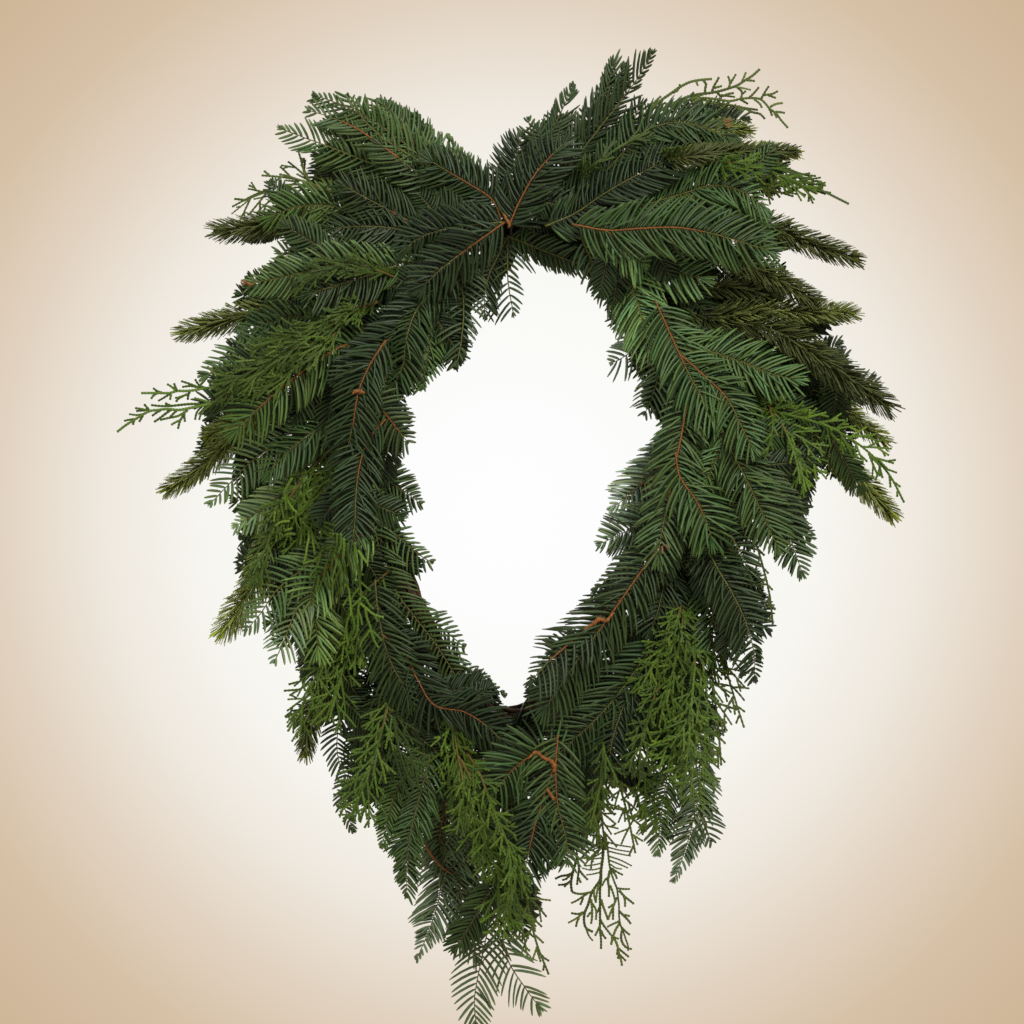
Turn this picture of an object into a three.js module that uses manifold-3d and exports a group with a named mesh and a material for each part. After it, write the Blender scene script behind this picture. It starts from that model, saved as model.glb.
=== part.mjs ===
import * as THREE from 'three';
import * as BufferGeometryUtils from 'three/addons/utils/BufferGeometryUtils.js';
import Module from 'manifold-3d';

// Fresh evergreen wreath: a teardrop ring of dark bound twigs, wound with binding wire and
// hung by a wire eye, with sprays of fir, fir branch tips and cedar laid over it in shingles,
// from the top centre down both sides to the bottom.
// Millimetres, +Z up. The front faces -Y, +X is the viewer's right.
// Origin: the inner top of the hanging eye, where the nail or hook bears.

// ---- driving dimensions ---------------------------------------------------------------
const RING_RADIUS = 12;            // radius of the twig base, about 24 mm thick
const RING_SIDES = 10;
const RING_DEPTH_Y = -15.5;        // centre of the base, in front of the eye's plane
const WIRE_RADIUS = 0.8;           // binding wire
const WIRE_COIL_RADIUS = 13.6;     // the wire's centre, around the base's centre
const WIRE_TURNS = 17;
const WIRE_STEPS_PER_TURN = 10;
const HANGER_WIRE_RADIUS = 1.25;   // hanging wire
const HANGER_WRAP_RADIUS = 17.5;   // its turn around the base
const HANGER_EYE_RADIUS = 11;      // the eye, wire centre to eye centre
const HANGER_EYE_RISE = 24;        // eye centre above the base's centre
const HANGER_SHANK_RADIUS = 1.9;   // the twisted pair below the eye
const FIR_THICKNESS = 4.0;         // half thickness of a flat fir spray at its stem
const CEDAR_THICKNESS = 2.6;       // half thickness of a cedar spray at its stem
const TIP_THICKNESS = 9.0;         // half thickness of an all-round fir tip of TIP_REACH
const TIP_REACH = 16.2;            // reach of the needles that TIP_THICKNESS belongs to

// Centreline of the base ring, [x, z], clockwise from the top seen from the front.
const RING_LINE = [[0, -33.7], [-25.5, -36.2], [-49.1, -46.1], [-70, -60.8], [-87.1, -79.9], [-100.8, -101.5], [-111.6, -124.8], [-119.3, -149.2], [-124.1, -174.4], [-125.9, -199.9], [-125.3, -225.6], [-121.9, -253.8], [-117, -279], [-110.7, -303.9], [-103.2, -328.4], [-94.6, -352.5], [-84.8, -376.2], [-73.7, -399.4], [-61.1, -421.7], [-46, -442.4], [-27.8, -460.4], [-5.1, -471.6], [22, -465], [41.7, -448.7], [58, -429], [71.5, -407.2], [83.3, -384.4], [94.9, -361.5], [106, -338.4], [116.7, -315.1], [126.9, -291.6], [136.7, -267.8], [146, -244], [155.9, -217.2], [161.3, -192.2], [162.6, -166.6], [157.8, -141.5], [147.7, -118], [134.5, -96], [119.2, -75.4], [100.5, -58], [78.2, -45.3], [53.9, -37.4], [28.5, -34.2]];

// Sprays: [name, kind, tone, shoots]; a shoot is [half width over the needles, roll, stem
// line]. The roll is how far the blade's left edge stands forward, as a share of its half
// width. The stem line is a list of [x, y, z] from the bound end to the tip. The first shoot is
// the main one, and the others branch from it.
const SPRAYS = [
  ['cedar_spray_01', 'cedar', 'olive', [
    [18.3, 0.25, [[-99.4, -30.6, -27], [-124.9, -25.3, -15.1], [-150.8, -20.4, -3.8], [-176.7, -16.4, 7.2], [-204.5, -13.1, 10.4], [-231.7, -10.5, 3.9], [-257.1, -8.4, -7.9]]],
    [13, 0.15, [[-150.8, -20.4, -3.8], [-168.3, -17.1, 4.9], [-186.2, -14.5, 12.8], [-205.1, -12.4, 17.3], [-224.4, -10.9, 19.8]]],
  ]],
  ['cedar_spray_02', 'cedar', 'bright', [
    [19.5, -0.17, [[-91.8, -45.2, -83.5], [-116.5, -49, -98.9], [-141.2, -54.2, -114.2], [-166, -61.5, -128.9], [-191, -70.6, -143], [-215.3, -83.2, -157.5], [-240.5, -85.5, -171.1], [-266.9, -90.7, -181.3], [-294.3, -95.9, -188.3], [-319.9, -100.2, -200], [-343.3, -103.9, -215.9]]],
    [14.9, -0.14, [[-215.3, -83.2, -157.5], [-240.9, -89.7, -168.1], [-266.7, -98.2, -177], [-293.4, -105.3, -181.6], [-320.7, -110.8, -181.2]]],
  ]],
  ['cedar_spray_03', 'cedar', 'bright', [
    [21.1, 0.02, [[-125.2, -55.7, -205], [-146.4, -58.8, -222.1], [-168, -58.8, -239], [-185.9, -58.8, -259.4], [-188.2, -58.5, -286.3], [-181.7, -56.1, -312.8], [-171.4, -54.4, -338.2]]],
    [19.6, 0.20, [[-146.4, -58.8, -222.1], [-135.8, -57.5, -249.7], [-144.8, -56.7, -278], [-155.5, -55, -305.9], [-154.5, -55.7, -335.7], [-147.3, -57.9, -364.7], [-138.4, -60.2, -393.2], [-128.5, -62.1, -421.3]]],
  ]],
  ['cedar_spray_04', 'cedar', 'yellow', [
    [18.1, -0.15, [[-107.8, -46.3, -338.3], [-129.2, -46.3, -358.6], [-145.7, -46.2, -382.9], [-158.9, -48.1, -409.1], [-171.2, -51.5, -435.6], [-182.8, -54.6, -462.3], [-197.9, -57.2, -487.2]]],
    [15.1, -0.02, [[-129.2, -46.3, -358.6], [-137.8, -47.2, -387.5], [-146.3, -50, -416.3], [-155.2, -53.7, -444.8], [-165.1, -57, -473]]],
  ]],
  ['cedar_spray_05', 'cedar', 'bright', [
    [18.1, 0.12, [[-97.3, -41.1, -400.9], [-102.4, -47.2, -427.1], [-105.8, -51.1, -453.6], [-103.1, -57.2, -480], [-96.5, -62.5, -505.8], [-87.6, -66.7, -530.8]]],
    [18.1, -0.18, [[-102.4, -47.2, -427.1], [-108.2, -53.1, -453.7], [-114.2, -61, -480], [-121.8, -68, -505.8], [-130.8, -73.4, -531.1], [-140.1, -77.7, -556.3]]],
  ]],
  ['cedar_spray_06', 'cedar', 'bright', [
    [19.6, 0.30, [[-56, -50.3, -445], [-51.6, -56.7, -473.6], [-47.2, -58.7, -502.5], [-41, -61.3, -530.8], [-30, -65.6, -557.6], [-19.5, -67.6, -584.6], [-9.7, -67.6, -612.1]]],
    [18.1, -0.25, [[-51.6, -56.7, -473.6], [-40.4, -54.5, -498.6], [-28.1, -56.1, -522.8], [-16.3, -60.8, -547], [-5.4, -64.6, -571.5], [5.3, -68, -596.1]]],
  ]],
  ['cedar_spray_07', 'cedar', 'green', [
    [16.6, -0.23, [[0.9, -36.9, -490.4], [5.9, -41.3, -519], [9, -43, -548], [10, -47.2, -576.8], [11, -51.3, -605.6], [14.1, -54.6, -634.3], [20.5, -57.3, -662.4], [31.1, -59.5, -689.3]]],
    [18.1, -0.05, [[5.9, -41.3, -519], [0.1, -46.5, -546.7], [-6.1, -53.7, -574.1], [-10.8, -59.9, -601.7], [-9.7, -64.8, -629.5], [-0.9, -68.6, -656.2]]],
  ]],
  ['cedar_spray_08', 'cedar', 'bright', [
    [19.6, -0.33, [[154.7, -34.9, -329.6], [153.2, -44.9, -358], [149.6, -49.2, -386.1], [139.8, -56, -412.7], [128.3, -62.2, -438.5], [117.8, -67.1, -464.7], [114, -71.1, -492.5]]],
    [19.6, -0.38, [[153.2, -44.3, -358], [153.8, -49.7, -384.2], [154.4, -57.3, -410.2], [153.8, -64.2, -436.1], [150.4, -69.9, -461.8], [144.5, -74.4, -487.1], [138.4, -78, -512.2]]],
    [19.5, -0.00, [[153.2, -44.9, -358], [160.4, -51.3, -383.8], [166.4, -60.3, -409.6], [167.6, -68.9, -436], [165.1, -76.1, -462.3], [162.4, -82.1, -488.6], [159.8, -86.9, -514.9], [157.1, -90.9, -541.1]]],
    [16.6, -0.29, [[154.7, -34.9, -329.6], [167.9, -42.4, -353.9], [180.1, -47.4, -378.9], [187.1, -53.8, -405.6], [191.7, -59.5, -432.7], [199, -64, -459.3], [207, -67.6, -485.6]]],
    [15.1, -0.20, [[167.9, -42.4, -353.9], [172.2, -46.8, -380.1], [176.5, -52.7, -406.2], [180.7, -58.2, -432.2], [184.7, -62.7, -458.1], [188.2, -66.2, -484.2], [190.9, -69.1, -510.3]]],
  ]],
  ['cedar_spray_09', 'cedar', 'green', [
    [15.2, -0.25, [[70.8, -29.4, -446.1], [72.6, -29.9, -474.6], [74.4, -31.7, -503], [76.2, -30.6, -531.6], [77.8, -30.6, -560.1], [79, -30.8, -588.7], [79.7, -31, -617.2], [80.2, -31.2, -645.7], [80.6, -31.3, -674.3]]],
    [13.7, 0.19, [[74.4, -31.7, -503], [77.7, -34, -529.7], [80.9, -37.8, -556.2], [84.4, -40, -582.8], [88.7, -42.3, -609.2], [94.3, -44.3, -635.4], [98.9, -45.9, -661.7], [102.4, -47.3, -688.2]]],
    [12.1, -0.35, [[80.9, -37.8, -556.2], [76.8, -38.5, -556.6], [76.5, -39.6, -582.2], [75.3, -40.5, -607.8], [68.4, -41.2, -632.2], [52.6, -41.8, -652.4]]],
    [16.8, 0.11, [[72.6, -29.9, -474.6], [89.1, -29, -472.9], [106.8, -28.3, -493.9], [118.6, -27.7, -518.6], [120.6, -27.3, -546], [121, -26.9, -573.6]]],
    [12.2, -0.17, [[72.6, -29.9, -474.6], [83.9, -28.1, -502.5], [94.4, -26.7, -530.8], [101.1, -25.6, -560.1], [105.9, -24.8, -589.9]]],
  ]],
  ['cedar_spray_10', 'cedar', 'bright', [
    [18.1, -0.04, [[168.4, -44.8, -137.8], [189.6, -47.5, -155.9], [210, -52.9, -174.6], [229.8, -60.1, -193.7], [245.9, -66.5, -215.9], [254.4, -71.5, -242.1], [260.2, -75.6, -269]]],
    [13.6, -0.19, [[189.6, -47.5, -155.9], [201, -52.5, -179.6], [210, -59, -204.2], [215.5, -64.4, -229.8], [222.8, -68.6, -254.8]]],
    [13.5, 0.21, [[168.4, -44.8, -137.8], [161.2, -47, -163.5], [184.5, -53.6, -178.9], [210.3, -57.7, -189.9], [237.2, -63.8, -197], [264.1, -69.7, -203.5], [289.7, -74.7, -214], [312.7, -79, -229.5], [331.5, -82.5, -249.8], [344.6, -85.5, -274.3]]],
    [6.7, -0.17, [[184.5, -53.6, -178.9], [190.7, -58.3, -205.9], [196.9, -64.9, -232.9], [203, -71.3, -259.7], [209.3, -76.9, -286.4], [215.8, -81.7, -313], [223.2, -85.8, -339.2], [229.4, -89, -365.7], [232.5, -91.8, -392.8]]],
  ]],
  ['cedar_spray_11', 'cedar', 'green', [
    [15.2, -0.13, [[30.5, -29.8, -11.7], [52.9, -28.8, 7.2], [75.6, -27.8, 25.7], [98.8, -27, 43.6], [122.1, -26.3, 61.3], [146.3, -25.7, 77.8], [172.9, -25.1, 89.9], [201.6, -24.7, 95.8], [225.2, -24.3, 112.7]]],
    [15.2, 0.17, [[75.6, -27.8, 25.7], [100.9, -27, 39.3], [126, -26.3, 53.3], [151.4, -25.6, 66.8], [177.6, -25.1, 78.5], [205.3, -24.6, 85.9], [232.4, -24.2, 80.3], [250.4, -23.9, 58]]],
  ]],
  ['cedar_spray_12', 'cedar', 'leaf', [
    [12.1, -0.14, [[43.5, -53.8, -22.8], [66.5, -54.8, -7.4], [91.3, -54.8, 4.8], [117, -54.8, 15], [143.4, -54.8, 23.2], [170.8, -51, 28.4], [198.5, -50.3, 28.1], [225.6, -51.9, 23.1], [251.6, -53.8, 14], [275.6, -55.4, 0.2], [299.1, -56.7, -14.1]]],
    [13.6, 0.17, [[91.3, -54.8, 4.8], [117.6, -54, 6.8], [144.2, -47.5, 9.7], [170.8, -44.6, 11.5], [197.2, -44.9, 10.8], [223.1, -45.9, 5.5], [248.5, -46.8, -1.7]]],
  ]],
  ['fir_spray_01', 'fir', 'light', [
    [19.3, 0.30, [[-25.8, -43.3, -19.2], [-52.4, -43.7, -5.9], [-77, -44.4, 10.4], [-100.2, -44.4, 28.8], [-123.9, -44.3, 46.7]]],
    [17.1, 0.19, [[-52.4, -43.7, -5.9], [-59, -41.9, 9.9], [-65.8, -40.7, 25.7], [-73.3, -38.4, 41.3], [-81.5, -28.8, 57.4]]],
    [17.9, 0.28, [[-52.4, -43.7, -5.9], [-52.8, -41.4, 5.4], [-69.7, -40.2, 25.2], [-86.7, -39.6, 44.9], [-103.1, -36.5, 65.4], [-119, -32.4, 86.5]]],
    [14.3, -0.12, [[-25.9, -43.2, -19.1], [-20.3, -33.2, -9.6], [-38.1, -26.4, 9.8], [-56, -22.6, 28.9], [-71.2, -20.9, 50], [-83.6, -19.8, 72.8]]],
    [16.4, -0.25, [[-25.8, -43.3, -19.2], [-45.4, -44, -1.6], [-64.9, -44, 16.2], [-84.7, -43.9, 33.6], [-105.5, -43.8, 49.7], [-127.6, -43.4, 64], [-151.5, -42.9, 75.2], [-177.3, -30.9, 84.9]]],
    [15.7, -0.05, [[-64.9, -44, 16.2], [-87.4, -43.7, 30.8], [-109.6, -43.6, 45.7], [-128.4, -42.4, 64.8], [-142.6, -25.9, 90]]],
    [12.9, 0.06, [[-20.3, -33.2, -9.6], [-30.1, -27.4, 6.1], [-39.6, -24.4, 21.7], [-47.6, -23.3, 37.9], [-54.8, -22.8, 54.5]]],
    [14.3, 0.24, [[-100.2, -44.4, 28.8], [-120.4, -43.6, 43.6], [-141.2, -42.9, 57.3], [-164.4, -41.3, 66.6], [-188.4, -39.7, 74]]],
  ]],
  ['fir_spray_02', 'fir', 'deep', [
    [20.6, 0.09, [[-7.1, -56.2, -32.7], [-15.3, -56.2, -9.4], [-35.3, -55.6, 6.2], [-56.4, -55.9, 20.3], [-77.2, -57.5, 34.6]]],
  ]],
  ['fir_spray_03', 'fir', 'dark', [
    [19.2, -0.04, [[-0.9, -47.6, -32], [-1.7, -47.6, -10.7], [-2.1, -47.6, 10.6], [0.2, -45.1, 32], [4.5, -44.4, 53]]],
    [12.1, -0.34, [[-0.9, -47.6, -32], [7.2, -45.2, -6.8], [16.5, -43.2, 18], [19.7, -43.2, 44], [16, -45, 69.8]]],
    [12.1, 0.21, [[7.2, -45.2, -6.8], [19.8, -43.9, 19.7], [32.3, -44.9, 45.9], [44.5, -47.4, 72.2], [56.1, -49.7, 98.6]]],
    [17.8, -0.13, [[-0.9, -47.6, -32], [21.9, -46.2, -19.9], [37.4, -46.7, 1.3], [51.1, -48.3, 23.6], [64.2, -52.1, 45.9], [77.4, -55.7, 68.1], [88.5, -58.6, 91.4], [94, -61, 116.6]]],
    [17, 0.19, [[37.4, -46.7, 1.3], [43.9, -51.7, 10.2], [62.4, -58.6, 32.1], [80.7, -65, 54], [98.9, -70.2, 76.1], [116.4, -74.2, 98.8], [131.3, -77.6, 123.2]]],
    [18.5, -0.21, [[21.9, -46.2, -19.9], [43.6, -45, -3.3], [65.1, -45.4, 13.5], [85.5, -47, 31.5], [103.4, -48.9, 51.7], [114.8, -50.6, 76.3]]],
  ]],
  ['fir_spray_04', 'fir', 'deep', [
    [21.9, -0.29, [[-2.6, -80.5, -36.6], [7.5, -80.5, -13.7], [19.6, -79.7, 8.2], [35.7, -76.1, 27.6], [54, -67.8, 45.9]]],
  ]],
  ['fir_spray_05', 'fir', 'mid', [
    [17.9, -0.24, [[-63.4, -38.9, -21.4], [-83.8, -34.5, -1.9], [-106.4, -34.1, 14.4], [-132.1, -33.3, 25.4], [-158.3, -33.2, 35.1], [-184.8, -33.6, 43.9], [-211.1, -34, 53.2]]],
    [15.8, -0.21, [[-83.8, -34.5, -1.9], [-106.2, -31.7, 10.3], [-129, -30.3, 21.7], [-153.4, -27, 29.1], [-178.5, -24.7, 33.7]]],
    [20, 0.13, [[-63.4, -38.9, -21.4], [-89.4, -45.1, -27.9], [-116.2, -45.7, -22.5], [-142.9, -46.5, -16.6], [-170.1, -46.7, -13.4], [-197, -46.7, -16.7], [-221.8, -46, -28.3]]],
    [18.5, -0.14, [[-89.4, -45.1, -27.9], [-107.8, -45.2, -43], [-134.8, -45.2, -43.4], [-161.7, -44.4, -46.2], [-188.3, -42.2, -51.1], [-215.1, -40, -46.5]]],
  ]],
  ['fir_spray_06', 'fir', 'lime', [
    [20.6, 0.42, [[-63, -57.7, -41.7], [-89, -58.7, -37.5], [-115, -60.3, -33.8], [-141.3, -60.3, -33.7], [-167.5, -60.3, -36.6]]],
    [19.2, 0.05, [[-63, -57.7, -41.7], [-87, -55.7, -30.3], [-110.3, -54.8, -17.6], [-133.7, -54.6, -5], [-157.3, -53.6, 7.5]]],
    [18.4, -0.15, [[-89, -58.7, -37.5], [-79.8, -59, -62.7], [-104.1, -65, -69.6], [-130.9, -68.9, -68.3], [-157.5, -74.7, -69.1], [-183.2, -80, -76], [-209.2, -84.2, -81.9], [-235.4, -87.8, -86.4]]],
    [23.3, 0.40, [[-104.1, -65, -69.6], [-124.4, -69.8, -76.9], [-144.6, -76, -84.1], [-165, -81.2, -90.6], [-185.5, -85.2, -96.8]]],
  ]],
  ['fir_spray_07', 'fir', 'mid', [
    [20, -0.11, [[-106.3, -37.4, -108], [-135.2, -40.8, -116.3], [-164.7, -37.1, -123.3], [-194.3, -34.6, -130.2], [-221.9, -33.9, -142.5], [-248.4, -34.4, -156.9], [-275.4, -35, -170.4]]],
    [15.7, 0.30, [[-135.2, -40.8, -116.3], [-142.1, -40.8, -113], [-168.3, -40.8, -113.5], [-194.8, -36.8, -112.2], [-220.5, -34, -117.8], [-244.3, -32.7, -129.2]]],
  ]],
  ['fir_spray_08', 'fir', 'deep', [
    [23.2, 0.03, [[-123, -65.3, -134.4], [-148.3, -75, -140.1], [-170.3, -85.7, -154], [-191.1, -91.9, -169.7], [-211.1, -94.2, -186.5], [-230, -94.2, -204.5], [-248, -94.1, -223.5]]],
    [19.8, 0.34, [[-148.3, -75, -140.1], [-135.5, -68.3, -165.4], [-128.5, -66.1, -192.4], [-153.8, -68.2, -204.5], [-178.6, -72.3, -218.5], [-200.2, -76.5, -237.1], [-219.2, -80.2, -258.5]]],
  ]],
  ['fir_spray_09', 'fir', 'pale', [
    [17.9, 0.02, [[-133.2, -35.8, -197.3], [-158.6, -48.8, -204.1], [-184.4, -38.9, -212.8], [-209.1, -32.7, -224.4], [-231.4, -28.8, -239.7], [-250.4, -26.2, -259.1], [-269.2, -24.2, -278.6]]],
    [17.1, 0.12, [[-158.6, -48.8, -204.1], [-165.7, -51, -230.9], [-184.2, -51, -252.2], [-204.8, -48.7, -271.7], [-227.6, -45.4, -288.7], [-252.6, -40.4, -302.7]]],
  ]],
  ['fir_spray_10', 'fir', 'deep', [
    [22.5, -0.15, [[-5.2, -89.7, -32.1], [-25.8, -89.7, -46.7], [-46.3, -81.3, -60.9], [-66, -77.7, -76.5], [-83.7, -77.2, -94.5]]],
    [18.3, -0.23, [[-5.2, -89.7, -32.1], [-30.3, -89.6, -34.2], [-55.4, -77.5, -36.6], [-79.4, -72.2, -43.9], [-99.8, -71.4, -58.8]]],
  ]],
  ['fir_spray_11', 'fir', 'deep', [
    [20.5, -0.33, [[-49.6, -62.4, -65.2], [-65.2, -65.9, -85.7], [-81.5, -69, -105.6], [-98.6, -74.5, -124.9], [-116.6, -81.9, -143.1], [-136, -90.3, -159.5], [-155.3, -90.3, -176.1]]],
    [19.8, 0.31, [[-65.2, -65.9, -85.7], [-82.8, -70, -107.6], [-92.3, -79.7, -133.8], [-96.4, -79.7, -161.2], [-108.3, -79.7, -186.2]]],
  ]],
  ['fir_spray_12', 'fir', 'deep', [
    [21, 0.17, [[-109.3, -100.1, -136.2], [-123.5, -100.3, -158.1], [-133.4, -100.3, -182.1], [-137.9, -97.7, -207.8], [-143.8, -89, -233.1], [-150.4, -83.7, -258.5]]],
    [19, 0.14, [[-133.4, -100.3, -182.1], [-120.3, -92.2, -191.9], [-110, -85.2, -204.7], [-100.9, -80.2, -218.6], [-90.8, -76.9, -232]]],
    [19.6, -0.15, [[-110, -85.2, -204.7], [-125.8, -88.4, -223.9], [-132.9, -95.6, -247.7], [-135.5, -104.5, -272.4], [-136.2, -112.3, -297.1], [-139.9, -118.4, -321.4]]],
  ]],
  ['fir_spray_13', 'fir', 'pale', [
    [23.4, 0.41, [[-120.3, -67.3, -293.7], [-141, -69.2, -314.2], [-161.5, -69.2, -335.2], [-176.6, -69.2, -359.5], [-172.5, -63.1, -388.5], [-170.2, -60.3, -417.9]]],
    [19.1, 0.16, [[-120.3, -67.3, -293.7], [-144.7, -65.4, -305.1], [-166.8, -64.4, -323.7], [-191.2, -63.7, -339.3], [-214.5, -62.1, -356.7], [-232, -62.5, -379.6], [-252.3, -64.6, -400]]],
    [17, 0.42, [[-141, -69.2, -314.2], [-158.2, -66, -334.9], [-175.5, -63.9, -355.5], [-191.1, -61.5, -377.4], [-200.5, -61.9, -402.4], [-211.6, -64.4, -426.5]]],
  ]],
  ['fir_spray_14', 'fir', 'deep', [
    [21.2, 0.01, [[-120.3, -67.5, -346.8], [-117.9, -68.2, -371.2], [-113.5, -68.2, -395.4], [-106.4, -67.7, -418.9], [-95.2, -64.4, -440.9], [-86, -60.3, -464]]],
    [21.2, 0.17, [[-113.5, -68.2, -395.4], [-94.1, -64.8, -411.5], [-82.3, -65, -435.5], [-67.5, -67.2, -457.5], [-41.6, -70.2, -463.2], [-19.2, -73.4, -477.3], [-0.9, -76.2, -496.5]]],
  ]],
  ['fir_spray_15', 'fir', 'dark', [
    [10.8, -0.14, [[-94.9, -31.6, -383.3], [-115.3, -31.6, -404.3], [-132.9, -26.3, -428.2], [-148.2, -22.7, -453.6], [-159.6, -20.6, -480.9], [-160.9, -19.1, -509.9], [-148.4, -17.9, -536.6]]],
    [9.3, 0.23, [[-115.3, -31.6, -404.3], [-123.3, -25.7, -432.8], [-131.4, -21.5, -461.2], [-139.1, -18.7, -489.7], [-146.4, -16.8, -518.3], [-152.2, -15.2, -547.1], [-143.2, -13.9, -574.8]]],
  ]],
  ['fir_spray_16', 'fir', 'mid', [
    [17.2, 0.02, [[-127.8, -35.5, -275.9], [-121.1, -35.6, -303.2], [-113.5, -37, -330.2], [-100.7, -39.4, -355], [-83.1, -39.4, -376.9], [-65.2, -39.1, -398.4], [-49.7, -36.4, -421.9], [-34.9, -34.5, -445.8]]],
    [14.3, 0.26, [[-127.8, -35.4, -275.9], [-118.2, -35.6, -295.6], [-100.2, -35.6, -309.5], [-83, -35.5, -324.3], [-63.5, -33.9, -335.8]]],
    [14.3, 0.30, [[-127.8, -35.5, -275.9], [-130.6, -35.9, -255.5], [-112, -35.9, -257.2], [-94.1, -35.9, -267.7], [-77.9, -32.5, -280.4]]],
    [12.9, -0.15, [[-83.1, -39.4, -376.9], [-71.3, -36.7, -384.7], [-59.9, -35.2, -393.2], [-49.1, -35, -402.5], [-38.5, -32.2, -411.9]]],
    [11.4, 0.15, [[-49.1, -35, -402.5], [-54.5, -35, -416.5], [-37.6, -35, -428.9], [-20.3, -34.8, -440.8], [-2.7, -34.8, -452.1]]],
  ]],
  ['fir_spray_17', 'fir', 'mid', [
    [21.4, 0.16, [[-63.4, -40.1, -436.6], [-66, -40.3, -464.2], [-69.1, -42.7, -491.5], [-74.8, -46.8, -518.2], [-82.8, -48.5, -544.5], [-93.4, -51.1, -569.7], [-105.7, -53.5, -594.1]]],
    [20, -0.00, [[-66, -40.3, -464.2], [-61.2, -40, -486.3], [-56, -41.2, -508.3], [-47.7, -43, -529.2], [-36.5, -44.7, -548.7]]],
    [12.8, -0.22, [[-74.8, -46.8, -518.2], [-76.8, -49.5, -524.1], [-84, -53.2, -551.4], [-90.1, -56.5, -578.8], [-92.6, -59, -606.8], [-92.2, -61, -635]]],
    [10.7, 0.01, [[-69.1, -42.7, -491.5], [-86.5, -46.2, -512.8], [-101.3, -50.7, -535.6], [-108.9, -54.4, -561.7], [-114.5, -57.3, -588.4]]],
  ]],
  ['fir_spray_18', 'fir', 'grey', [
    [17.3, 0.22, [[-47.5, -29.1, -468.5], [-50.3, -23.1, -497.2], [-53.1, -17.5, -526], [-55.6, -12.9, -554.9], [-56.9, -9.9, -583.7], [-58.4, -8.5, -612.5], [-62.2, -7.8, -640.9], [-71.1, -6.2, -668.3], [-82.2, -3.5, -695.1]]],
    [18.7, 0.38, [[-50.3, -23.1, -497.2], [-49.3, -19.3, -526.1], [-48.6, -16.1, -554.9], [-47.9, -13.7, -583.8], [-46.8, -12.2, -612.5], [-44.4, -11.1, -641.2], [-38.5, -9, -669.5], [-28, -5.7, -696.6]]],
    [15.9, -0.20, [[-53.1, -17.5, -526], [-60.2, -13.2, -556.6], [-63.9, -9.8, -587.5], [-50.9, -7.2, -615.7], [-33.4, -4.6, -641.6]]],
  ]],
  ['fir_spray_19', 'fir', 'mid', [
    [20.1, 0.14, [[-9.8, -31.6, -486.3], [-8.6, -30.1, -515.6], [-8.1, -28.6, -545], [-8.5, -27.6, -574.4], [-10.2, -26.2, -603.8], [-14.6, -25.1, -632.9], [-21.8, -24.2, -661.4], [-28, -23.4, -690.2], [-32.7, -22.8, -719.2], [-29.6, -22.2, -748.2]]],
    [18.6, 0.35, [[-8.5, -27.6, -574.4], [-9.8, -28.2, -577.6], [-10.7, -29, -604.2], [-10.9, -29.7, -630.7], [-9.8, -30.4, -657.3], [-4, -30.9, -683.1], [10.4, -31.3, -705.3], [26.9, -31.7, -726.2]]],
  ]],
  ['fir_spray_20', 'fir', 'teal', [
    [23.9, -0.07, [[41.3, -86.2, -482.6], [37.3, -86.2, -512], [37.3, -81.4, -541.3], [42.9, -75.2, -570.9], [43.3, -73.7, -600.8]]],
    [25.3, -0.25, [[37.3, -86.2, -512], [29.1, -84.1, -497.1], [8.5, -82.7, -507.3], [-8.2, -79.7, -524.2], [-23.8, -75.7, -542.4]]],
    [21.1, -0.01, [[37.3, -86.2, -512], [28.9, -82, -535.5], [21.3, -80.9, -558.9], [15.2, -84.3, -582.5], [11.4, -90.3, -606.1]]],
  ]],
  ['fir_spray_21', 'fir', 'teal', [
    [24, -0.26, [[129.5, -79, -399.4], [111.6, -80.8, -423.5], [93.7, -80.8, -447.6], [73.8, -80.5, -470.1], [51.7, -75, -490.8], [30.9, -73.5, -512.6]]],
    [23.3, 0.07, [[111.6, -80.8, -423.5], [110.3, -79.2, -434.1], [98.3, -78.4, -459.5], [89.8, -78.3, -486.2], [85.5, -78.5, -514]]],
  ]],
  ['fir_spray_22', 'fir', 'teal', [
    [23.8, -0.12, [[131, -84.7, -315.7], [113, -95.7, -340], [95.6, -95.7, -364.6], [78.1, -95.6, -389], [60.4, -93.3, -413.5], [43.5, -93, -438.4], [27.2, -94.6, -463.7]]],
    [19.6, 0.32, [[95.6, -95.7, -364.6], [91.6, -92.2, -364.9], [72.1, -91.9, -383.3], [51, -96.1, -399.7], [30.6, -102.4, -416.8], [13.1, -108.2, -436.7]]],
  ]],
  ['fir_spray_23', 'fir', 'grey', [
    [15.8, -0.42, [[144.2, -31.1, -383.3], [150.8, -25.9, -413.1], [158, -21, -442.9], [164.7, -16.8, -472.8], [169.5, -13.4, -503], [169.5, -11.7, -533.5], [163.9, -10.4, -563.5], [155.3, -7.8, -593], [144.6, -3.5, -621.9]]],
    [14.4, -0.29, [[169.5, -13.4, -503], [167.5, -10.5, -509.3], [172, -8.8, -538], [178.6, -6.9, -566.4], [188.8, -3.7, -593.9]]],
    [15.8, -0.42, [[158, -21, -442.9], [151.5, -18.4, -470.4], [144.8, -16.1, -497.9], [138.4, -14.2, -525.5], [132.9, -12.7, -553.2], [128.9, -11.4, -581.3], [125.3, -10.4, -609.4]]],
  ]],
  ['fir_spray_24', 'fir', 'deep', [
    [21.1, -0.07, [[160.1, -67.5, -280.5], [169.2, -69.7, -308.1], [180.9, -91.2, -333.7], [195.8, -95.3, -358.2], [208, -96.1, -384.2], [215.5, -96.1, -412], [217, -75.4, -441.9]]],
    [14.1, 0.22, [[160.1, -67.5, -280.5], [173.3, -79.8, -296.7], [191.8, -88.1, -307.4], [203.2, -88.6, -325.6], [209.9, -88.6, -346.4]]],
    [18.4, -0.34, [[169.2, -69.7, -308.1], [174.6, -61.5, -336.4], [177.8, -64.1, -364.8], [178.5, -70.7, -393.2], [177.5, -72.2, -421.7]]],
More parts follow.
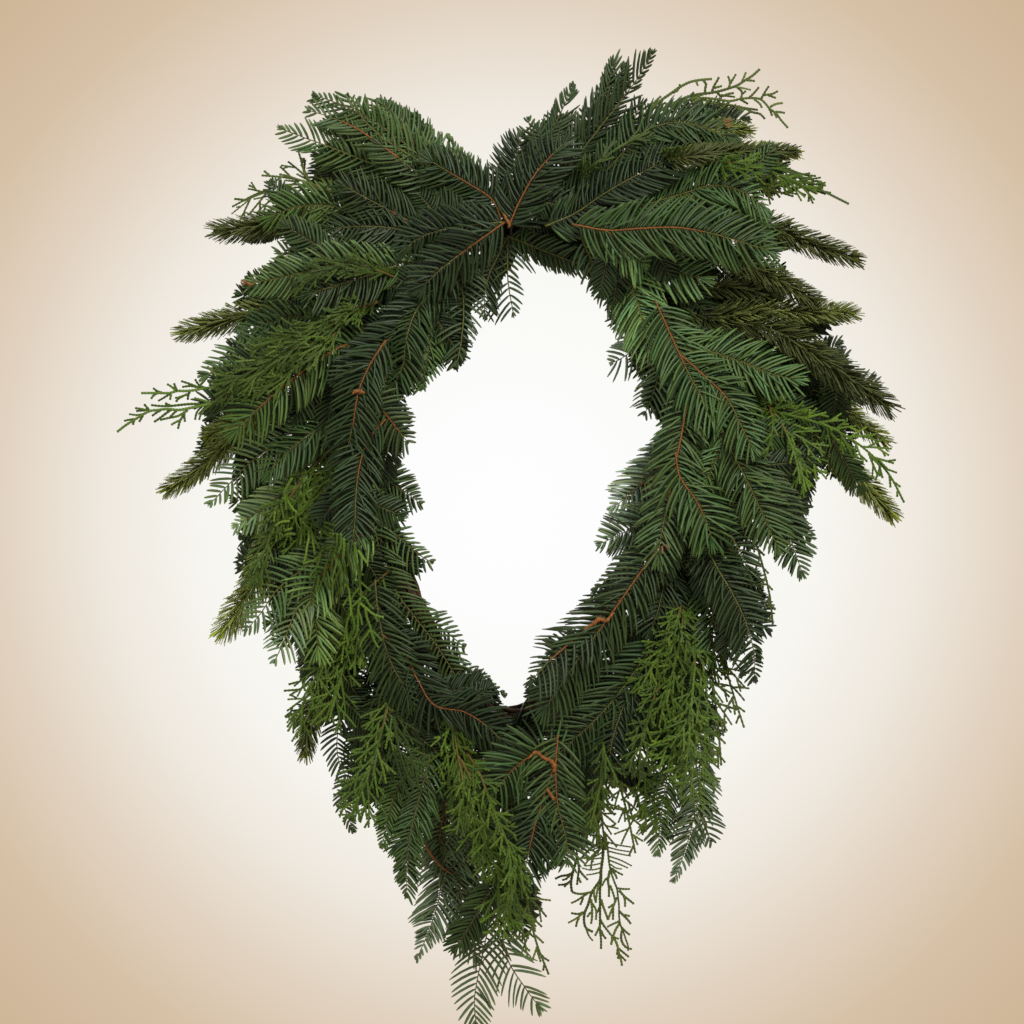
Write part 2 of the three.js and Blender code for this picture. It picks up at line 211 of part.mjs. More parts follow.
    [20.5, -0.24, [[173.3, -79.8, -296.7], [154.6, -68.5, -304.5], [143.9, -65.2, -327.6], [135.2, -72.2, -351.4], [128.6, -86.3, -375.5], [119.5, -86.3, -399.1]]],
  ]],
  ['fir_spray_25', 'fir', 'mid', [
    [21.7, -0.02, [[157.6, -80.9, -183.6], [150.4, -88.7, -208.8], [144, -94, -233.9], [138, -92.1, -258.9], [131.3, -95.1, -283.8], [125.2, -101.6, -308.8], [119.8, -101.6, -333.9]]],
    [23.8, -0.29, [[144, -94, -233.9], [148, -97.2, -256.3], [161.5, -101.8, -276.3], [171.8, -101.8, -298.2], [178.6, -98.4, -321.7]]],
  ]],
  ['fir_spray_26', 'fir', 'mid', [
    [17.1, -0.05, [[160, -35.6, -208.9], [144.4, -40, -228.3], [128.2, -40.7, -246.9], [108.8, -43.5, -262.3], [88.2, -46.1, -276]]],
    [17.1, -0.27, [[144.4, -40, -228.3], [145.3, -46.1, -254.5], [139, -50.2, -279.2], [116.3, -55, -291.9], [92.3, -59, -302.3], [68.2, -62.2, -312.3]]],
    [14.2, 0.17, [[145.3, -46.1, -254.5], [143.8, -48.9, -282.5], [135.6, -52.6, -308.9], [113.5, -55.9, -325.8], [90.6, -58.4, -341.7], [68.3, -60.4, -358.5]]],
  ]],
  ['fir_spray_27', 'fir', 'mid', [
    [20.4, 0.03, [[171.6, -68, -187.6], [184.7, -77.1, -213.8], [198.2, -84, -239.6], [211.1, -93.7, -265.5], [223.4, -93.7, -291.9], [235.8, -93.6, -318.2]]],
    [19.7, -0.25, [[184.7, -77, -213.8], [189.2, -78.9, -227.4], [180.7, -80, -240.5], [173.9, -80, -254.5], [168.2, -80, -269]]],
    [18.3, 0.10, [[184.7, -77.1, -213.8], [201.5, -79.3, -233.8], [218.4, -81.6, -253.8], [233.9, -84.2, -274.7], [245.6, -88.6, -297.9], [255.2, -94, -322], [264.2, -99.2, -346.1]]],
  ]],
  ['fir_spray_28', 'fir', 'mid', [
    [23.9, -0.33, [[126.8, -80.5, -100], [137.3, -81.8, -123.7], [147.8, -85.1, -147.4], [158.9, -89.5, -170.8], [172.1, -89.6, -193], [186.1, -89.6, -214.7]]],
    [22.6, -0.22, [[137.3, -81.8, -123.7], [156.2, -80.4, -142.3], [182.6, -73.9, -146.8], [207.7, -72.3, -155.9], [232.4, -74.5, -165.5], [258.2, -77.8, -171.2]]],
    [20.4, -0.16, [[147.8, -85.1, -147.4], [169.4, -86.1, -166.6], [189.7, -88.4, -187.1], [202.5, -92.6, -212.8], [215.3, -98.1, -238.5]]],
  ]],
  ['fir_spray_29', 'fir', 'mid', [
    [15.7, -0.27, [[133.2, -35, -113.2], [123.2, -34.4, -127.2], [112.8, -32.2, -140.7], [99.4, -31.2, -151.4], [84.2, -31.3, -159.5]]],
    [15.7, 0.42, [[133.2, -35, -113.2], [134.4, -35.8, -137.9], [131.1, -35.8, -162.6], [124.1, -33.8, -186.3], [113.6, -32.7, -208.8]]],
  ]],
  ['fir_spray_30', 'fir', 'mid', [
    [23.7, -0.12, [[53.3, -106.3, -35.3], [82.4, -107.9, -40.8], [112, -107.9, -38.9], [141.7, -107.9, -38.2], [170.9, -106.9, -43.4], [199.4, -106.3, -52], [227.8, -106.2, -60.6]]],
    [19.6, -0.27, [[82.4, -107.9, -40.8], [92.4, -104.1, -48], [102.1, -98.8, -55.7], [111.1, -95.5, -64.2], [120.6, -82.7, -72]]],
  ]],
  ['fir_spray_31', 'fir', 'mid', [
    [22.7, 0.05, [[61.4, -51, -39.4], [88.1, -52, -48], [101.3, -58.2, -72.6], [110.3, -66.1, -99.6], [117, -73, -127.1], [123.4, -78.7, -154.5]]],
    [22.7, -0.15, [[88.1, -52, -48], [108.8, -56.5, -60.9], [130.7, -62.8, -71.1], [154.2, -68.4, -76.3], [177.5, -72.9, -82.7]]],
    [15.6, 0.15, [[61.4, -51, -39.4], [69.9, -51.9, -62.2], [81.5, -54.5, -83.5], [92.1, -58.8, -105.4], [98.3, -63.6, -129]]],
  ]],
  ['fir_spray_32', 'fir', 'mid', [
    [21.1, -0.13, [[29.9, -82.1, -35], [59, -83.5, -27.2], [88.4, -85.8, -21.4], [118.4, -85.8, -18.1], [147.3, -87.3, -10.7], [176, -91.6, -4.1], [203.9, -97.4, -13.3], [224.6, -103, -35]]],
    [21.1, -0.42, [[29.9, -82.1, -35], [56.1, -87.2, -24.3], [79.7, -94, -8.8], [104.5, -94.3, 5.6], [130.2, -94.3, 18.4], [156.9, -94.2, 28.8]]],
  ]],
  ['fir_spray_33', 'fir', 'mid', [
    [20.5, -0.23, [[34.6, -62.3, -23.5], [58, -68.4, -7.3], [79, -74.5, 11.5], [97.4, -79.6, 33], [117.5, -79.6, 53.5], [144.1, -79.6, 62.3], [172.7, -72.6, 58.3], [199.8, -69.5, 48.3]]],
  ]],
  ['fir_spray_34', 'fir', 'deep', [
    [21.4, 0.31, [[-2.7, -39.8, -40.3], [-4.9, -39.7, -60.3], [-6.2, -38.8, -80.4], [-4.9, -39.1, -100.5], [-2.7, -40.2, -120.6]]],
    [14.3, -0.25, [[-2.7, -39.8, -40.3], [-13.2, -40.5, -57.7], [-23.4, -38, -75.2], [-28.8, -37.5, -94.7], [-29.5, -38.3, -115.2]]],
    [14.3, 0.34, [[-2.7, -39.8, -40.3], [16.8, -39.7, -48.8], [36.3, -39.8, -57], [56.1, -40.8, -64.8], [75.8, -42.3, -72.6]]],
    [17.1, -0.13, [[-13.2, -40.5, -57.7], [-42.2, -43, -50.4], [-46.5, -46.1, -79.2], [-45.9, -50.1, -109.7], [-49.1, -53.5, -139.9], [-55.9, -56.2, -169.5]]],
    [15.7, -0.25, [[-42.2, -43, -50.4], [-48.8, -46, -76.1], [-58.7, -50, -100.8], [-66.9, -53.6, -126], [-70.9, -56.3, -152.2], [-73.6, -58.5, -178.4]]],
  ]],
  ['fir_tip_01', 'tip', 'olive', [
    [16.2, 0.00, [[-99.2, -35.6, -43.5], [-126.8, -35.6, -32.9], [-155, -35.3, -24.2], [-184.5, -34.4, -23.8], [-213.8, -30.7, -28.6], [-242.9, -28.8, -34.3], [-272.4, -28.5, -36.6]]],
  ]],
  ['fir_tip_02', 'tip', 'olive', [
    [16.2, 0.00, [[-103.8, -32.2, -88], [-132.4, -32.2, -92.4], [-161.4, -23.7, -96.2], [-190.5, -17.9, -99.9], [-219.6, -14.3, -104], [-248.3, -11.6, -109.6], [-276.7, -9.5, -116.6], [-305, -7.8, -124.2]]],
  ]],
  ['fir_tip_03', 'tip', 'olive', [
    [15.4, 0.00, [[-133.3, -32.4, -168.5], [-162, -32.4, -177.2], [-190.8, -25.2, -186.8], [-218.7, -20, -198.8], [-245, -17.3, -213.7], [-267.1, -15.3, -234.2], [-291, -13.7, -252.8], [-316.2, -12.3, -269.5]]],
    [12, 0.00, [[-218.7, -20, -198.8], [-234, -17, -202.4], [-249.2, -14.8, -206.7], [-263.2, -13.2, -213.6], [-276.6, -11.9, -221.8]]],
  ]],
  ['fir_tip_04', 'tip', 'olive', [
    [18.7, 0.00, [[-132.8, -45.2, -240.3], [-158.3, -45.2, -254.8], [-180.8, -37.8, -274.2], [-201.1, -34.2, -295.7], [-217.3, -33.7, -320.3], [-230, -33.9, -346.9], [-245.6, -34.1, -371.9], [-262.9, -34.2, -395.8]]],
  ]],
  ['fir_tip_05', 'tip', 'olive', [
    [14.5, 0.00, [[-112.9, -29.7, -356.5], [-131.8, -32.1, -377.5], [-147.7, -32.1, -400.8], [-161.1, -32.1, -425.8], [-173.2, -31, -451.5], [-183.1, -29, -478.1], [-187.4, -25.8, -506.4]]],
  ]],
  ['fir_tip_06', 'tip', 'olive', [
    [16.2, 0.00, [[151.1, -35.2, -146.3], [178.5, -35.2, -159.6], [205.9, -29.7, -173.3], [232.6, -27.2, -188.2], [258.4, -25.9, -204.7], [281.9, -24.9, -224.2], [303.6, -24.2, -245.7], [325.2, -23.6, -267.4], [346.5, -23, -289.3]]],
    [13.6, 0.00, [[205.9, -29.7, -173.3], [213.3, -27.2, -169.7], [241.2, -26, -174.5], [268.7, -25.1, -180.7], [295.2, -24.4, -190.1], [319.4, -23.9, -204.6], [342.9, -23.5, -220.2]]],
  ]],
  ['fir_tip_07', 'tip', 'olive', [
    [18.5, 0.00, [[124.3, -36, -88.2], [148.1, -42.5, -102], [173.1, -48.4, -112.6], [200.2, -52.3, -115.7], [226.9, -57.2, -119.8], [251.5, -61.9, -131.1], [274.3, -65.8, -145.7], [296.9, -69.2, -160.6], [319.3, -72, -175.9], [341.5, -74.3, -191.4]]],
    [13.5, 0.00, [[173.1, -48.4, -112.6], [200, -51, -110.1], [226.9, -54.4, -108.9], [253.8, -57.5, -109.6], [280.6, -59.8, -110.9], [307.5, -61.7, -112.1]]],
    [15.2, 0.00, [[148.1, -42.5, -102], [159.1, -45.8, -88.4], [185.1, -50.1, -85.5], [211, -53.7, -88.4], [235.3, -56.4, -98.5]]],
  ]],
  ['fir_tip_08', 'tip', 'olive', [
    [15.3, 0.00, [[79.6, -33.5, -38.8], [110.2, -35.5, -39.7], [140.4, -43.4, -40.3], [170.7, -40, -36], [200.3, -41.7, -29], [230.4, -44.1, -28.4], [259.1, -46.2, -38.3], [287.7, -47.8, -48.3], [316.8, -49.2, -57.1]]],
    [14.3, 0.00, [[140.4, -43.4, -40.3], [164.9, -53, -48.8], [189.3, -61, -57.1], [213.6, -62.8, -66], [237.3, -65.2, -76.5], [260.4, -68.2, -88], [283.8, -68.2, -99.2]]],
  ]],
  ['fir_tip_09', 'tip', 'olive', [
    [12.7, 0.00, [[43.8, -35.4, -12.2], [66.9, -35.8, 3.4], [92.1, -35.8, 15.1], [118.7, -35.8, 23.6], [145.7, -34, 30.7], [173.2, -33.3, 36], [201, -33.5, 37.3], [228.9, -33.8, 36.8], [256.7, -34.1, 35.3]]],
    [11.9, 0.00, [[92.1, -35.8, 15.1], [111.5, -36.1, 34.3], [135.5, -36.9, 47.1], [161.1, -38.2, 56.2], [187.9, -39.6, 59.8], [215.1, -40.8, 57.8]]],
  ]],
];

// ---- materials ------------------------------------------------------------------------
const TONES = {
  dark: 0x27361f, deep: 0x2f4a33, mid: 0x3d5a38, teal: 0x3f6254, pale: 0x5f7a66, light: 0x5f7a4f,
  lime: 0x6a8440, grey: 0x46543c, olive: 0x66703a, bright: 0x6c9038, yellow: 0x8a9436,
  green: 0x557a36, leaf: 0x6f7f34,
};
const ROUGHNESS = { fir: 0.48, cedar: 0.62, tip: 0.55 };

function leafMaterial(kind, tone) {
  return new THREE.MeshStandardMaterial({ color: TONES[tone], roughness: ROUGHNESS[kind], metalness: 0 });
}

// ---- geometry helpers -----------------------------------------------------------------
const wasm = await Module();
wasm.setup();

function geometryFrom(positions, indices) {
  const geometry = new THREE.BufferGeometry();
  geometry.setAttribute('position', new THREE.Float32BufferAttribute(positions, 3));
  geometry.setIndex(indices);
  return geometry;
}

// Skin over a row of cross sections with the same number of points. An open row is capped.
function loft(sections, closed = false) {
  const m = sections[0].length;
  const positions = [];
  const indices = [];
  for (const section of sections) for (const p of section) positions.push(p.x, p.y, p.z);
  const rows = closed ? sections.length : sections.length - 1;
  for (let i = 0; i < rows; i++) {
    const a = i * m;
    const b = ((i + 1) % sections.length) * m;
    for (let j = 0; j < m; j++) {
      const k = (j + 1) % m;
      indices.push(a + j, a + k, b + k, a + j, b + k, b + j);
    }
  }
  if (!closed) {
    const e = (sections.length - 1) * m;
    for (let j = 1; j < m - 1; j++) {
      indices.push(0, j + 1, j);
      indices.push(e, e + j, e + j + 1);
    }
  }
  return geometryFrom(positions, indices);
}

function toSolid(geometry) {
  const clean = geometry.clone();
  clean.deleteAttribute('normal');
  clean.deleteAttribute('uv');
  const merged = BufferGeometryUtils.mergeVertices(clean, 1e-4);
  const build = (triVerts) => new wasm.Manifold(new wasm.Mesh({
    numProp: 3,
    vertProperties: new Float32Array(merged.attributes.position.array),
    triVerts,
  }));
  const triVerts = new Uint32Array(merged.index.array);
  let solid = build(triVerts);
  if (solid.volume() < 0) {
    for (let i = 0; i < triVerts.length; i += 3) [triVerts[i + 1], triVerts[i + 2]] = [triVerts[i + 2], triVerts[i + 1]];
    solid = build(triVerts);
  }
  return solid;
}

function fromSolid(solid) {
  const mesh = solid.getMesh();
  const positions = [];
  for (let i = 0; i < mesh.vertProperties.length; i += mesh.numProp) {
    positions.push(mesh.vertProperties[i], mesh.vertProperties[i + 1], mesh.vertProperties[i + 2]);
  }
  const geometry = geometryFrom(...largestShell(positions, Array.from(mesh.triVerts)));
  geometry.computeVertexNormals();
  return geometry;
}

// Blades that cross can pen in a small void: the piece is solid there, so only the shell with
// the largest volume is kept.
function largestShell(positions, indices) {
  const parent = Array.from({ length: positions.length / 3 }, (_, i) => i);
  const find = (i) => {
    while (parent[i] !== i) i = parent[i] = parent[parent[i]];
    return i;
  };
  for (let i = 0; i < indices.length; i += 3) {
    parent[find(indices[i + 1])] = find(indices[i]);
    parent[find(indices[i + 2])] = find(indices[i]);
  }
  const shells = new Map();
  const at = (i) => new THREE.Vector3(positions[3 * i], positions[3 * i + 1], positions[3 * i + 2]);
  for (let i = 0; i < indices.length; i += 3) {
    const root = find(indices[i]);
    if (!shells.has(root)) shells.set(root, { volume: 0, triangles: [] });
    const shell = shells.get(root);
    const [a, b, c] = [at(indices[i]), at(indices[i + 1]), at(indices[i + 2])];
    shell.volume += a.dot(b.cross(c)) / 6;
    shell.triangles.push(indices[i], indices[i + 1], indices[i + 2]);
  }
  const best = [...shells.values()].sort((p, q) => q.volume - p.volume)[0];
  const remap = new Map();
  const kept = [];
  const outIndices = best.triangles.map((i) => {
    if (!remap.has(i)) {
      remap.set(i, kept.length / 3);
      kept.push(positions[3 * i], positions[3 * i + 1], positions[3 * i + 2]);
    }
    return remap.get(i);
  });
  return [kept, outIndices];
}

const model = new THREE.Group();
model.name = 'evergreen_wreath';

function addPiece(name, geometry, material) {
  const mesh = new THREE.Mesh(geometry, material);
  mesh.name = name;
  model.add(mesh);
}

// ---- base ring ------------------------------------------------------------------------
const ringCurve = new THREE.CatmullRomCurve3(
  RING_LINE.map(([x, z]) => new THREE.Vector3(x, RING_DEPTH_Y, z)), true, 'centripetal');
const RING_STEPS = 50;

function ringFrame(u) {
  const centre = ringCurve.getPointAt(u % 1);
  const tangent = ringCurve.getTangentAt(u % 1).normalize();
  const front = new THREE.Vector3(0, -1, 0);
  const side = new THREE.Vector3().crossVectors(tangent, front).normalize();
  return { centre, tangent, front, side };
}

{
  const sections = [];
  for (let i = 0; i < RING_STEPS; i++) {
    const f = ringFrame(i / RING_STEPS);
    const section = [];
    for (let j = 0; j < RING_SIDES; j++) {
      const a = (2 * Math.PI * j) / RING_SIDES;
      section.push(f.centre.clone()
        .addScaledVector(f.side, RING_RADIUS * Math.cos(a))
        .addScaledVector(f.front, RING_RADIUS * Math.sin(a)));
    }
    sections.push(section);
  }
  addPiece('twig_base_ring', fromSolid(toSolid(loft(sections, true))),
    new THREE.MeshStandardMaterial({ color: 0x33241a, roughness: 0.9, metalness: 0 }));
}

// ---- binding wire, one closed winding around the base -----------------------------------
{
  const steps = WIRE_TURNS * WIRE_STEPS_PER_TURN;
  const centreAt = (i) => {
    const f = ringFrame(i / steps);
    const a = (2 * Math.PI * i) / WIRE_STEPS_PER_TURN;
    const out = new THREE.Vector3()
      .addScaledVector(f.side, Math.cos(a)).addScaledVector(f.front, Math.sin(a));
    return { p: f.centre.clone().addScaledVector(out, WIRE_COIL_RADIUS), out };
  };
  const sections = [];
  for (let i = 0; i < steps; i++) {
    const { p, out } = centreAt(i);
    const ahead = centreAt((i + 1) % steps).p.sub(centreAt((i + steps - 1) % steps).p).normalize();
    const across = new THREE.Vector3().crossVectors(ahead, out).normalize();
    const up = new THREE.Vector3().crossVectors(across, ahead).normalize();
    const section = [];
    for (let j = 0; j < 4; j++) {
      const a = (2 * Math.PI * j) / 4;
      section.push(p.clone().addScaledVector(across, WIRE_RADIUS * Math.cos(a))
        .addScaledVector(up, WIRE_RADIUS * Math.sin(a)));
    }
    sections.push(section);
  }
  addPiece('binding_wire', fromSolid(toSolid(loft(sections, true))),
    new THREE.MeshStandardMaterial({ color: 0x2f3a2c, roughness: 0.4, metalness: 0.8 }));
}

// ---- hanging wire: a turn around the base, a twisted shank and an eye -------------------
{
  const centre = ringFrame(0).centre;
  const wireLoop = (radius, wireRadius, steps) => new THREE.TorusGeometry(radius, wireRadius, 6, steps);
  const wrap = wireLoop(HANGER_WRAP_RADIUS, HANGER_WIRE_RADIUS, 20);
  wrap.rotateY(Math.PI / 2);
  wrap.translate(centre.x, centre.y, centre.z);
  const backY = centre.y + HANGER_WRAP_RADIUS;
  const eye = wireLoop(HANGER_EYE_RADIUS, HANGER_WIRE_RADIUS, 24);
  eye.rotateX(Math.PI / 2);
  eye.translate(centre.x, 0, centre.z + HANGER_EYE_RISE);
  const shankBottom = centre.z - 1;
  const shankTop = centre.z + HANGER_EYE_RISE - HANGER_EYE_RADIUS;
  const shank = new THREE.CylinderGeometry(HANGER_SHANK_RADIUS, HANGER_SHANK_RADIUS, shankTop - shankBottom, 8);
  shank.rotateX(Math.PI / 2);
  const lean = Math.atan2(backY, shankTop - shankBottom);
  shank.rotateX(lean);
  shank.translate(centre.x, backY / 2, (shankTop + shankBottom) / 2);
  const solid = toSolid(wrap).add(toSolid(eye)).add(toSolid(shank));
  addPiece('hanging_wire_eye', fromSolid(solid),
    new THREE.MeshStandardMaterial({ color: 0x4a4d4a, roughness: 0.35, metalness: 0.9 }));
}

// ---- sprays ---------------------------------------------------------------------------
const clamp01 = (v) => Math.min(1, Math.max(0, v));

// Share of the full needle reach at u along a shoot: narrow at the bound end, rounded at the tip.
function widthShare(kind, u) {
  const start = kind === 'tip' ? 0.25 + 0.75 * clamp01(u / 0.45) : 0.30 + 0.70 * clamp01(u / 0.16);
  const end = u < 0.70 ? 1 : Math.sqrt(Math.max(0, 1 - ((u - 0.70) / 0.30) ** 2));
  return start * Math.max(end, 0.10);
}

function thicknessShare(kind, u) {
  const start = kind === 'tip' ? 0.35 + 0.65 * clamp01(u / 0.45) : 1;
  const end = u < 0.75 ? 1 : 0.45 + 0.55 * Math.sqrt(Math.max(0, 1 - ((u - 0.75) / 0.25) ** 2));
  return start * end;
}

function halfThickness(kind, halfWidth) {
  if (kind === 'tip') return TIP_THICKNESS * (halfWidth / TIP_REACH);
  return kind === 'fir' ? FIR_THICKNESS : CEDAR_THICKNESS;
}

// One shoot: lens-shaped sections in the plane of the spray, along the stem line.
function shootSolid(kind, halfWidth, roll, line) {
  const points = line.map((p) => new THREE.Vector3(...p));
  const sections = points.map((p, i) => {
    const u = i / (points.length - 1);
    const along = points[Math.min(i + 1, points.length - 1)].clone().sub(points[Math.max(i - 1, 0)]);
    const across = new THREE.Vector3(-along.z, 0, along.x).normalize();
    const w = halfWidth * widthShare(kind, u);
    const t = halfThickness(kind, halfWidth) * thicknessShare(kind, u);
    const front = new THREE.Vector3(0, -t, 0);
    const edge = across.clone().multiplyScalar(w);
    edge.y = -w * roll * clamp01(u / 0.30);
    return [p.clone().add(edge), p.clone().add(front), p.clone().sub(edge), p.clone().sub(front)];
  });
  return toSolid(loft(sections));
}

for (const [name, kind, tone, shoots] of SPRAYS) {
  let solid = null;
  for (const [halfWidth, roll, line] of shoots) {
    const shoot = shootSolid(kind, halfWidth, roll, line);
    solid = solid ? solid.add(shoot) : shoot;
  }
  addPiece(name, fromSolid(solid), leafMaterial(kind, tone));
}

export default model;
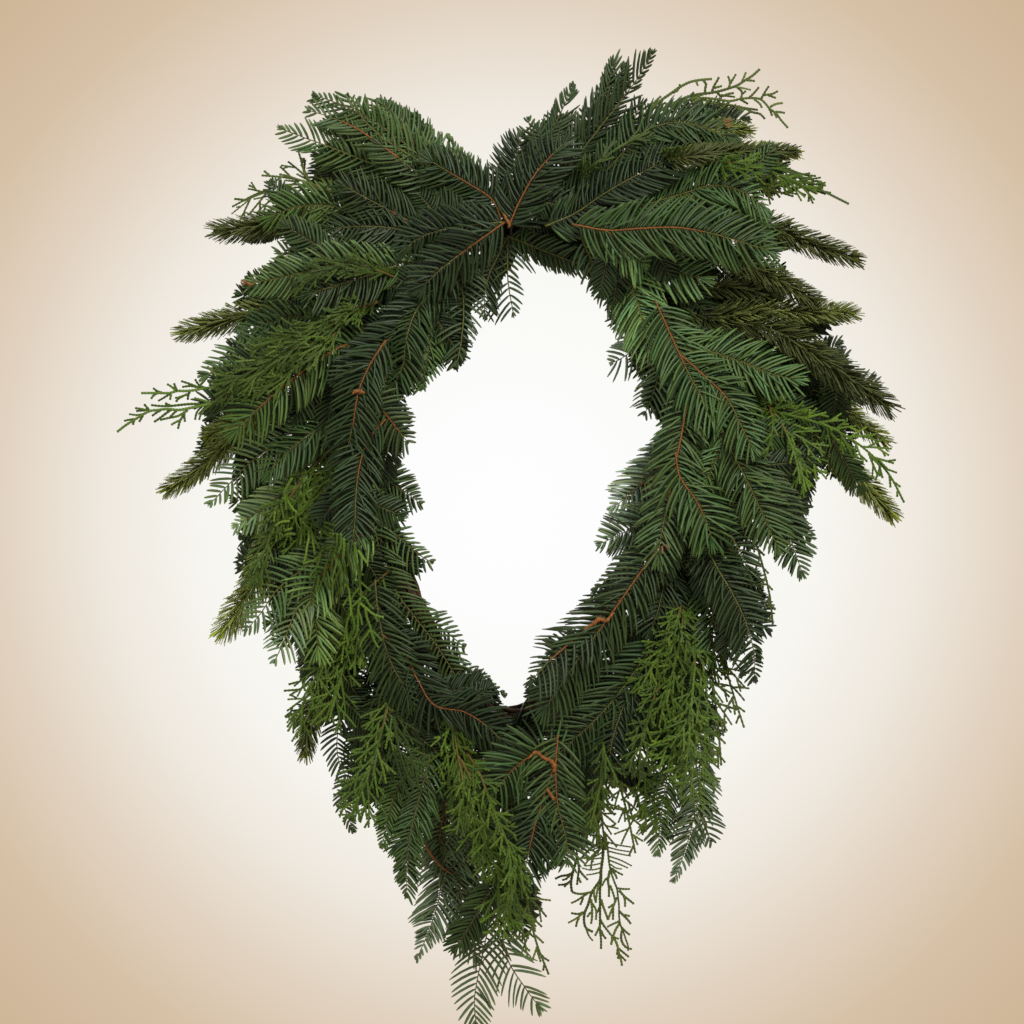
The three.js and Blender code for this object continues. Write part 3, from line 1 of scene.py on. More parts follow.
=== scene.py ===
import bpy
import math
import numpy as np
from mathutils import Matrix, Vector


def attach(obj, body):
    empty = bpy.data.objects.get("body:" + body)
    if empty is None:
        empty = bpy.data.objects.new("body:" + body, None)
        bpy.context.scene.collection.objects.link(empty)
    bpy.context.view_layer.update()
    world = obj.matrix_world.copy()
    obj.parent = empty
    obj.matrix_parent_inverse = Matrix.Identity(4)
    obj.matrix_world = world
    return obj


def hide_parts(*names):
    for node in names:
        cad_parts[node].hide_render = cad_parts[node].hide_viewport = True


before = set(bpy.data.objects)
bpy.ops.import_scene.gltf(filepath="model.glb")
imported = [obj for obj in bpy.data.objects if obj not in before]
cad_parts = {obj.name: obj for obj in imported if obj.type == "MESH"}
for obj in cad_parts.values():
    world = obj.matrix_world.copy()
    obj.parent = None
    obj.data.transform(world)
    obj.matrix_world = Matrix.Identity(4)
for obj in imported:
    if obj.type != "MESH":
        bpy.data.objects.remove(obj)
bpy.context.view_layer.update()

# ------------------------------------------------------------------ layout (millimetres)
# Each spray: name, kind, shoots. A shoot: tone, needle reach, half width, roll, openness, bare stem,
# stem line, and where the needles are shorter on one side, their reach at five places on each side.
# The stem lines repeat the CAD sprays' lines, so every piece grows where its solid is.
SPRAYS = [
    ("cedar_spray_01", "C", [
        ("y4", 21.6, 18.3, 0.25, 0.7, 0, [(-99.4, -30.6, -27), (-124, -25.3, -15.7), (-149, -20.4, -4.9), (-174, -16.4, 5.5), (-200.9, -13.1, 8.1), (-227.2, -10.5, 1.1), (-251.7, -8.4, -11.3)], ((1.2, 1.2, 1.2, 0.72, 0.42), (1.2, 1.2, 1.2, 1.2, 1.2))),
        ("y4", 15.3, 13, 0.15, 1, 0, [(-150.8, -20.4, -3.8), (-168.4, -17.1, 4.1), (-186.5, -14.5, 11.3), (-205.5, -12.4, 15), (-224.9, -10.9, 16.8)], ((1.2, 1.2, 1.2, 0.82, 0.35), (1.2, 1.2, 1.2, 1.2, 0.64))),
    ]),
    ("cedar_spray_02", "C", [
        ("g4", 23.4, 19.5, -0.17, 0.6, 0, [(-91.8, -45.2, -83.5), (-116.5, -49, -98.9), (-141.2, -54.2, -114.2), (-166, -61.5, -128.9), (-191, -70.6, -143), (-215.3, -83.2, -157.5), (-240.5, -85.5, -171.1), (-260.7, -89.5, -178.9)]),
        ("y4", 18, 14.9, -0.14, 0.9, 0, [(-215.3, -83.2, -157.5), (-239.8, -89.7, -169.3), (-260.1, -96.7, -177.6)]),
    ]),
    ("cedar_spray_03", "C", [
        ("g5", 25.2, 21.1, 0.02, 0, 0, [(-125.2, -55.7, -205), (-146.4, -58.8, -222.1), (-168, -58.8, -239), (-185.9, -58.8, -259.4), (-188.2, -58.5, -286.3), (-181.7, -56.1, -312.8), (-171.4, -54.4, -338.2)]),
        ("g5", 23.4, 19.6, 0.20, 0, 0, [(-146.4, -58.8, -222.1), (-135.8, -57.5, -249.7), (-144.8, -56.7, -278), (-155.5, -55, -305.9), (-154.5, -55.7, -335.7), (-147.3, -57.9, -364.7), (-138.4, -60.2, -393.2), (-128.5, -62.1, -421.3)]),
    ]),
    ("cedar_spray_04", "C", [
        ("g4", 21.6, 18.1, -0.15, 0.4, 0, [(-107.8, -46.3, -338.3), (-129.3, -46.3, -357), (-146, -46.2, -379.8), (-159.3, -48.1, -404.4), (-171.7, -51.5, -429.3), (-183.5, -54.6, -454.5), (-198.7, -57.2, -477.8)], ((1, 1, 1, 0.72, 0.35), (1, 1, 1, 1, 1))),
        ("g4", 18, 15.1, -0.02, 0.3, 0, [(-129.2, -46.3, -358.6), (-137.8, -47.2, -387.5), (-146.3, -50, -416.3), (-155.2, -53.7, -444.8), (-165.1, -57, -473)]),
    ]),
    ("cedar_spray_05", "C", [
        ("g1", 21.6, 18.1, 0.12, 0, 0, [(-97.3, -41.1, -400.9), (-102.4, -47.2, -427.1), (-105.8, -51.1, -453.6), (-103.1, -57.2, -480), (-96.5, -62.5, -505.8), (-87.6, -66.7, -530.8)]),
        ("g4", 21.6, 18.1, -0.18, 0.1, 0, [(-102.4, -47.2, -427.1), (-108.2, -53.1, -453.7), (-114.2, -61, -480), (-121.8, -68, -505.8), (-130.8, -73.4, -531.1), (-140.1, -77.7, -556.3)], ((1, 1, 1, 1, 0.92), (1, 1, 1, 1, 0.47))),
    ]),
    ("cedar_spray_06", "C", [
        ("g5", 23.4, 19.6, 0.30, 0, 0, [(-56, -50.3, -445), (-51.6, -56.7, -473.6), (-47.2, -58.7, -502.5), (-41, -61.3, -530.8), (-30, -65.6, -557.6), (-19.5, -67.6, -584.6), (-9.7, -67.6, -612.1)]),
        ("g1", 21.6, 18.1, -0.25, 0, 0, [(-51.6, -56.7, -473.6), (-40.4, -54.5, -498.6), (-28.1, -56.1, -522.8), (-16.3, -60.8, -547), (-5.4, -64.6, -571.5), (5.3, -68, -596.1)]),
    ]),
    ("cedar_spray_07", "C", [
        ("y4", 19.8, 16.6, -0.23, 0.9, 0, [(0.9, -36.9, -490.4), (6.2, -41.3, -520.1), (9.7, -43, -550.2), (11, -47.2, -580.1), (12.4, -51.3, -610), (15.8, -54.6, -639.7), (22.6, -57.3, -668.9), (33.5, -59.5, -696.9)], ((1.2, 1.2, 1.2, 1.2, 0.37), (1.2, 1.2, 1.2, 0.78, 0.35))),
        ("g5", 21.6, 18.1, -0.05, 0.1, 0, [(5.9, -41.3, -519), (0.1, -46.5, -546.7), (-6.1, -53.7, -574.1), (-10.8, -59.9, -601.7), (-9.7, -64.8, -629.5), (-0.9, -68.6, -656.2)]),
    ]),
    ("cedar_spray_08", "C", [
        ("g2", 23.4, 19.6, -0.33, 0, 0, [(154.7, -34.9, -329.6), (153.2, -44.9, -358), (149.6, -49.2, -386.1), (139.8, -56, -412.7), (128.3, -62.2, -438.5), (117.8, -67.1, -464.7), (114, -71.1, -492.5)]),
        ("g5", 23.4, 19.6, -0.38, 0, 0, [(153.2, -44.3, -358), (153.8, -49.7, -384.2), (154.4, -57.3, -410.2), (153.8, -64.2, -436.1), (150.4, -69.9, -461.8), (144.5, -74.4, -487.1), (138.4, -78, -512.2)]),
        ("g4", 23.4, 19.5, -0.00, 0.3, 0, [(153.2, -44.9, -358), (160.4, -51.3, -383.8), (166.4, -60.3, -409.6), (167.6, -68.9, -436), (165.1, -76.1, -462.3), (162.4, -82.1, -488.6), (159.8, -86.9, -514.9), (157.1, -90.9, -541.1)]),
        ("y4", 19.8, 16.6, -0.29, 0.8, 0, [(154.7, -34.9, -329.6), (167.8, -42.4, -352.5), (179.8, -47.4, -376.2), (186.7, -53.8, -401.5), (191.2, -59.5, -427.3), (198.3, -64, -452.5), (206.2, -67.6, -477.5)], ((1.2, 1.2, 1.2, 1.2, 0.41), (1.2, 1.2, 1.2, 0.69, 0.35))),
        ("y4", 18, 15.1, -0.20, 0.7, 0, [(167.9, -42.4, -353.9), (171.4, -46.8, -380.2), (174.8, -52.7, -406.4), (178.2, -58.2, -432.5), (181.4, -62.7, -458.5), (184, -66.2, -484.7), (185.9, -69.1, -510.9)], ((1.2, 1.2, 1.2, 1.2, 1.2), (1.2, 1.2, 1.2, 0.65, 0.4))),
    ]),
    ("cedar_spray_09", "C", [
        ("y4", 18, 18.2, -0.25, 1, 0, [(70.8, -29.4, -446.1), (72.2, -29.9, -475.1), (73.7, -31.7, -504), (75.1, -30.6, -533.1), (76.3, -30.6, -562.1), (77, -30.8, -586.3)]),
        ("y4", 16.2, 14.8, 0.19, 1, 0, [(74.4, -31.7, -503), (77.5, -34, -529.7), (80.5, -37.8, -556.3), (83.8, -40, -582.9), (84.6, -40.5, -588.6)]),
        ("y4", 14.4, 13.1, -0.35, 1, 0, [(80.9, -37.8, -556.2), (77, -38.5, -556.7), (77.8, -39.7, -585)]),
        ("g5", 19.8, 16.8, 0.11, 0.5, 0, [(72.6, -29.9, -474.6), (89.1, -29, -472.9), (106.8, -28.3, -493.9), (118.6, -27.7, -518.6), (120.6, -27.3, -546), (121, -26.9, -573.6)]),
        ("y5", 14.4, 12.2, -0.17, 0.7, 0, [(72.6, -29.9, -474.6), (85.3, -28.1, -503.2), (97.3, -26.7, -532.3), (105.4, -25.6, -562.3), (111.6, -24.8, -592.9)], ((1, 1, 1, 1, 0.93), (1, 1, 1, 1, 0.62))),
    ]),
    ("cedar_spray_10", "C", [
        ("g5", 21.6, 18.1, -0.04, 0.2, 0, [(168.4, -44.8, -137.8), (189.6, -47.5, -155.9), (210, -52.9, -174.6), (229.8, -60.1, -193.7), (245.9, -66.5, -215.9), (254.4, -71.5, -242.1), (260.2, -75.6, -269)], ((1, 1, 1, 1, 1), (1, 1, 1, 1, 0.51))),
        ("y4", 16.2, 13.6, -0.19, 0, 0, [(189.6, -47.5, -155.9), (201, -52.5, -179.6), (210, -59, -204.2), (215.5, -64.4, -229.8), (222.8, -68.6, -254.8)]),
        ("g5", 16.2, 13.5, 0.21, 0.3, 0, [(168.4, -44.8, -137.8), (161.3, -47, -163.9), (184.7, -53.6, -179.8), (210.7, -57.7, -191.3), (237.7, -63.8, -198.8), (264.7, -69.7, -205.8), (290.4, -74.7, -216.7), (313.6, -79, -232.7), (332.5, -82.5, -253.4), (345.7, -85.5, -278.4)], ((1, 1, 1, 1, 0.35), (1, 1, 1, 1, 0.35))),
        ("y3", 8.1, 6.7, -0.17, 0.7, 0, [(184.5, -53.6, -178.9), (190.3, -58.3, -204.9), (196.2, -64.9, -231), (201.9, -71.3, -256.8), (207.9, -76.9, -282.6), (214, -81.7, -308.2), (221.1, -85.8, -333.5), (226.9, -89, -359), (229.7, -91.8, -385.2)], ((1.18, 1.18, 1.18, 1.18, 1.18), (1.18, 1.18, 1.18, 0.4, 0.35))),
    ]),
    ("cedar_spray_11", "C", [
        ("y4", 18, 15.2, -0.13, 0.9, 0, [(30.5, -29.8, -11.7), (52.9, -28.8, 7.2), (75.6, -27.8, 25.7), (98.8, -27, 43.6), (122.1, -26.3, 61.3), (141.1, -25.8, 74.3)]),
        ("y4", 18, 15.2, 0.17, 0.9, 0, [(75.6, -27.8, 25.7), (100.5, -27, 39.8), (125.3, -26.3, 54.3), (150.3, -25.6, 68.3), (158.8, -25.4, 72.3)]),
    ]),
    ("cedar_spray_12", "C", [
        ("g3", 14.4, 12.1, -0.14, 0.8, 0, [(43.5, -53.8, -22.8), (65.8, -54.8, -7), (89.9, -54.8, 5.6), (114.9, -54.8, 16.2), (140.6, -54.8, 24.8), (167.3, -51, 30.5), (194.4, -50.3, 30.6), (220.8, -51.9, 26), (244.9, -53.7, 17.7)]),
        ("y5", 16.2, 13.6, 0.17, 0.3, 0, [(91.3, -54.8, 4.8), (118.1, -54, 6.2), (145.3, -47.5, 8.4), (172.4, -44.6, 9.5), (199.3, -44.9, 8.2), (225.8, -45.9, 2.2), (251.7, -46.8, -5.6)], ((1, 1, 1, 1, 0.39), (1, 1, 1, 1, 1))),
    ]),
    ("fir_spray_01", "F", [
        ("w3", 24.3, 19.3, 0.30, 0, 0, [(-25.8, -43.3, -19.2), (-52.4, -43.7, -5.9), (-77, -44.4, 10.4), (-100.2, -44.4, 28.8), (-123.9, -44.3, 46.7)]),
        ("c6", 21.6, 17.1, 0.19, 1, 1, [(-52.4, -43.7, -5.9), (-59, -41.9, 9.9), (-65.8, -40.7, 25.7), (-73.3, -38.4, 41.3), (-81.5, -28.8, 57.4)], ((1.2, 1.2, 1.2, 0.67, 0.63), (1.2, 1.2, 1.2, 1.2, 1.2))),
        ("c5", 22.5, 17.9, 0.28, 0.3, 1, [(-52.4, -43.7, -5.9), (-52.9, -41.4, 5.3), (-70.1, -40.2, 24.9), (-87.4, -39.6, 44.4), (-104, -36.5, 64.7), (-120.2, -32.4, 85.6)], ((1.2, 1.2, 1.2, 0.73, 0.49), (1.2, 1.2, 1.2, 1.2, 0.93))),
        ("c4", 18, 14.3, -0.12, 1, 1, [(-25.9, -43.2, -19.1), (-20.9, -33.2, -9.4), (-39.7, -26.4, 10.4), (-58.7, -22.6, 29.9), (-74.9, -20.9, 51.4), (-88.3, -19.8, 74.6)], ((1.2, 1.2, 1.2, 0.55, 0.5), (1.2, 1.2, 1.2, 1.2, 1.2))),
        ("c5", 20.7, 16.4, -0.25, 0.7, 0, [(-25.8, -43.3, -19.2), (-45.8, -44, -1.2), (-65.8, -44, 17), (-86, -43.9, 34.8), (-107.2, -43.8, 51.3), (-129.8, -43.4, 66), (-154.1, -42.9, 77.6), (-180.4, -30.9, 87.8)], ((1, 1, 1, 0.7, 0.35), (1, 1, 1, 1, 1))),
        ("c5", 19.8, 15.7, -0.05, 1, 0, [(-64.9, -44, 16.2), (-88.9, -43.7, 30.8), (-112.6, -43.6, 45.8), (-132.9, -42.4, 64.9), (-149, -25.9, 90.2)], ((1.2, 1.2, 1.2, 0.91, 0.37), (1.2, 1.2, 1.2, 1.2, 1.14))),
        ("c6", 16.2, 12.9, 0.06, 1, 1, [(-20.3, -33.2, -9.6), (-30.8, -27.4, 5.8), (-41, -24.4, 21), (-49.6, -23.3, 36.9), (-57.5, -22.8, 53.2)], ((1.2, 1.2, 0.89, 0.39, 0.44), (1.2, 1.2, 1.2, 1.2, 1.11))),
        ("b5", 18, 14.3, 0.24, 0.8, 1, [(-100.2, -44.4, 28.8), (-120.4, -43.6, 43.6), (-141.2, -42.9, 57.3), (-164.4, -41.3, 66.6), (-188.4, -39.7, 74)], ((1, 1, 1, 1, 0.4), (1, 1, 1, 1, 0.4))),
    ]),
    ("fir_spray_02", "F", [
        ("n2", 26.1, 20.6, 0.09, 0, 1, [(-7.1, -56.2, -32.7), (-16, -56.2, -10.4), (-36.7, -55.6, 4.2), (-58.5, -55.9, 17.2), (-80, -57.5, 30.5)]),
    ]),
    ("fir_spray_03", "F", [
        ("a3", 24.3, 19.2, -0.04, 0, 0, [(-0.9, -47.6, -32), (0.3, -47.6, -9), (1.9, -47.6, 14), (6.3, -45.1, 37.1), (12.6, -44.4, 59.8)], ((1, 1, 1, 1, 0.64), (1, 1, 1, 0.79, 0.35))),
        ("a6", 15.3, 12.1, -0.34, 1, 1, [(-0.9, -47.6, -32), (6.8, -45.2, -6.8), (15.7, -43.2, 18), (18.6, -43.2, 44), (14.5, -45, 69.8)], ((1.2, 1.2, 1.2, 1.2, 0.41), (1.2, 1.2, 1.2, 1.2, 0.41))),
        ("a4", 15.3, 12.1, 0.21, 0.5, 0, [(7.2, -45.2, -6.8), (20.2, -43.9, 19.5), (33, -44.9, 45.6), (45.6, -47.4, 71.7), (57.5, -49.7, 98)], ((1.2, 1.2, 1.2, 1.2, 0.35), (1.2, 1.2, 1.17, 0.88, 0.52))),
        ("a4", 22.5, 17.8, -0.13, 0.5, 0, [(-0.9, -47.6, -32), (21.5, -46.2, -19.8), (36.6, -46.7, 1.6), (49.9, -48.3, 24), (62.6, -52.1, 46.5), (75.4, -55.7, 68.8), (86.1, -58.6, 92.3), (91.2, -61, 117.6)], ((1, 1, 1, 1, 1), (1, 1, 1, 0.81, 0.65))),
        ("b2", 21.6, 17, 0.19, 0.6, 0, [(37.4, -46.7, 1.3), (43.7, -51.7, 10.3), (61.7, -58.6, 32.5), (79.6, -65, 54.8), (97.3, -70.2, 77.2), (114.4, -74.2, 100.2), (128.8, -77.6, 124.9)], ((1.2, 1.2, 1.2, 0.35, 0.42), (1.2, 1.2, 1.2, 1.2, 0.55))),
        ("c1", 23.4, 18.5, -0.21, 0.3, 0, [(21.9, -46.2, -19.9), (44, -45, -2.6), (66, -45.4, 14.8), (86.8, -47, 33.5), (105.2, -48.9, 54.3), (117, -50.6, 79.6)]),
    ]),
    ("fir_spray_04", "F", [
        ("n1", 27.9, 21.9, -0.29, 0, 1, [(-2.6, -80.5, -36.6), (7.5, -80.5, -13.7), (19.6, -79.7, 8.2), (35.7, -76.1, 27.6), (54, -67.8, 45.9)]),
    ]),
    ("fir_spray_05", "F", [
        ("c6", 22.5, 17.9, -0.24, 0.8, 0, [(-63.4, -38.9, -21.4), (-84.2, -34.5, -0.9), (-107.1, -34.1, 16.4), (-133.2, -33.3, 28.4), (-159.8, -33.2, 39.1), (-186.6, -33.6, 48.9), (-213.3, -34, 59.2)], ((1, 1, 1, 1, 0.35), (1, 1, 1, 1, 0.61))),
        ("c4", 19.8, 15.8, -0.21, 0, 0, [(-83.8, -34.5, -1.9), (-106.2, -31.7, 10.3), (-129, -30.3, 21.7), (-153.4, -27, 29.1), (-178.5, -24.7, 33.7)]),
        ("w5", 25.2, 20, 0.13, 0, 0, [(-63.4, -38.9, -21.4), (-89.4, -45.1, -27.9), (-116.2, -45.7, -22.5), (-142.9, -46.5, -16.6), (-170.1, -46.7, -13.4), (-197, -46.7, -16.7), (-221.8, -46, -28.3)]),
        ("c8", 23.4, 18.5, -0.14, 0.2, 0, [(-89.4, -45.1, -27.9), (-107.8, -45.2, -44.3), (-134.8, -45.2, -46.1), (-161.7, -44.4, -50.3), (-188.3, -42.2, -56.7), (-215.1, -40, -53.5)], ((1, 1, 1, 1, 0.63), (1, 1, 1, 1, 0.35))),
    ]),
    ("fir_spray_06", "F", [
        ("w1", 26.1, 20.6, 0.42, 0, 0, [(-63, -57.7, -41.7), (-89, -58.7, -37.5), (-115, -60.3, -33.8), (-141.3, -60.3, -33.7), (-167.5, -60.3, -36.6)]),
        ("w1", 24.3, 19.2, 0.05, 0, 1, [(-63, -57.7, -41.7), (-87, -55.7, -30.3), (-110.3, -54.8, -17.6), (-133.7, -54.6, -5), (-157.3, -53.6, 7.5)]),
        ("c6", 23.4, 18.4, -0.15, 0.1, 0, [(-89, -58.7, -37.5), (-79.8, -59, -62.7), (-104.1, -65, -69.6), (-130.9, -68.9, -68.3), (-157.5, -74.7, -69.1), (-183.2, -80, -76), (-209.2, -84.2, -81.9), (-235.4, -87.8, -86.4)], ((1, 1, 1, 1, 0.63), (1, 1, 1, 1, 1))),
        ("w2", 29.7, 23.3, 0.40, 0, 0, [(-104.1, -65, -69.6), (-124.4, -69.8, -76.9), (-144.6, -76, -84.1), (-165, -81.2, -90.6), (-185.5, -85.2, -96.8)]),
    ]),
    ("fir_spray_07", "F", [
        ("c6", 25.2, 20, -0.11, 0.6, 0, [(-106.3, -37.4, -108), (-136.2, -40.8, -115.9), (-166.7, -37.1, -122.4), (-197.3, -34.6, -128.9), (-225.8, -33.9, -140.8), (-253.3, -34.4, -154.7), (-281.3, -35, -167.8)], ((1, 1, 1, 1, 0.62), (1, 1, 1, 1, 1))),
        ("n7", 19.8, 15.7, 0.30, 0.1, 0, [(-135.2, -40.8, -116.3), (-142.1, -40.8, -113), (-168.3, -40.8, -113.5), (-194.8, -36.8, -112.2), (-220.5, -34, -117.8), (-244.3, -32.7, -129.2)]),
    ]),
    ("fir_spray_08", "F", [
        ("w5", 29.7, 23.2, 0.03, 0, 1, [(-123, -65.3, -134.4), (-148.3, -75, -140.1), (-170.3, -85.7, -154), (-191.1, -91.9, -169.7), (-211.1, -94.2, -186.5), (-230, -94.2, -204.5), (-248, -94.1, -223.5)]),
        ("n4", 25.2, 19.8, 0.34, 0, 0, [(-148.3, -75, -140.1), (-135.5, -68.3, -165.4), (-128.5, -66.1, -192.4), (-153.8, -68.2, -204.5), (-178.6, -72.3, -218.5), (-200.2, -76.5, -237.1), (-219.2, -80.2, -258.5)]),
    ]),
    ("fir_spray_09", "F", [
        ("c8", 22.5, 17.9, 0.02, 0.6, 0, [(-133.2, -35.8, -197.3), (-159.6, -48.8, -205.1), (-186.3, -38.9, -214.8), (-212, -32.7, -227.3), (-235.2, -28.8, -243.6), (-255.1, -26.2, -263.9), (-274.8, -24.2, -284.3)], ((1, 1, 1, 1, 0.57), (1, 1, 1, 1, 0.35))),
        ("c9", 21.6, 17.1, 0.12, 0.2, 0, [(-158.6, -48.8, -204.1), (-165.7, -51, -230.9), (-184.2, -51, -252.2), (-204.8, -48.7, -271.7), (-227.6, -45.4, -288.7), (-252.6, -40.4, -302.7)], ((1, 1, 1, 1, 0.35), (1, 1, 1, 1, 0.72))),
    ]),
    ("fir_spray_10", "F", [
        ("n1", 28.8, 22.5, -0.15, 0, 1, [(-5.2, -89.7, -32.1), (-25.8, -89.7, -46.7), (-46.3, -81.3, -60.9), (-66, -77.7, -76.5), (-83.7, -77.2, -94.5)]),
        ("n1", 23.4, 18.3, -0.23, 0, 0, [(-5.2, -89.7, -32.1), (-30.3, -89.6, -34.2), (-55.4, -77.5, -36.6), (-79.4, -72.2, -43.9), (-99.8, -71.4, -58.8)]),
    ]),
    ("fir_spray_11", "F", [
        ("n1", 26.1, 20.5, -0.33, 0, 0, [(-49.6, -62.4, -65.2), (-65.2, -65.9, -85.7), (-81.5, -69, -105.6), (-98.6, -74.5, -124.9), (-116.6, -81.9, -143.1), (-136, -90.3, -159.5), (-155.3, -90.3, -176.1)]),
        ("n3", 25.2, 19.8, 0.31, 0, 0, [(-65.2, -65.9, -85.7), (-82.5, -70, -106.6), (-91.7, -79.7, -131.9), (-95.5, -79.7, -158.3), (-107.1, -79.7, -182.4)]),
    ]),
    ("fir_spray_12", "F", [
        ("n2", 27, 21, 0.17, 0, 1, [(-109.3, -100.1, -136.2), (-123.5, -100.3, -158.1), (-133.4, -100.3, -182.1), (-137.9, -97.7, -207.8), (-143.8, -89, -233.1), (-150.4, -83.7, -258.5)]),
        ("b5", 24.3, 19, 0.14, 0.4, 1, [(-133.4, -100.3, -182.1), (-118.6, -92.2, -192), (-106.7, -85.2, -204.9), (-96.1, -80.2, -218.9), (-84.4, -76.9, -232.4)], ((1, 1, 1, 1, 0.35), (1, 1, 0.83, 0.53, 0.35))),
        ("n2", 25.2, 19.6, -0.15, 0, 1, [(-110, -85.2, -204.7), (-125.8, -88.4, -223.9), (-132.9, -95.6, -247.7), (-135.5, -104.5, -272.4), (-136.2, -112.3, -297.1), (-139.9, -118.4, -321.4)]),
    ]),
    ("fir_spray_13", "F", [
        ("w8", 29.7, 23.4, 0.41, 0, 1, [(-120.3, -67.3, -293.7), (-141, -69.2, -314.2), (-161.5, -69.2, -335.2), (-176.6, -69.2, -359.5), (-172.5, -63.1, -388.5), (-170.2, -60.3, -417.9)]),
        ("c6", 24.3, 19.1, 0.16, 0.6, 0, [(-120.3, -67.3, -293.7), (-143, -65.4, -304.9), (-163.4, -64.4, -323.2), (-186, -63.7, -338.6), (-207.5, -62.1, -355.8), (-223.3, -62.5, -378.4), (-241.8, -64.6, -398.6)], ((1, 1, 1, 1, 0.42), (1, 1, 1, 1, 0.35))),
        ("b8", 21.6, 17, 0.42, 0.8, 0, [(-141, -69.2, -314.2), (-158.5, -66, -334.8), (-176.1, -63.9, -355.3), (-191.9, -61.5, -377), (-201.6, -61.9, -401.9), (-213, -64.4, -425.9)], ((1.2, 1.2, 1.2, 1.13, 0.35), (1.2, 1.2, 1.2, 1.2, 0.38))),
    ]),
    ("fir_spray_14", "F", [
        ("w2", 27, 21.2, 0.01, 0, 0, [(-120.3, -67.5, -346.8), (-117.9, -68.2, -371.2), (-113.5, -68.2, -395.4), (-106.4, -67.7, -418.9), (-95.2, -64.4, -440.9), (-86, -60.3, -464)]),
        ("n1", 27, 21.2, 0.17, 0, 1, [(-113.5, -68.2, -395.4), (-94.1, -64.8, -411.5), (-82.3, -65, -435.5), (-67.5, -67.2, -457.5), (-41.6, -70.2, -463.2), (-19.2, -73.4, -477.3), (-0.9, -76.2, -496.5)]),
    ]),
    ("fir_spray_15", "F", [
        ("a4", 13.5, 10.8, -0.14, 0.6, 0, [(-94.9, -31.6, -383.3), (-114.2, -31.6, -404.1), (-130.6, -26.3, -427.7), (-144.7, -22.7, -452.9), (-155, -20.6, -480), (-155.1, -19.1, -508.7), (-141.5, -17.9, -535.2)], ((1.19, 1.19, 1.19, 1.12, 1.19), (1.19, 1.19, 1.19, 1.19, 1.19))),
        ("b5", 11.7, 9.3, 0.23, 0.6, 0, [(-115.3, -31.6, -404.3), (-123, -25.7, -432.8), (-130.9, -21.5, -461.2), (-138.3, -18.7, -489.6), (-145.4, -16.8, -518.2), (-150.9, -15.2, -547), (-141.7, -13.9, -574.7)]),
    ]),
    ("fir_spray_16", "F", [
        ("c5", 21.6, 17.2, 0.02, 0.5, 0, [(-127.8, -35.5, -275.9), (-121.3, -35.6, -304.7), (-114, -37, -333.2), (-101.4, -39.4, -359.5), (-84, -39.4, -382.9), (-66.3, -39.1, -405.9), (-51.1, -36.4, -430.9), (-36.5, -34.5, -456.3)]),
        ("c7", 18, 14.3, 0.26, 0.8, 0, [(-127.8, -35.4, -275.9), (-118.2, -35.6, -295.6), (-100.2, -35.6, -309.5), (-83, -35.5, -324.3), (-63.5, -33.9, -335.8)], ((1.2, 1.2, 1.2, 1.2, 0.35), (1.2, 1.2, 0.65, 0.55, 0.35))),
        ("b6", 18, 14.3, 0.30, 0.3, 0, [(-127.8, -35.5, -275.9), (-130, -35.9, -256.4), (-110.8, -35.9, -258.9), (-92.2, -35.9, -270.3), (-75.4, -32.5, -283.9)], ((1.2, 1.2, 1.2, 1.05, 0.35), (1.2, 1.2, 1.15, 0.6, 0.35))),
        ("c5", 16.2, 12.9, -0.15, 1, 0, [(-83.1, -39.4, -376.9), (-71, -36.7, -384.4), (-59.4, -35.2, -392.6), (-48.4, -35, -401.7), (-37.5, -32.2, -410.8)], ((1.2, 1.2, 0.61, 1.2, 0.35), (1.11, 0.94, 0.66, 0.39, 0.35))),
        ("a6", 14.4, 11.4, 0.15, 1, 0, [(-49.1, -35, -402.5), (-54.5, -35, -416.5), (-37.6, -35, -428.9), (-20.3, -34.8, -440.8), (-2.7, -34.8, -452.1)], ((1.18, 1.18, 1.18, 1.18, 1.18), (0.87, 0.55, 0.68, 0.37, 0.43))),
    ]),
    ("fir_spray_17", "F", [
        ("n5", 27, 21.4, 0.16, 0.1, 0, [(-63.4, -40.1, -436.6), (-66.2, -40.3, -464.1), (-69.6, -42.7, -491.3), (-75.5, -46.8, -517.9), (-83.7, -48.5, -544.1), (-94.6, -51.1, -569.2), (-107.1, -53.5, -593.5)], ((1, 1, 1, 1, 0.65), (1, 1, 1, 1, 1))),
        ("c4", 25.2, 20, -0.00, 0, 0, [(-66, -40.3, -464.2), (-61.2, -40, -486.3), (-56, -41.2, -508.3), (-47.7, -43, -529.2), (-36.5, -44.7, -548.7)]),
        ("c4", 16.2, 12.8, -0.22, 0, 0, [(-74.8, -46.8, -518.2), (-76.8, -49.5, -523.9), (-84, -53.2, -550.2), (-90, -56.5, -576.7), (-92.5, -59, -603.7), (-92.1, -61, -631)], ((1, 1, 1, 0.89, 0.35), (1, 1, 1, 1, 1))),
        ("w5", 13.5, 10.7, 0.01, 0, 0, [(-69.1, -42.7, -491.5), (-86.9, -46.2, -512.7), (-102.1, -50.7, -535.4), (-110, -54.4, -561.4), (-116, -57.3, -588)], ((1, 1, 1, 0.92, 0.39), (1, 1, 1, 1, 0.92))),
    ]),
    ("fir_spray_18", "F", [
        ("a7", 21.6, 17.3, 0.22, 0.2, 0, [(-47.5, -29.1, -468.5), (-51.1, -23.1, -497.5), (-54.6, -17.5, -526.5), (-57.9, -12.9, -555.7), (-60, -9.9, -584.7), (-62.2, -8.5, -613.8), (-66.8, -7.8, -642.4), (-76.4, -6.2, -670), (-88.3, -3.5, -697.1)], ((1.2, 1.2, 1.2, 1.2, 0.35), (1.2, 1.2, 1.2, 1.2, 0.35))),
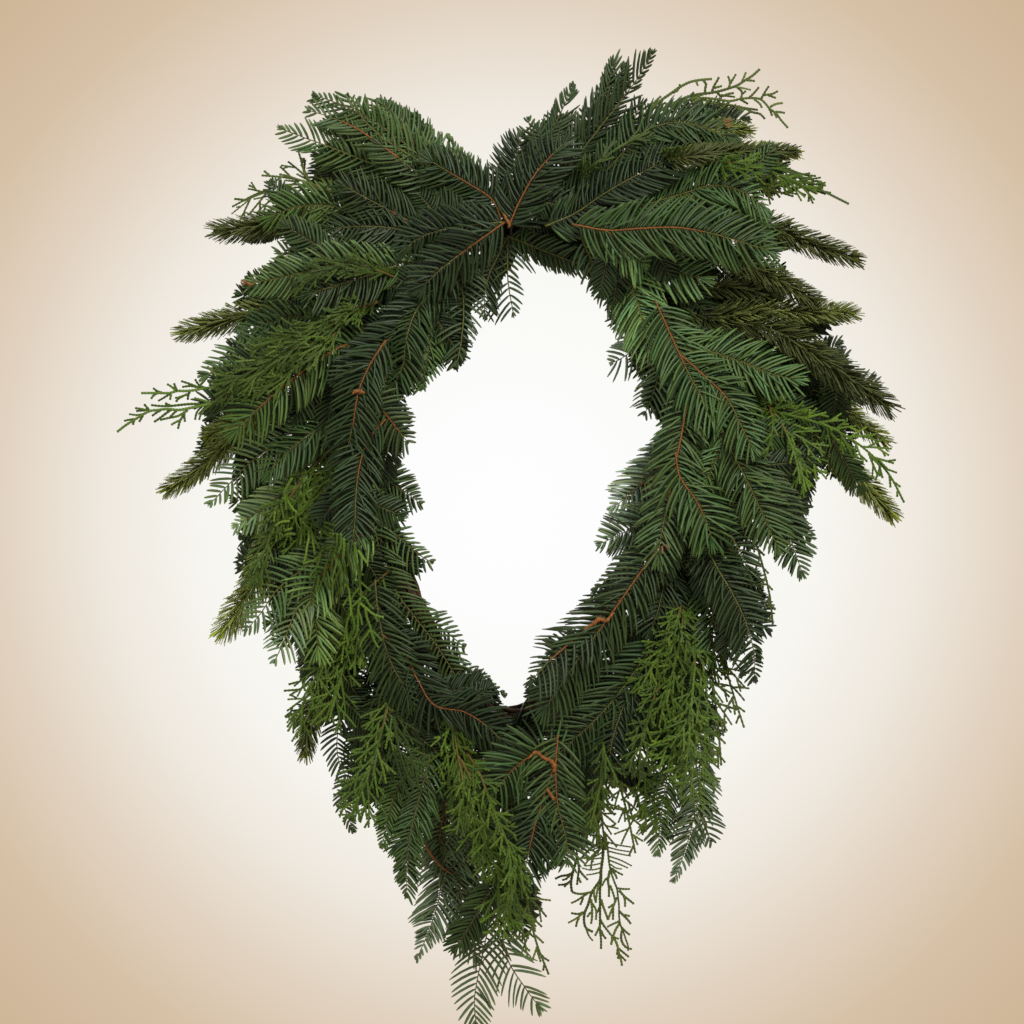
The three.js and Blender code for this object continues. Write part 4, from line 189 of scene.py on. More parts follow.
        ("b7", 23.4, 18.7, 0.38, 0.2, 0, [(-50.3, -23.1, -497.2), (-49.3, -19.3, -526.1), (-48.6, -16.1, -554.9), (-47.9, -13.7, -583.8), (-46.8, -12.2, -612.5), (-44.4, -11.1, -641.2), (-38.5, -9, -669.5), (-28, -5.7, -696.6)], ((1, 1, 1, 1, 0.97), (1, 1, 1, 1, 0.55))),
        ("b6", 19.8, 15.9, -0.20, 0, 1, [(-53.1, -17.5, -526), (-60.2, -13.2, -556.6), (-63.9, -9.8, -587.5), (-50.9, -7.2, -615.7), (-33.4, -4.6, -641.6)]),
    ]),
    ("fir_spray_19", "F", [
        ("b6", 25.2, 20.1, 0.14, 0.6, 0, [(-9.8, -31.6, -486.3), (-8.6, -30.1, -516.5), (-8.1, -28.6, -546.8), (-8.6, -27.6, -577.1), (-10.3, -26.2, -607.4), (-14.7, -25.1, -637.3), (-21.9, -24.2, -666.7), (-28.2, -23.4, -696.4), (-32.9, -22.8, -726.3), (-29.8, -22.2, -756.2)], ((1, 1, 1.1, 1.15, 0.95), (1, 1, 1.1, 1.15, 0.95))),
        ("b7", 23.4, 18.6, 0.35, 0.7, 0, [(-8.5, -27.6, -574.4), (-9.8, -28.2, -577.8), (-10.3, -29, -605.7), (-10.1, -29.7, -633.6), (-8.7, -30.4, -661.5), (-2.5, -30.9, -688.6), (12.2, -31.3, -712.2), (29.1, -31.7, -734.4)], ((1, 1, 1.1, 1.15, 0.85), (1, 1, 1.1, 1.15, 0.85))),
    ]),
    ("fir_spray_20", "F", [
        ("c5", 30.6, 23.9, -0.07, 0.1, 1, [(41.3, -86.2, -482.6), (39.2, -86.2, -513.8), (41.2, -81.4, -544.9), (48.8, -75.2, -576.4), (51.1, -73.7, -608.1)], ((1, 1, 1, 1, 0.43), (1, 1, 1, 1, 0.49))),
        ("n5", 32.4, 25.3, -0.25, 0, 1, [(37.3, -86.2, -512), (29.1, -84.1, -497.1), (8.5, -82.7, -507.3), (-8.2, -79.7, -524.2), (-23.8, -75.7, -542.4)]),
        ("n2", 27, 21.1, -0.01, 0, 1, [(37.3, -86.2, -512), (28.8, -82, -537.6), (21.2, -80.9, -563), (15, -84.3, -588.6), (11.2, -90.3, -614.2)]),
    ]),
    ("fir_spray_21", "F", [
        ("n3", 30.6, 24, -0.26, 0, 0, [(129.5, -79, -399.4), (111.6, -80.8, -423.5), (93.7, -80.8, -447.6), (73.8, -80.5, -470.1), (51.7, -75, -490.8), (30.9, -73.5, -512.6)]),
        ("n1", 29.7, 23.3, 0.07, 0, 0, [(111.6, -80.8, -423.5), (110.3, -79.2, -434.1), (98.3, -78.4, -459.5), (89.8, -78.3, -486.2), (85.5, -78.5, -514)]),
    ]),
    ("fir_spray_22", "F", [
        ("c3", 30.6, 23.8, -0.12, 0.1, 1, [(131, -84.7, -315.7), (112.2, -95.7, -341.2), (94.1, -95.7, -366.9), (75.9, -95.6, -392.4), (57.4, -93.3, -418), (39.8, -93, -444), (22.8, -94.6, -470.4)]),
        ("b2", 25.2, 19.6, 0.32, 0.6, 1, [(95.6, -95.7, -364.6), (91.6, -92.2, -365.1), (71.9, -91.9, -384.7), (50.6, -96.1, -402.3), (30, -102.4, -420.5), (12.3, -108.2, -441.6)], ((1.05, 1.12, 1.08, 0.58, 0.35), (1.2, 1.2, 1.2, 1.2, 1.2))),
    ]),
    ("fir_spray_23", "F", [
        ("a7", 19.8, 15.8, -0.42, 0.4, 0, [(144.2, -31.1, -383.3), (150.8, -25.9, -413.6), (158.1, -21, -444), (164.8, -16.8, -474.4), (169.6, -13.4, -505.2), (169.6, -11.7, -536.2), (164, -10.4, -566.7), (155.5, -7.8, -596.8), (144.8, -3.5, -626.2)], ((1.2, 1.2, 1.2, 1.2, 0.55), (1.2, 1.2, 1.1, 1.2, 0.5))),
        ("a4", 18, 14.4, -0.29, 0.7, 0, [(169.5, -13.4, -503), (167.1, -10.5, -509.1), (169.7, -8.8, -537.1), (174.5, -6.9, -564.7), (182.9, -3.7, -591.5)], ((1.2, 1.2, 1.2, 1.2, 0.4), (1.15, 0.75, 1.2, 1.15, 0.35))),
        ("c8", 19.8, 15.8, -0.42, 0.3, 0, [(158, -21, -442.9), (152.5, -18.4, -469.2), (146.8, -16.1, -495.5), (141.4, -14.2, -521.8), (136.9, -12.7, -548.3), (133.9, -11.4, -575.2), (131.3, -10.4, -602.1)], ((1.2, 1.2, 1.2, 1.2, 0.5), (1.2, 1.2, 1.2, 1.2, 0.5))),
    ]),
    ("fir_spray_24", "F", [
        ("c2", 27, 21.1, -0.07, 0.3, 0, [(160.1, -67.5, -280.5), (168.7, -69.7, -308.2), (179.9, -91.2, -333.9), (194.3, -95.3, -358.4), (206, -96.1, -384.5), (213.1, -96.1, -412.4), (214, -75.4, -442.4)], ((1, 1, 1, 1, 0.65), (1, 1, 1, 0.38, 0.35))),
        ("c3", 18, 14.1, 0.22, 0.4, 0, [(160.1, -67.5, -280.5), (173.3, -79.8, -296.7), (191.8, -88.1, -307.4), (203.2, -88.6, -325.6), (209.9, -88.6, -346.4)]),
        ("n5", 23.4, 18.4, -0.34, 0.3, 0, [(169.2, -69.7, -308.1), (174.6, -61.5, -336.4), (177.8, -64.1, -364.8), (178.5, -70.7, -393.2), (177.5, -72.2, -421.7)]),
        ("n1", 26.1, 20.5, -0.24, 0, 0, [(173.3, -79.8, -296.7), (154.6, -68.5, -304.5), (143.9, -65.2, -327.6), (135.2, -72.2, -351.4), (128.6, -86.3, -375.5), (119.5, -86.3, -399.1)]),
    ]),
    ("fir_spray_25", "F", [
        ("c5", 27.9, 21.7, -0.02, 0.1, 1, [(157.6, -80.9, -183.6), (151.6, -88.7, -209.1), (146.3, -94, -234.4), (141.4, -92.1, -259.7), (135.8, -95.1, -284.9), (130.9, -101.6, -310.1), (126.6, -101.6, -335.5)]),
        ("n5", 30.6, 23.8, -0.29, 0, 1, [(144, -94, -233.9), (148, -97.2, -256.3), (161.5, -101.8, -276.3), (171.8, -101.8, -298.2), (178.6, -98.4, -321.7)]),
    ]),
    ("fir_spray_26", "F", [
        ("a9", 21.6, 17.1, -0.05, 0.4, 1, [(160, -35.6, -208.9), (143.8, -40, -230.9), (127, -40.7, -252.1), (107, -43.5, -270.1), (85.8, -46.1, -286.4)], ((1.17, 1.2, 1.2, 1.01, 0.35), (1.2, 1.2, 1.2, 1.2, 1.2))),
        ("a7", 21.6, 17.1, -0.27, 0.3, 1, [(144.4, -40, -228.3), (145.9, -46.1, -255.8), (140.1, -50.2, -281.8), (117.9, -55, -295.7), (94.5, -59, -307.4), (70.9, -62.2, -318.7)], ((1.2, 1.2, 1.2, 1.13, 0.42), (1.2, 1.2, 1.2, 1.2, 0.51))),
        ("a5", 18, 14.2, 0.17, 1, 0, [(145.3, -46.1, -254.5), (144, -48.9, -282.7), (136, -52.6, -309.4), (114, -55.9, -326.5), (91.3, -58.4, -342.7), (69.2, -60.4, -359.7)], ((1.2, 1.2, 1.2, 0.6, 0.35), (1.2, 1.2, 1.2, 1.2, 1.2))),
    ]),
    ("fir_spray_27", "F", [
        ("c5", 26.1, 20.4, 0.03, 0.1, 0, [(171.6, -68, -187.6), (185.1, -77.1, -215.4), (199, -84, -242.8), (212.3, -93.7, -270.3), (225, -93.7, -298.3), (237.8, -93.6, -326.1)], ((1, 1, 1, 1, 0.6), (1, 1, 1, 1, 1))),
        ("n6", 25.2, 19.7, -0.25, 0, 0, [(184.7, -77, -213.8), (189.2, -78.9, -227.4), (180.7, -80, -240.5), (173.9, -80, -254.5), (168.2, -80, -269)]),
        ("b4", 23.4, 18.3, 0.10, 0.3, 0, [(184.7, -77.1, -213.8), (200.4, -79.3, -234.2), (216.2, -81.6, -254.6), (230.7, -84.2, -275.9), (241.3, -88.6, -299.6), (249.8, -94, -324.1), (257.7, -99.2, -348.6)], ((1, 1, 1, 1, 0.55), (1, 1, 1, 1, 0.43))),
    ]),
    ("fir_spray_28", "F", [
        ("n5", 30.6, 23.9, -0.33, 0, 1, [(126.8, -80.5, -100), (137.3, -81.8, -123.7), (147.8, -85.1, -147.4), (158.9, -89.5, -170.8), (172.1, -89.6, -193), (186.1, -89.6, -214.7)]),
        ("n6", 28.8, 22.6, -0.22, 0, 0, [(137.3, -81.8, -123.7), (156.2, -80.4, -142.3), (182.6, -73.9, -146.8), (207.7, -72.3, -155.9), (232.4, -74.5, -165.5), (258.2, -77.8, -171.2)]),
        ("n5", 26.1, 20.4, -0.16, 0, 1, [(147.8, -85.1, -147.4), (169.4, -86.1, -166.6), (189.7, -88.4, -187.1), (202.5, -92.6, -212.8), (215.3, -98.1, -238.5)]),
    ]),
    ("fir_spray_29", "F", [
        ("a9", 19.8, 15.7, -0.27, 0.7, 0, [(133.2, -35, -113.2), (122.8, -34.4, -126.6), (112, -32.2, -139.5), (98.2, -31.2, -149.5), (82.6, -31.3, -157)], ((1.2, 1.2, 0.96, 0.64, 0.35), (1.2, 1.2, 1.2, 1.14, 0.35))),
        ("b7", 19.8, 15.7, 0.42, 0.5, 0, [(133.2, -35, -113.2), (135.1, -35.8, -137.1), (132.5, -35.8, -161), (126.2, -33.8, -183.9), (116.4, -32.7, -205.6)], ((1.2, 1.2, 1.2, 1.05, 0.46), (1.2, 1.2, 1.2, 1.2, 0.35))),
    ]),
    ("fir_spray_30", "F", [
        ("n4", 30.6, 23.7, -0.12, 0, 1, [(53.3, -106.3, -35.3), (83.7, -107.9, -40.9), (114.7, -107.9, -39.2), (145.7, -107.9, -38.6), (176.3, -106.9, -44), (206.2, -106.3, -52.8), (235.9, -106.2, -61.5)]),
        ("n7", 25.2, 19.6, -0.27, 0, 1, [(82.4, -107.9, -40.8), (92.4, -104.1, -48), (102.1, -98.8, -55.7), (111.1, -95.5, -64.2), (120.6, -82.7, -72)]),
    ]),
    ("fir_spray_31", "F", [
        ("n8", 28.8, 22.7, 0.05, 0, 0, [(61.4, -51, -39.4), (88.4, -52, -47.9), (101.9, -58.2, -72.5), (111.2, -66.1, -99.4), (118.2, -73, -126.9), (124.9, -78.7, -154.2)]),
        ("n8", 28.8, 22.7, -0.15, 0, 0, [(88.1, -52, -48), (108.8, -56.5, -60.9), (130.7, -62.8, -71.1), (154.2, -68.4, -76.3), (177.5, -72.9, -82.7)]),
        ("b6", 19.8, 15.6, 0.15, 1, 0, [(61.4, -51, -39.4), (72.2, -51.9, -63.5), (86.1, -54.5, -86), (99, -58.8, -109.2), (107.6, -63.6, -134.1)], ((1.2, 0.96, 0.91, 0.91, 1.2), (1.2, 1.2, 1.2, 1.2, 1.2))),
    ]),
    ("fir_spray_32", "F", [
        ("n5", 27, 21.1, -0.13, 0.1, 0, [(29.9, -82.1, -35), (59.5, -83.5, -26.4), (89.5, -85.8, -19.7), (120, -85.8, -15.6), (149.5, -87.3, -7.3), (178.7, -91.6, 0.1), (207.1, -97.4, -8.3), (228.4, -103, -29.1)], ((1, 1, 1, 1, 1), (1, 1, 1, 1, 0.35))),
        ("n1", 27, 21.1, -0.42, 0, 0, [(29.9, -82.1, -35), (56.1, -87.2, -24.3), (79.7, -94, -8.8), (104.5, -94.3, 5.6), (130.2, -94.3, 18.4), (156.9, -94.2, 28.8)]),
    ]),
    ("fir_spray_33", "F", [
        ("n3", 26.1, 20.5, -0.23, 0.1, 0, [(34.6, -62.3, -23.5), (58.3, -68.4, -8.4), (79.6, -74.5, 9.3), (98.3, -79.6, 29.7), (118.8, -79.6, 49), (145.7, -79.6, 56.8), (174.6, -72.6, 51.6), (202, -69.5, 40.5)]),
    ]),
    ("fir_spray_34", "F", [
        ("a4", 27, 21.4, 0.31, 0.6, 0, [(-2.7, -39.8, -40.3), (-3.2, -39.7, -60.2), (-2.7, -38.8, -80.1), (0.3, -39.1, -100.1), (4.3, -40.2, -120)], ((1.2, 1.2, 1.2, 0.98, 0.35), (1.2, 0.41, 0.55, 0.35, 0.35))),
        ("b1", 18, 14.3, -0.25, 0.4, 0, [(-2.7, -39.8, -40.3), (-11.5, -40.5, -58), (-20, -38, -75.7), (-23.6, -37.5, -95.5), (-22.6, -38.3, -116.3)], ((1, 1, 1, 1, 0.35), (1, 1, 1, 1, 1))),
        ("c4", 18, 14.3, 0.34, 0.4, 0, [(-2.7, -39.8, -40.3), (18.8, -39.7, -49.2), (40.3, -39.8, -57.7), (62.1, -40.8, -65.9), (83.8, -42.3, -74.1)], ((1, 1, 0.85, 0.85, 1), (1, 1, 1, 1, 1))),
        ("a4", 21.6, 17.1, -0.13, 0.9, 0, [(-13.2, -40.5, -57.7), (-40.9, -43, -49), (-44, -46.1, -76.4), (-42.1, -50.1, -105.5), (-44.1, -53.5, -134.2), (-49.6, -56.2, -162.4)], ((1.2, 1.2, 1.2, 1.2, 0.72), (1.2, 1.2, 1.13, 0.63, 0.35))),
        ("n6", 19.8, 15.7, -0.25, 0.3, 0, [(-42.2, -43, -50.4), (-49.9, -46, -76.8), (-60.9, -50, -102.1), (-70.2, -53.6, -128), (-75.3, -56.3, -154.8), (-79.1, -58.5, -181.7)], ((1, 1, 1, 1, 1), (1, 1, 1, 1, 0.37))),
    ]),
    ("fir_tip_01", "B", [
        ("w4", 17.1, 16.2, 0.00, 0, 0, [(-99.2, -35.6, -43.5), (-126.2, -35.6, -32.6), (-153.7, -35.3, -23.5), (-182.6, -34.4, -22.8), (-211.3, -30.7, -27.3), (-239.7, -28.8, -32.6), (-268.6, -28.5, -34.6)]),
    ]),
    ("fir_tip_02", "B", [
        ("a6", 17.1, 16.2, 0.00, 0, 0, [(-103.8, -32.2, -88), (-131.8, -32.2, -92.7), (-160.1, -23.7, -96.7), (-188.5, -17.9, -100.7), (-217, -14.3, -105.1), (-245, -11.6, -111), (-272.8, -9.5, -118.2), (-300.4, -7.8, -126.1)]),
    ]),
    ("fir_tip_03", "B", [
        ("a7", 16.2, 15.4, 0.00, 0, 0, [(-133.3, -32.4, -168.5), (-161.4, -32.4, -177), (-189.6, -25.2, -186.5), (-216.9, -20, -198.3), (-242.6, -17.3, -213.1), (-264.2, -15.3, -233.4), (-287.5, -13.7, -251.9), (-312.1, -12.3, -268.4)]),
        ("w8", 12.6, 12, 0.00, 0, 0, [(-218.7, -20, -198.8), (-234, -17, -202.4), (-249.2, -14.8, -206.7), (-263.2, -13.2, -213.6), (-276.6, -11.9, -221.8)]),
    ]),
    ("fir_tip_04", "B", [
        ("w8", 19.8, 18.7, 0.00, 0, 0, [(-132.8, -45.2, -240.3), (-157.9, -45.2, -255), (-180.1, -37.8, -274.7), (-200, -34.2, -296.4), (-215.9, -33.7, -321.3), (-228.2, -33.9, -348.1), (-243.5, -34.1, -373.4), (-260.4, -34.2, -397.5)]),
    ]),
    ("fir_tip_05", "B", [
        ("a5", 15.3, 14.5, 0.00, 0, 0, [(-112.9, -29.7, -356.5), (-131.3, -32.1, -377.6), (-146.7, -32.1, -401.1), (-159.7, -32.1, -426.2), (-171.3, -31, -452), (-180.7, -29, -478.8), (-184.5, -25.8, -507.2)]),
    ]),
    ("fir_tip_06", "B", [
        ("a7", 17.1, 16.2, 0.00, 0, 0, [(151.1, -35.2, -146.3), (178.2, -35.2, -159.9), (205.4, -29.7, -173.8), (231.8, -27.2, -189), (257.3, -25.9, -205.8), (280.6, -24.9, -225.5), (302, -24.2, -247.3), (323.4, -23.6, -269.2), (344.4, -23, -291.4)]),
        ("a7", 14.4, 13.6, 0.00, 0.3, 0, [(205.9, -29.7, -173.3), (213.1, -27.2, -170), (240.3, -26, -176), (267.1, -25.1, -183.3), (292.9, -24.4, -193.8), (316.4, -23.9, -209.4), (339.2, -23.5, -226.1)]),
    ]),
    ("fir_tip_07", "B", [
        ("w3", 19.8, 18.5, 0.00, 0.1, 0, [(124.3, -36, -88.2), (147.6, -42.5, -102.7), (172.2, -48.4, -113.9), (198.8, -52.3, -117.7), (225.1, -57.2, -122.4), (249.3, -61.9, -134.3), (271.6, -65.8, -149.6), (293.8, -69.2, -165.1), (315.7, -72, -181.1), (337.5, -74.3, -197.2)]),
        ("a6", 14.4, 13.5, 0.00, 0.2, 0, [(173.1, -48.4, -112.6), (200, -51, -109.8), (226.9, -54.4, -108.3), (253.9, -57.5, -108.7), (280.7, -59.8, -109.7), (307.6, -61.7, -110.6)]),
        ("a3", 16.2, 15.2, 0.00, 0.2, 0, [(148.1, -42.5, -102), (159.1, -45.8, -88.4), (185.1, -50.1, -85.5), (211, -53.7, -88.4), (235.3, -56.4, -98.5)]),
    ]),
    ("fir_tip_08", "B", [
        ("a4", 16.2, 15.3, 0.00, 0, 0, [(79.6, -33.5, -38.8), (109.4, -35.5, -40.4), (138.9, -43.4, -41.7), (168.4, -40, -38), (197.3, -41.7, -31.7), (226.6, -44.1, -31.8), (254.6, -46.2, -42.4), (282.4, -47.8, -53), (310.8, -49.2, -62.5)]),
        ("a4", 15.3, 14.3, 0.00, 0, 0, [(140.4, -43.4, -40.3), (163.1, -53, -49.3), (185.8, -61, -58.1), (208.4, -62.8, -67.4), (230.4, -65.2, -78.4), (251.8, -68.2, -90.3), (273.5, -68.2, -102)]),
    ]),
    ("fir_tip_09", "B", [
        ("a8", 13.5, 12.7, 0.00, 0.5, 0, [(43.8, -35.4, -12.2), (66.9, -35.8, 3.2), (92.1, -35.8, 14.7), (118.7, -35.8, 23), (145.7, -34, 30), (173.1, -33.3, 35.1), (200.9, -33.5, 36.2), (228.8, -33.8, 35.5), (256.6, -34.1, 33.8)]),
        ("a7", 12.6, 11.9, 0.00, 0.2, 0, [(92.1, -35.8, 15.1), (111.5, -36.1, 33.3), (135.5, -36.9, 45.1), (161.2, -38.2, 53.2), (188, -39.6, 55.8), (215.2, -40.8, 52.8)]),
    ]),
]
# Side shoots, by spray: tone, needle reach, stem line. Their tones are mostly low levels: painted shade behind the main
# shoots.
UNDERGROWTH = {
    "fir_spray_24": [("n1", 15.7, [(132.6, -77.8, -361), (108.3, -72.4, -392), (80.1, -70, -424.2)]),
        ("n1", 18.6, [(175.1, -61.9, -341.1), (204.6, -40.8, -359.8), (230.6, -22.6, -381.2)]),
        ("c1", 17.5, [(198, -95.4, -363), (194.6, -88, -387.2), (189.8, -83.6, -413.4)]),
        ("c1", 13.3, [(180, -89.5, -331.7), (200.4, -87.1, -342.2), (220.9, -87.7, -354.1)]),
        ("n3", 15.1, [(158.6, -70.9, -302.8), (131.1, -45.3, -292.9), (105, -22.6, -287.6)]),
        ("n1", 18.8, [(139.9, -68.4, -338.5), (147, -68.3, -376.9), (155.5, -71.1, -418.2)]),
        ("c1", 17.9, [(161.2, -68.5, -281.8), (169, -71.2, -321.7), (174.5, -77, -365.8)])],
    "fir_spray_28": [("n2", 17.1, [(203.6, -72.6, -154.4), (240.6, -53.7, -156.7), (276.1, -37.8, -165.8)]),
        ("n3", 17.3, [(174.3, -76, -145.4), (206.2, -51.4, -135.6), (237.3, -29.9, -132.5)]),
        ("n3", 18.7, [(184.3, -87.8, -181.7), (171.6, -71.9, -210.7), (160.8, -59, -239.8)]),
        ("n3", 17.8, [(162.7, -78.8, -143.4), (191.1, -53.7, -134.9), (219.3, -31.7, -129.3)]),
        ("n3", 18.9, [(142.6, -81.4, -128.9), (175.8, -66.4, -140.9), (211.6, -54.3, -152.3)]),
        ("n3", 16, [(161.2, -89.5, -174.6), (147.3, -75.6, -209.4), (133.5, -64.7, -246.4)]),
        ("n3", 18.1, [(203.2, -92.9, -214.2), (236.6, -73.7, -219.2), (268.9, -57.5, -226.8)]),
        ("n4", 16.4, [(162.4, -78.9, -143.4), (176.1, -53.1, -174.8), (189.1, -30.2, -211.5)])],
    "cedar_spray_09": [("c2", 18.5, [(76.8, -33.4, -522.2), (62.2, -18.1, -556), (50.9, -5.9, -591.6)]),
        ("c2", 18.5, [(75, -32.1, -507.8), (101.7, -19.7, -520.9), (131.8, -10.4, -535.3)]),
        ("c2", 17.4, [(76.8, -33.4, -522.7), (64.2, -18.4, -555.9), (52, -6.5, -591.3)]),
        ("n3", 13.3, [(71.6, -29.6, -458.1), (67.4, -18.6, -484.1), (58.1, -9, -503.9)]),
        ("n2", 17.1, [(70.8, -29.4, -446.1), (41, -25.1, -443.7), (17, -14.8, -446.9)]),
        ("n2", 15.9, [(71.6, -29.6, -458.1), (76.1, -26.9, -489.4), (74.9, -20.8, -515.1)]),
        ("n3", 16.8, [(70.8, -29.4, -446.1), (45.8, -18, -460.8), (27.2, -16.6, -480.5)]),
        ("n2", 17.4, [(70.8, -29.4, -446.1), (78.8, -27.5, -479.3), (80.6, -24.8, -507.6)]),
        ("n2", 14.9, [(70.8, -29.4, -446.1), (50.8, -27, -461.1), (37.7, -17.1, -480.3)]),
        ("n2", 16.8, [(70.8, -29.4, -446.1), (82.9, -24, -478.6), (88.2, -19.3, -506.9)])],
    "fir_spray_09": [("c3", 13.6, [(-227.7, -29.4, -237.2), (-231.8, -7.7, -275.2), (-234.2, -3.5, -317.7)]),
        ("c2", 15.9, [(-195.2, -36.2, -217.9), (-198.3, -12.3, -255.2), (-199.4, -3.5, -299)]),
        ("c3", 16.7, [(-217.4, -31.2, -230.1), (-247.6, -17.4, -220.5), (-278.4, -6.6, -212)]),
        ("c2", 14.7, [(-181.6, -40, -211.9), (-211.7, -16.6, -197.1), (-241.9, -4, -184)]),
        ("c3", 13.6, [(-227.7, -29.4, -237.2), (-231.8, -7.7, -275.2), (-234.2, -3.5, -317.7)]),
        ("n2", 13.3, [(-133.2, -35.8, -197.3), (-116.4, -30, -212.9), (-107.5, -14.8, -227.9)]),
        ("n2", 17, [(-133.2, -35.8, -197.3), (-158.9, -23.7, -214.4), (-176.6, -17.2, -232.1)]),
        ("n3", 13.2, [(-133.2, -35.8, -197.3), (-117.8, -27.4, -214.7), (-110.4, -20, -232.1)]),
        ("n2", 15.8, [(-138.4, -38.5, -198.7), (-164, -35.7, -219.7), (-181.6, -28.1, -240.8)]),
        ("n2", 17.5, [(-133.2, -35.8, -197.3), (-114.4, -20.5, -211), (-103.6, -17.1, -225.1)])],
    "fir_tip_06": [("c2", 15.4, [(269.2, -25.4, -213.6), (264, -9.4, -251.3), (256.2, -4, -294.4)]),
        ("c2", 19, [(246.7, -26.5, -197.2), (241.3, -14.2, -231.8), (235.7, -4.9, -268.7)]),
        ("c2", 18.8, [(281.2, -24.8, -185.1), (307.5, -7.3, -177.7), (333.4, -3.8, -172.8)]),
        ("c2", 14.6, [(230.5, -26.5, -172.7), (264.3, -15, -153.3), (298.9, -6.5, -132.1)]),
        ("c2", 13.9, [(284.9, -24.7, -186.4), (288.9, -8.2, -219.1), (292.4, -4, -255.6)]),
        ("c2", 16.2, [(249.8, -26.3, -199.2), (274.6, -11.9, -205), (298.3, -4, -213.9)]),
        ("c2", 16.7, [(230.8, -26.4, -172.7), (260.5, -11.7, -166.1), (290.3, -4, -160.6)]),
        ("c2", 18.2, [(261.2, -25.3, -179), (286.1, -13.4, -199.6), (310.9, -4.5, -222.9)]),
        ("c2", 18.4, [(251, -25.7, -176.7), (277.8, -8.7, -164.3), (305.3, -4, -150.9)]),
        ("c2", 19, [(247, -25.8, -175.8), (276.4, -13.8, -159.6), (305.3, -4.7, -147.3)]),
        ("c3", 16.6, [(169.1, -35.2, -155), (179.2, -18.9, -193.3), (187.9, -5.6, -236.8)]),
        ("n2", 16.7, [(188.7, -33.2, -164.7), (210.8, -30.3, -183.9), (224.9, -25.2, -203.5)]),
        ("n2", 14.3, [(156.5, -35.2, -148.9), (135.7, -32.4, -172), (122.9, -24.1, -193.8)]),
        ("n3", 16.4, [(172.7, -35.2, -156.8), (200.6, -32.2, -175.3), (220.6, -21.4, -195.4)]),
        ("n2", 17.5, [(151.1, -35.2, -146.3), (136.4, -24.7, -165.6), (129.4, -16.1, -182.6)])],
    "fir_spray_27": [("n3", 18.4, [(179.6, -80, -242.7), (191.3, -63.6, -277.5), (202.2, -50.2, -314)]),
        ("c2", 18.8, [(182.6, -75.6, -209.6), (177.4, -65.8, -250.8), (170.5, -59, -295.3)]),
        ("n3", 15.6, [(173.7, -80, -255.1), (193.8, -65.5, -287.1), (212.3, -54, -320.6)]),
        ("c3", 13.2, [(220.3, -93.7, -285.2), (242.3, -83.5, -297.9), (265.2, -76.3, -311.7)]),
        ("c2", 16.2, [(216.4, -93.7, -276.9), (189.2, -84.1, -304.9), (158.1, -77.4, -336.9)]),
        ("c1", 17.9, [(202.4, -87.2, -248.1), (236.2, -76, -244.3), (273.2, -67.7, -240.9)]),
        ("c3", 18.4, [(216, -93.7, -276), (234.6, -79.4, -290), (254.8, -68, -304.7)]),
        ("n1", 18.2, [(189, -78.8, -226.9), (215.7, -60.1, -247.6), (238.5, -44.3, -270.2)])],
    "cedar_spray_05": [("w2", 17.2, [(-103.6, -56, -474.8), (-117.8, -47, -504.9), (-131.2, -41, -536.9)]),
        ("w1", 17.8, [(-106.8, -51.6, -447.1), (-122.7, -42.1, -471.7), (-141.2, -35.5, -497.4)]),
        ("w1", 16.1, [(-110.6, -56.3, -464.3), (-79.4, -46.9, -489.2), (-45.1, -40.5, -516.9)]),
        ("n2", 14.3, [(-97.3, -41.1, -400.9), (-108.7, -30.3, -425.9), (-113, -12.7, -447.3)]),
        ("n2", 16.6, [(-98.4, -42.4, -406.6), (-108.9, -30, -438.5), (-112.4, -15.8, -466.5)])],
    "fir_spray_31": [("b4", 15.3, [(73.2, -52.6, -68.3), (97.3, -34, -91), (118.4, -18.3, -117.6)]),
        ("n3", 13.1, [(119.4, -59.6, -65.9), (156.5, -52.7, -67.8), (195.4, -48.8, -68.2)]),
        ("n2", 18, [(143.8, -65.9, -74), (163.6, -56, -99.7), (183.3, -49, -127.2)]),
        ("n3", 17.5, [(122.9, -60.6, -67.5), (158.8, -50.2, -50.1), (196.6, -42.8, -31)]),
        ("n3", 14, [(102.3, -59.1, -75.6), (106.1, -37, -107.3), (115.3, -19.6, -133.1)]),
        ("n3", 17.5, [(91.8, -53.7, -54.8), (94.1, -32.9, -80.3), (100.6, -18.8, -98.9)]),
        ("n2", 15.2, [(67.1, -51.2, -41.2), (79.2, -34.3, -70.5), (93.8, -18.4, -92.1)])],
    "fir_tip_07": [("w2", 17.6, [(290.9, -68.3, -156.6), (288.8, -52.8, -184.5), (286.5, -40.3, -214.6)]),
        ("w1", 15.4, [(150.8, -43.1, -103.2), (188.6, -28.7, -90.1), (228.3, -17.2, -75.5)]),
        ("w1", 18.5, [(238.1, -59.3, -124.9), (255.5, -45.3, -158.1), (273.8, -34.2, -191.8)]),
        ("c1", 13.1, [(184.5, -50, -85.6), (215.6, -36, -73.7), (246.6, -25.1, -67.9)]),
        ("w1", 13.4, [(235.2, -58.8, -123.6), (267.4, -43.6, -115.3), (300, -31.4, -108.1)]),
        ("w1", 18.2, [(175.1, -48.7, -112.8), (210, -30.7, -99.8), (245.3, -15.8, -87)]),
        ("w3", 14.4, [(141.3, -40.6, -98), (137.4, -32.8, -122.2), (133, -27.9, -148.6)]),
        ("b1", 18.3, [(192.2, -50.2, -110.8), (219.5, -33.2, -92.9), (247.1, -19.2, -79)]),
        ("w3", 18.2, [(200.8, -52.4, -115.8), (221.5, -34.4, -148), (241.7, -19.4, -186.4)]),
        ("w3", 16.7, [(145.6, -41.8, -100.5), (149.3, -29.6, -139.6), (151.2, -20.4, -184.3)]),
        ("w1", 15.2, [(240.8, -59.9, -126.2), (261.9, -49.6, -122.1), (283.3, -42.4, -118.5)]),
        ("w3", 18.7, [(144.5, -41.5, -99.9), (170, -30.3, -128), (197.4, -22.2, -154.9)]),
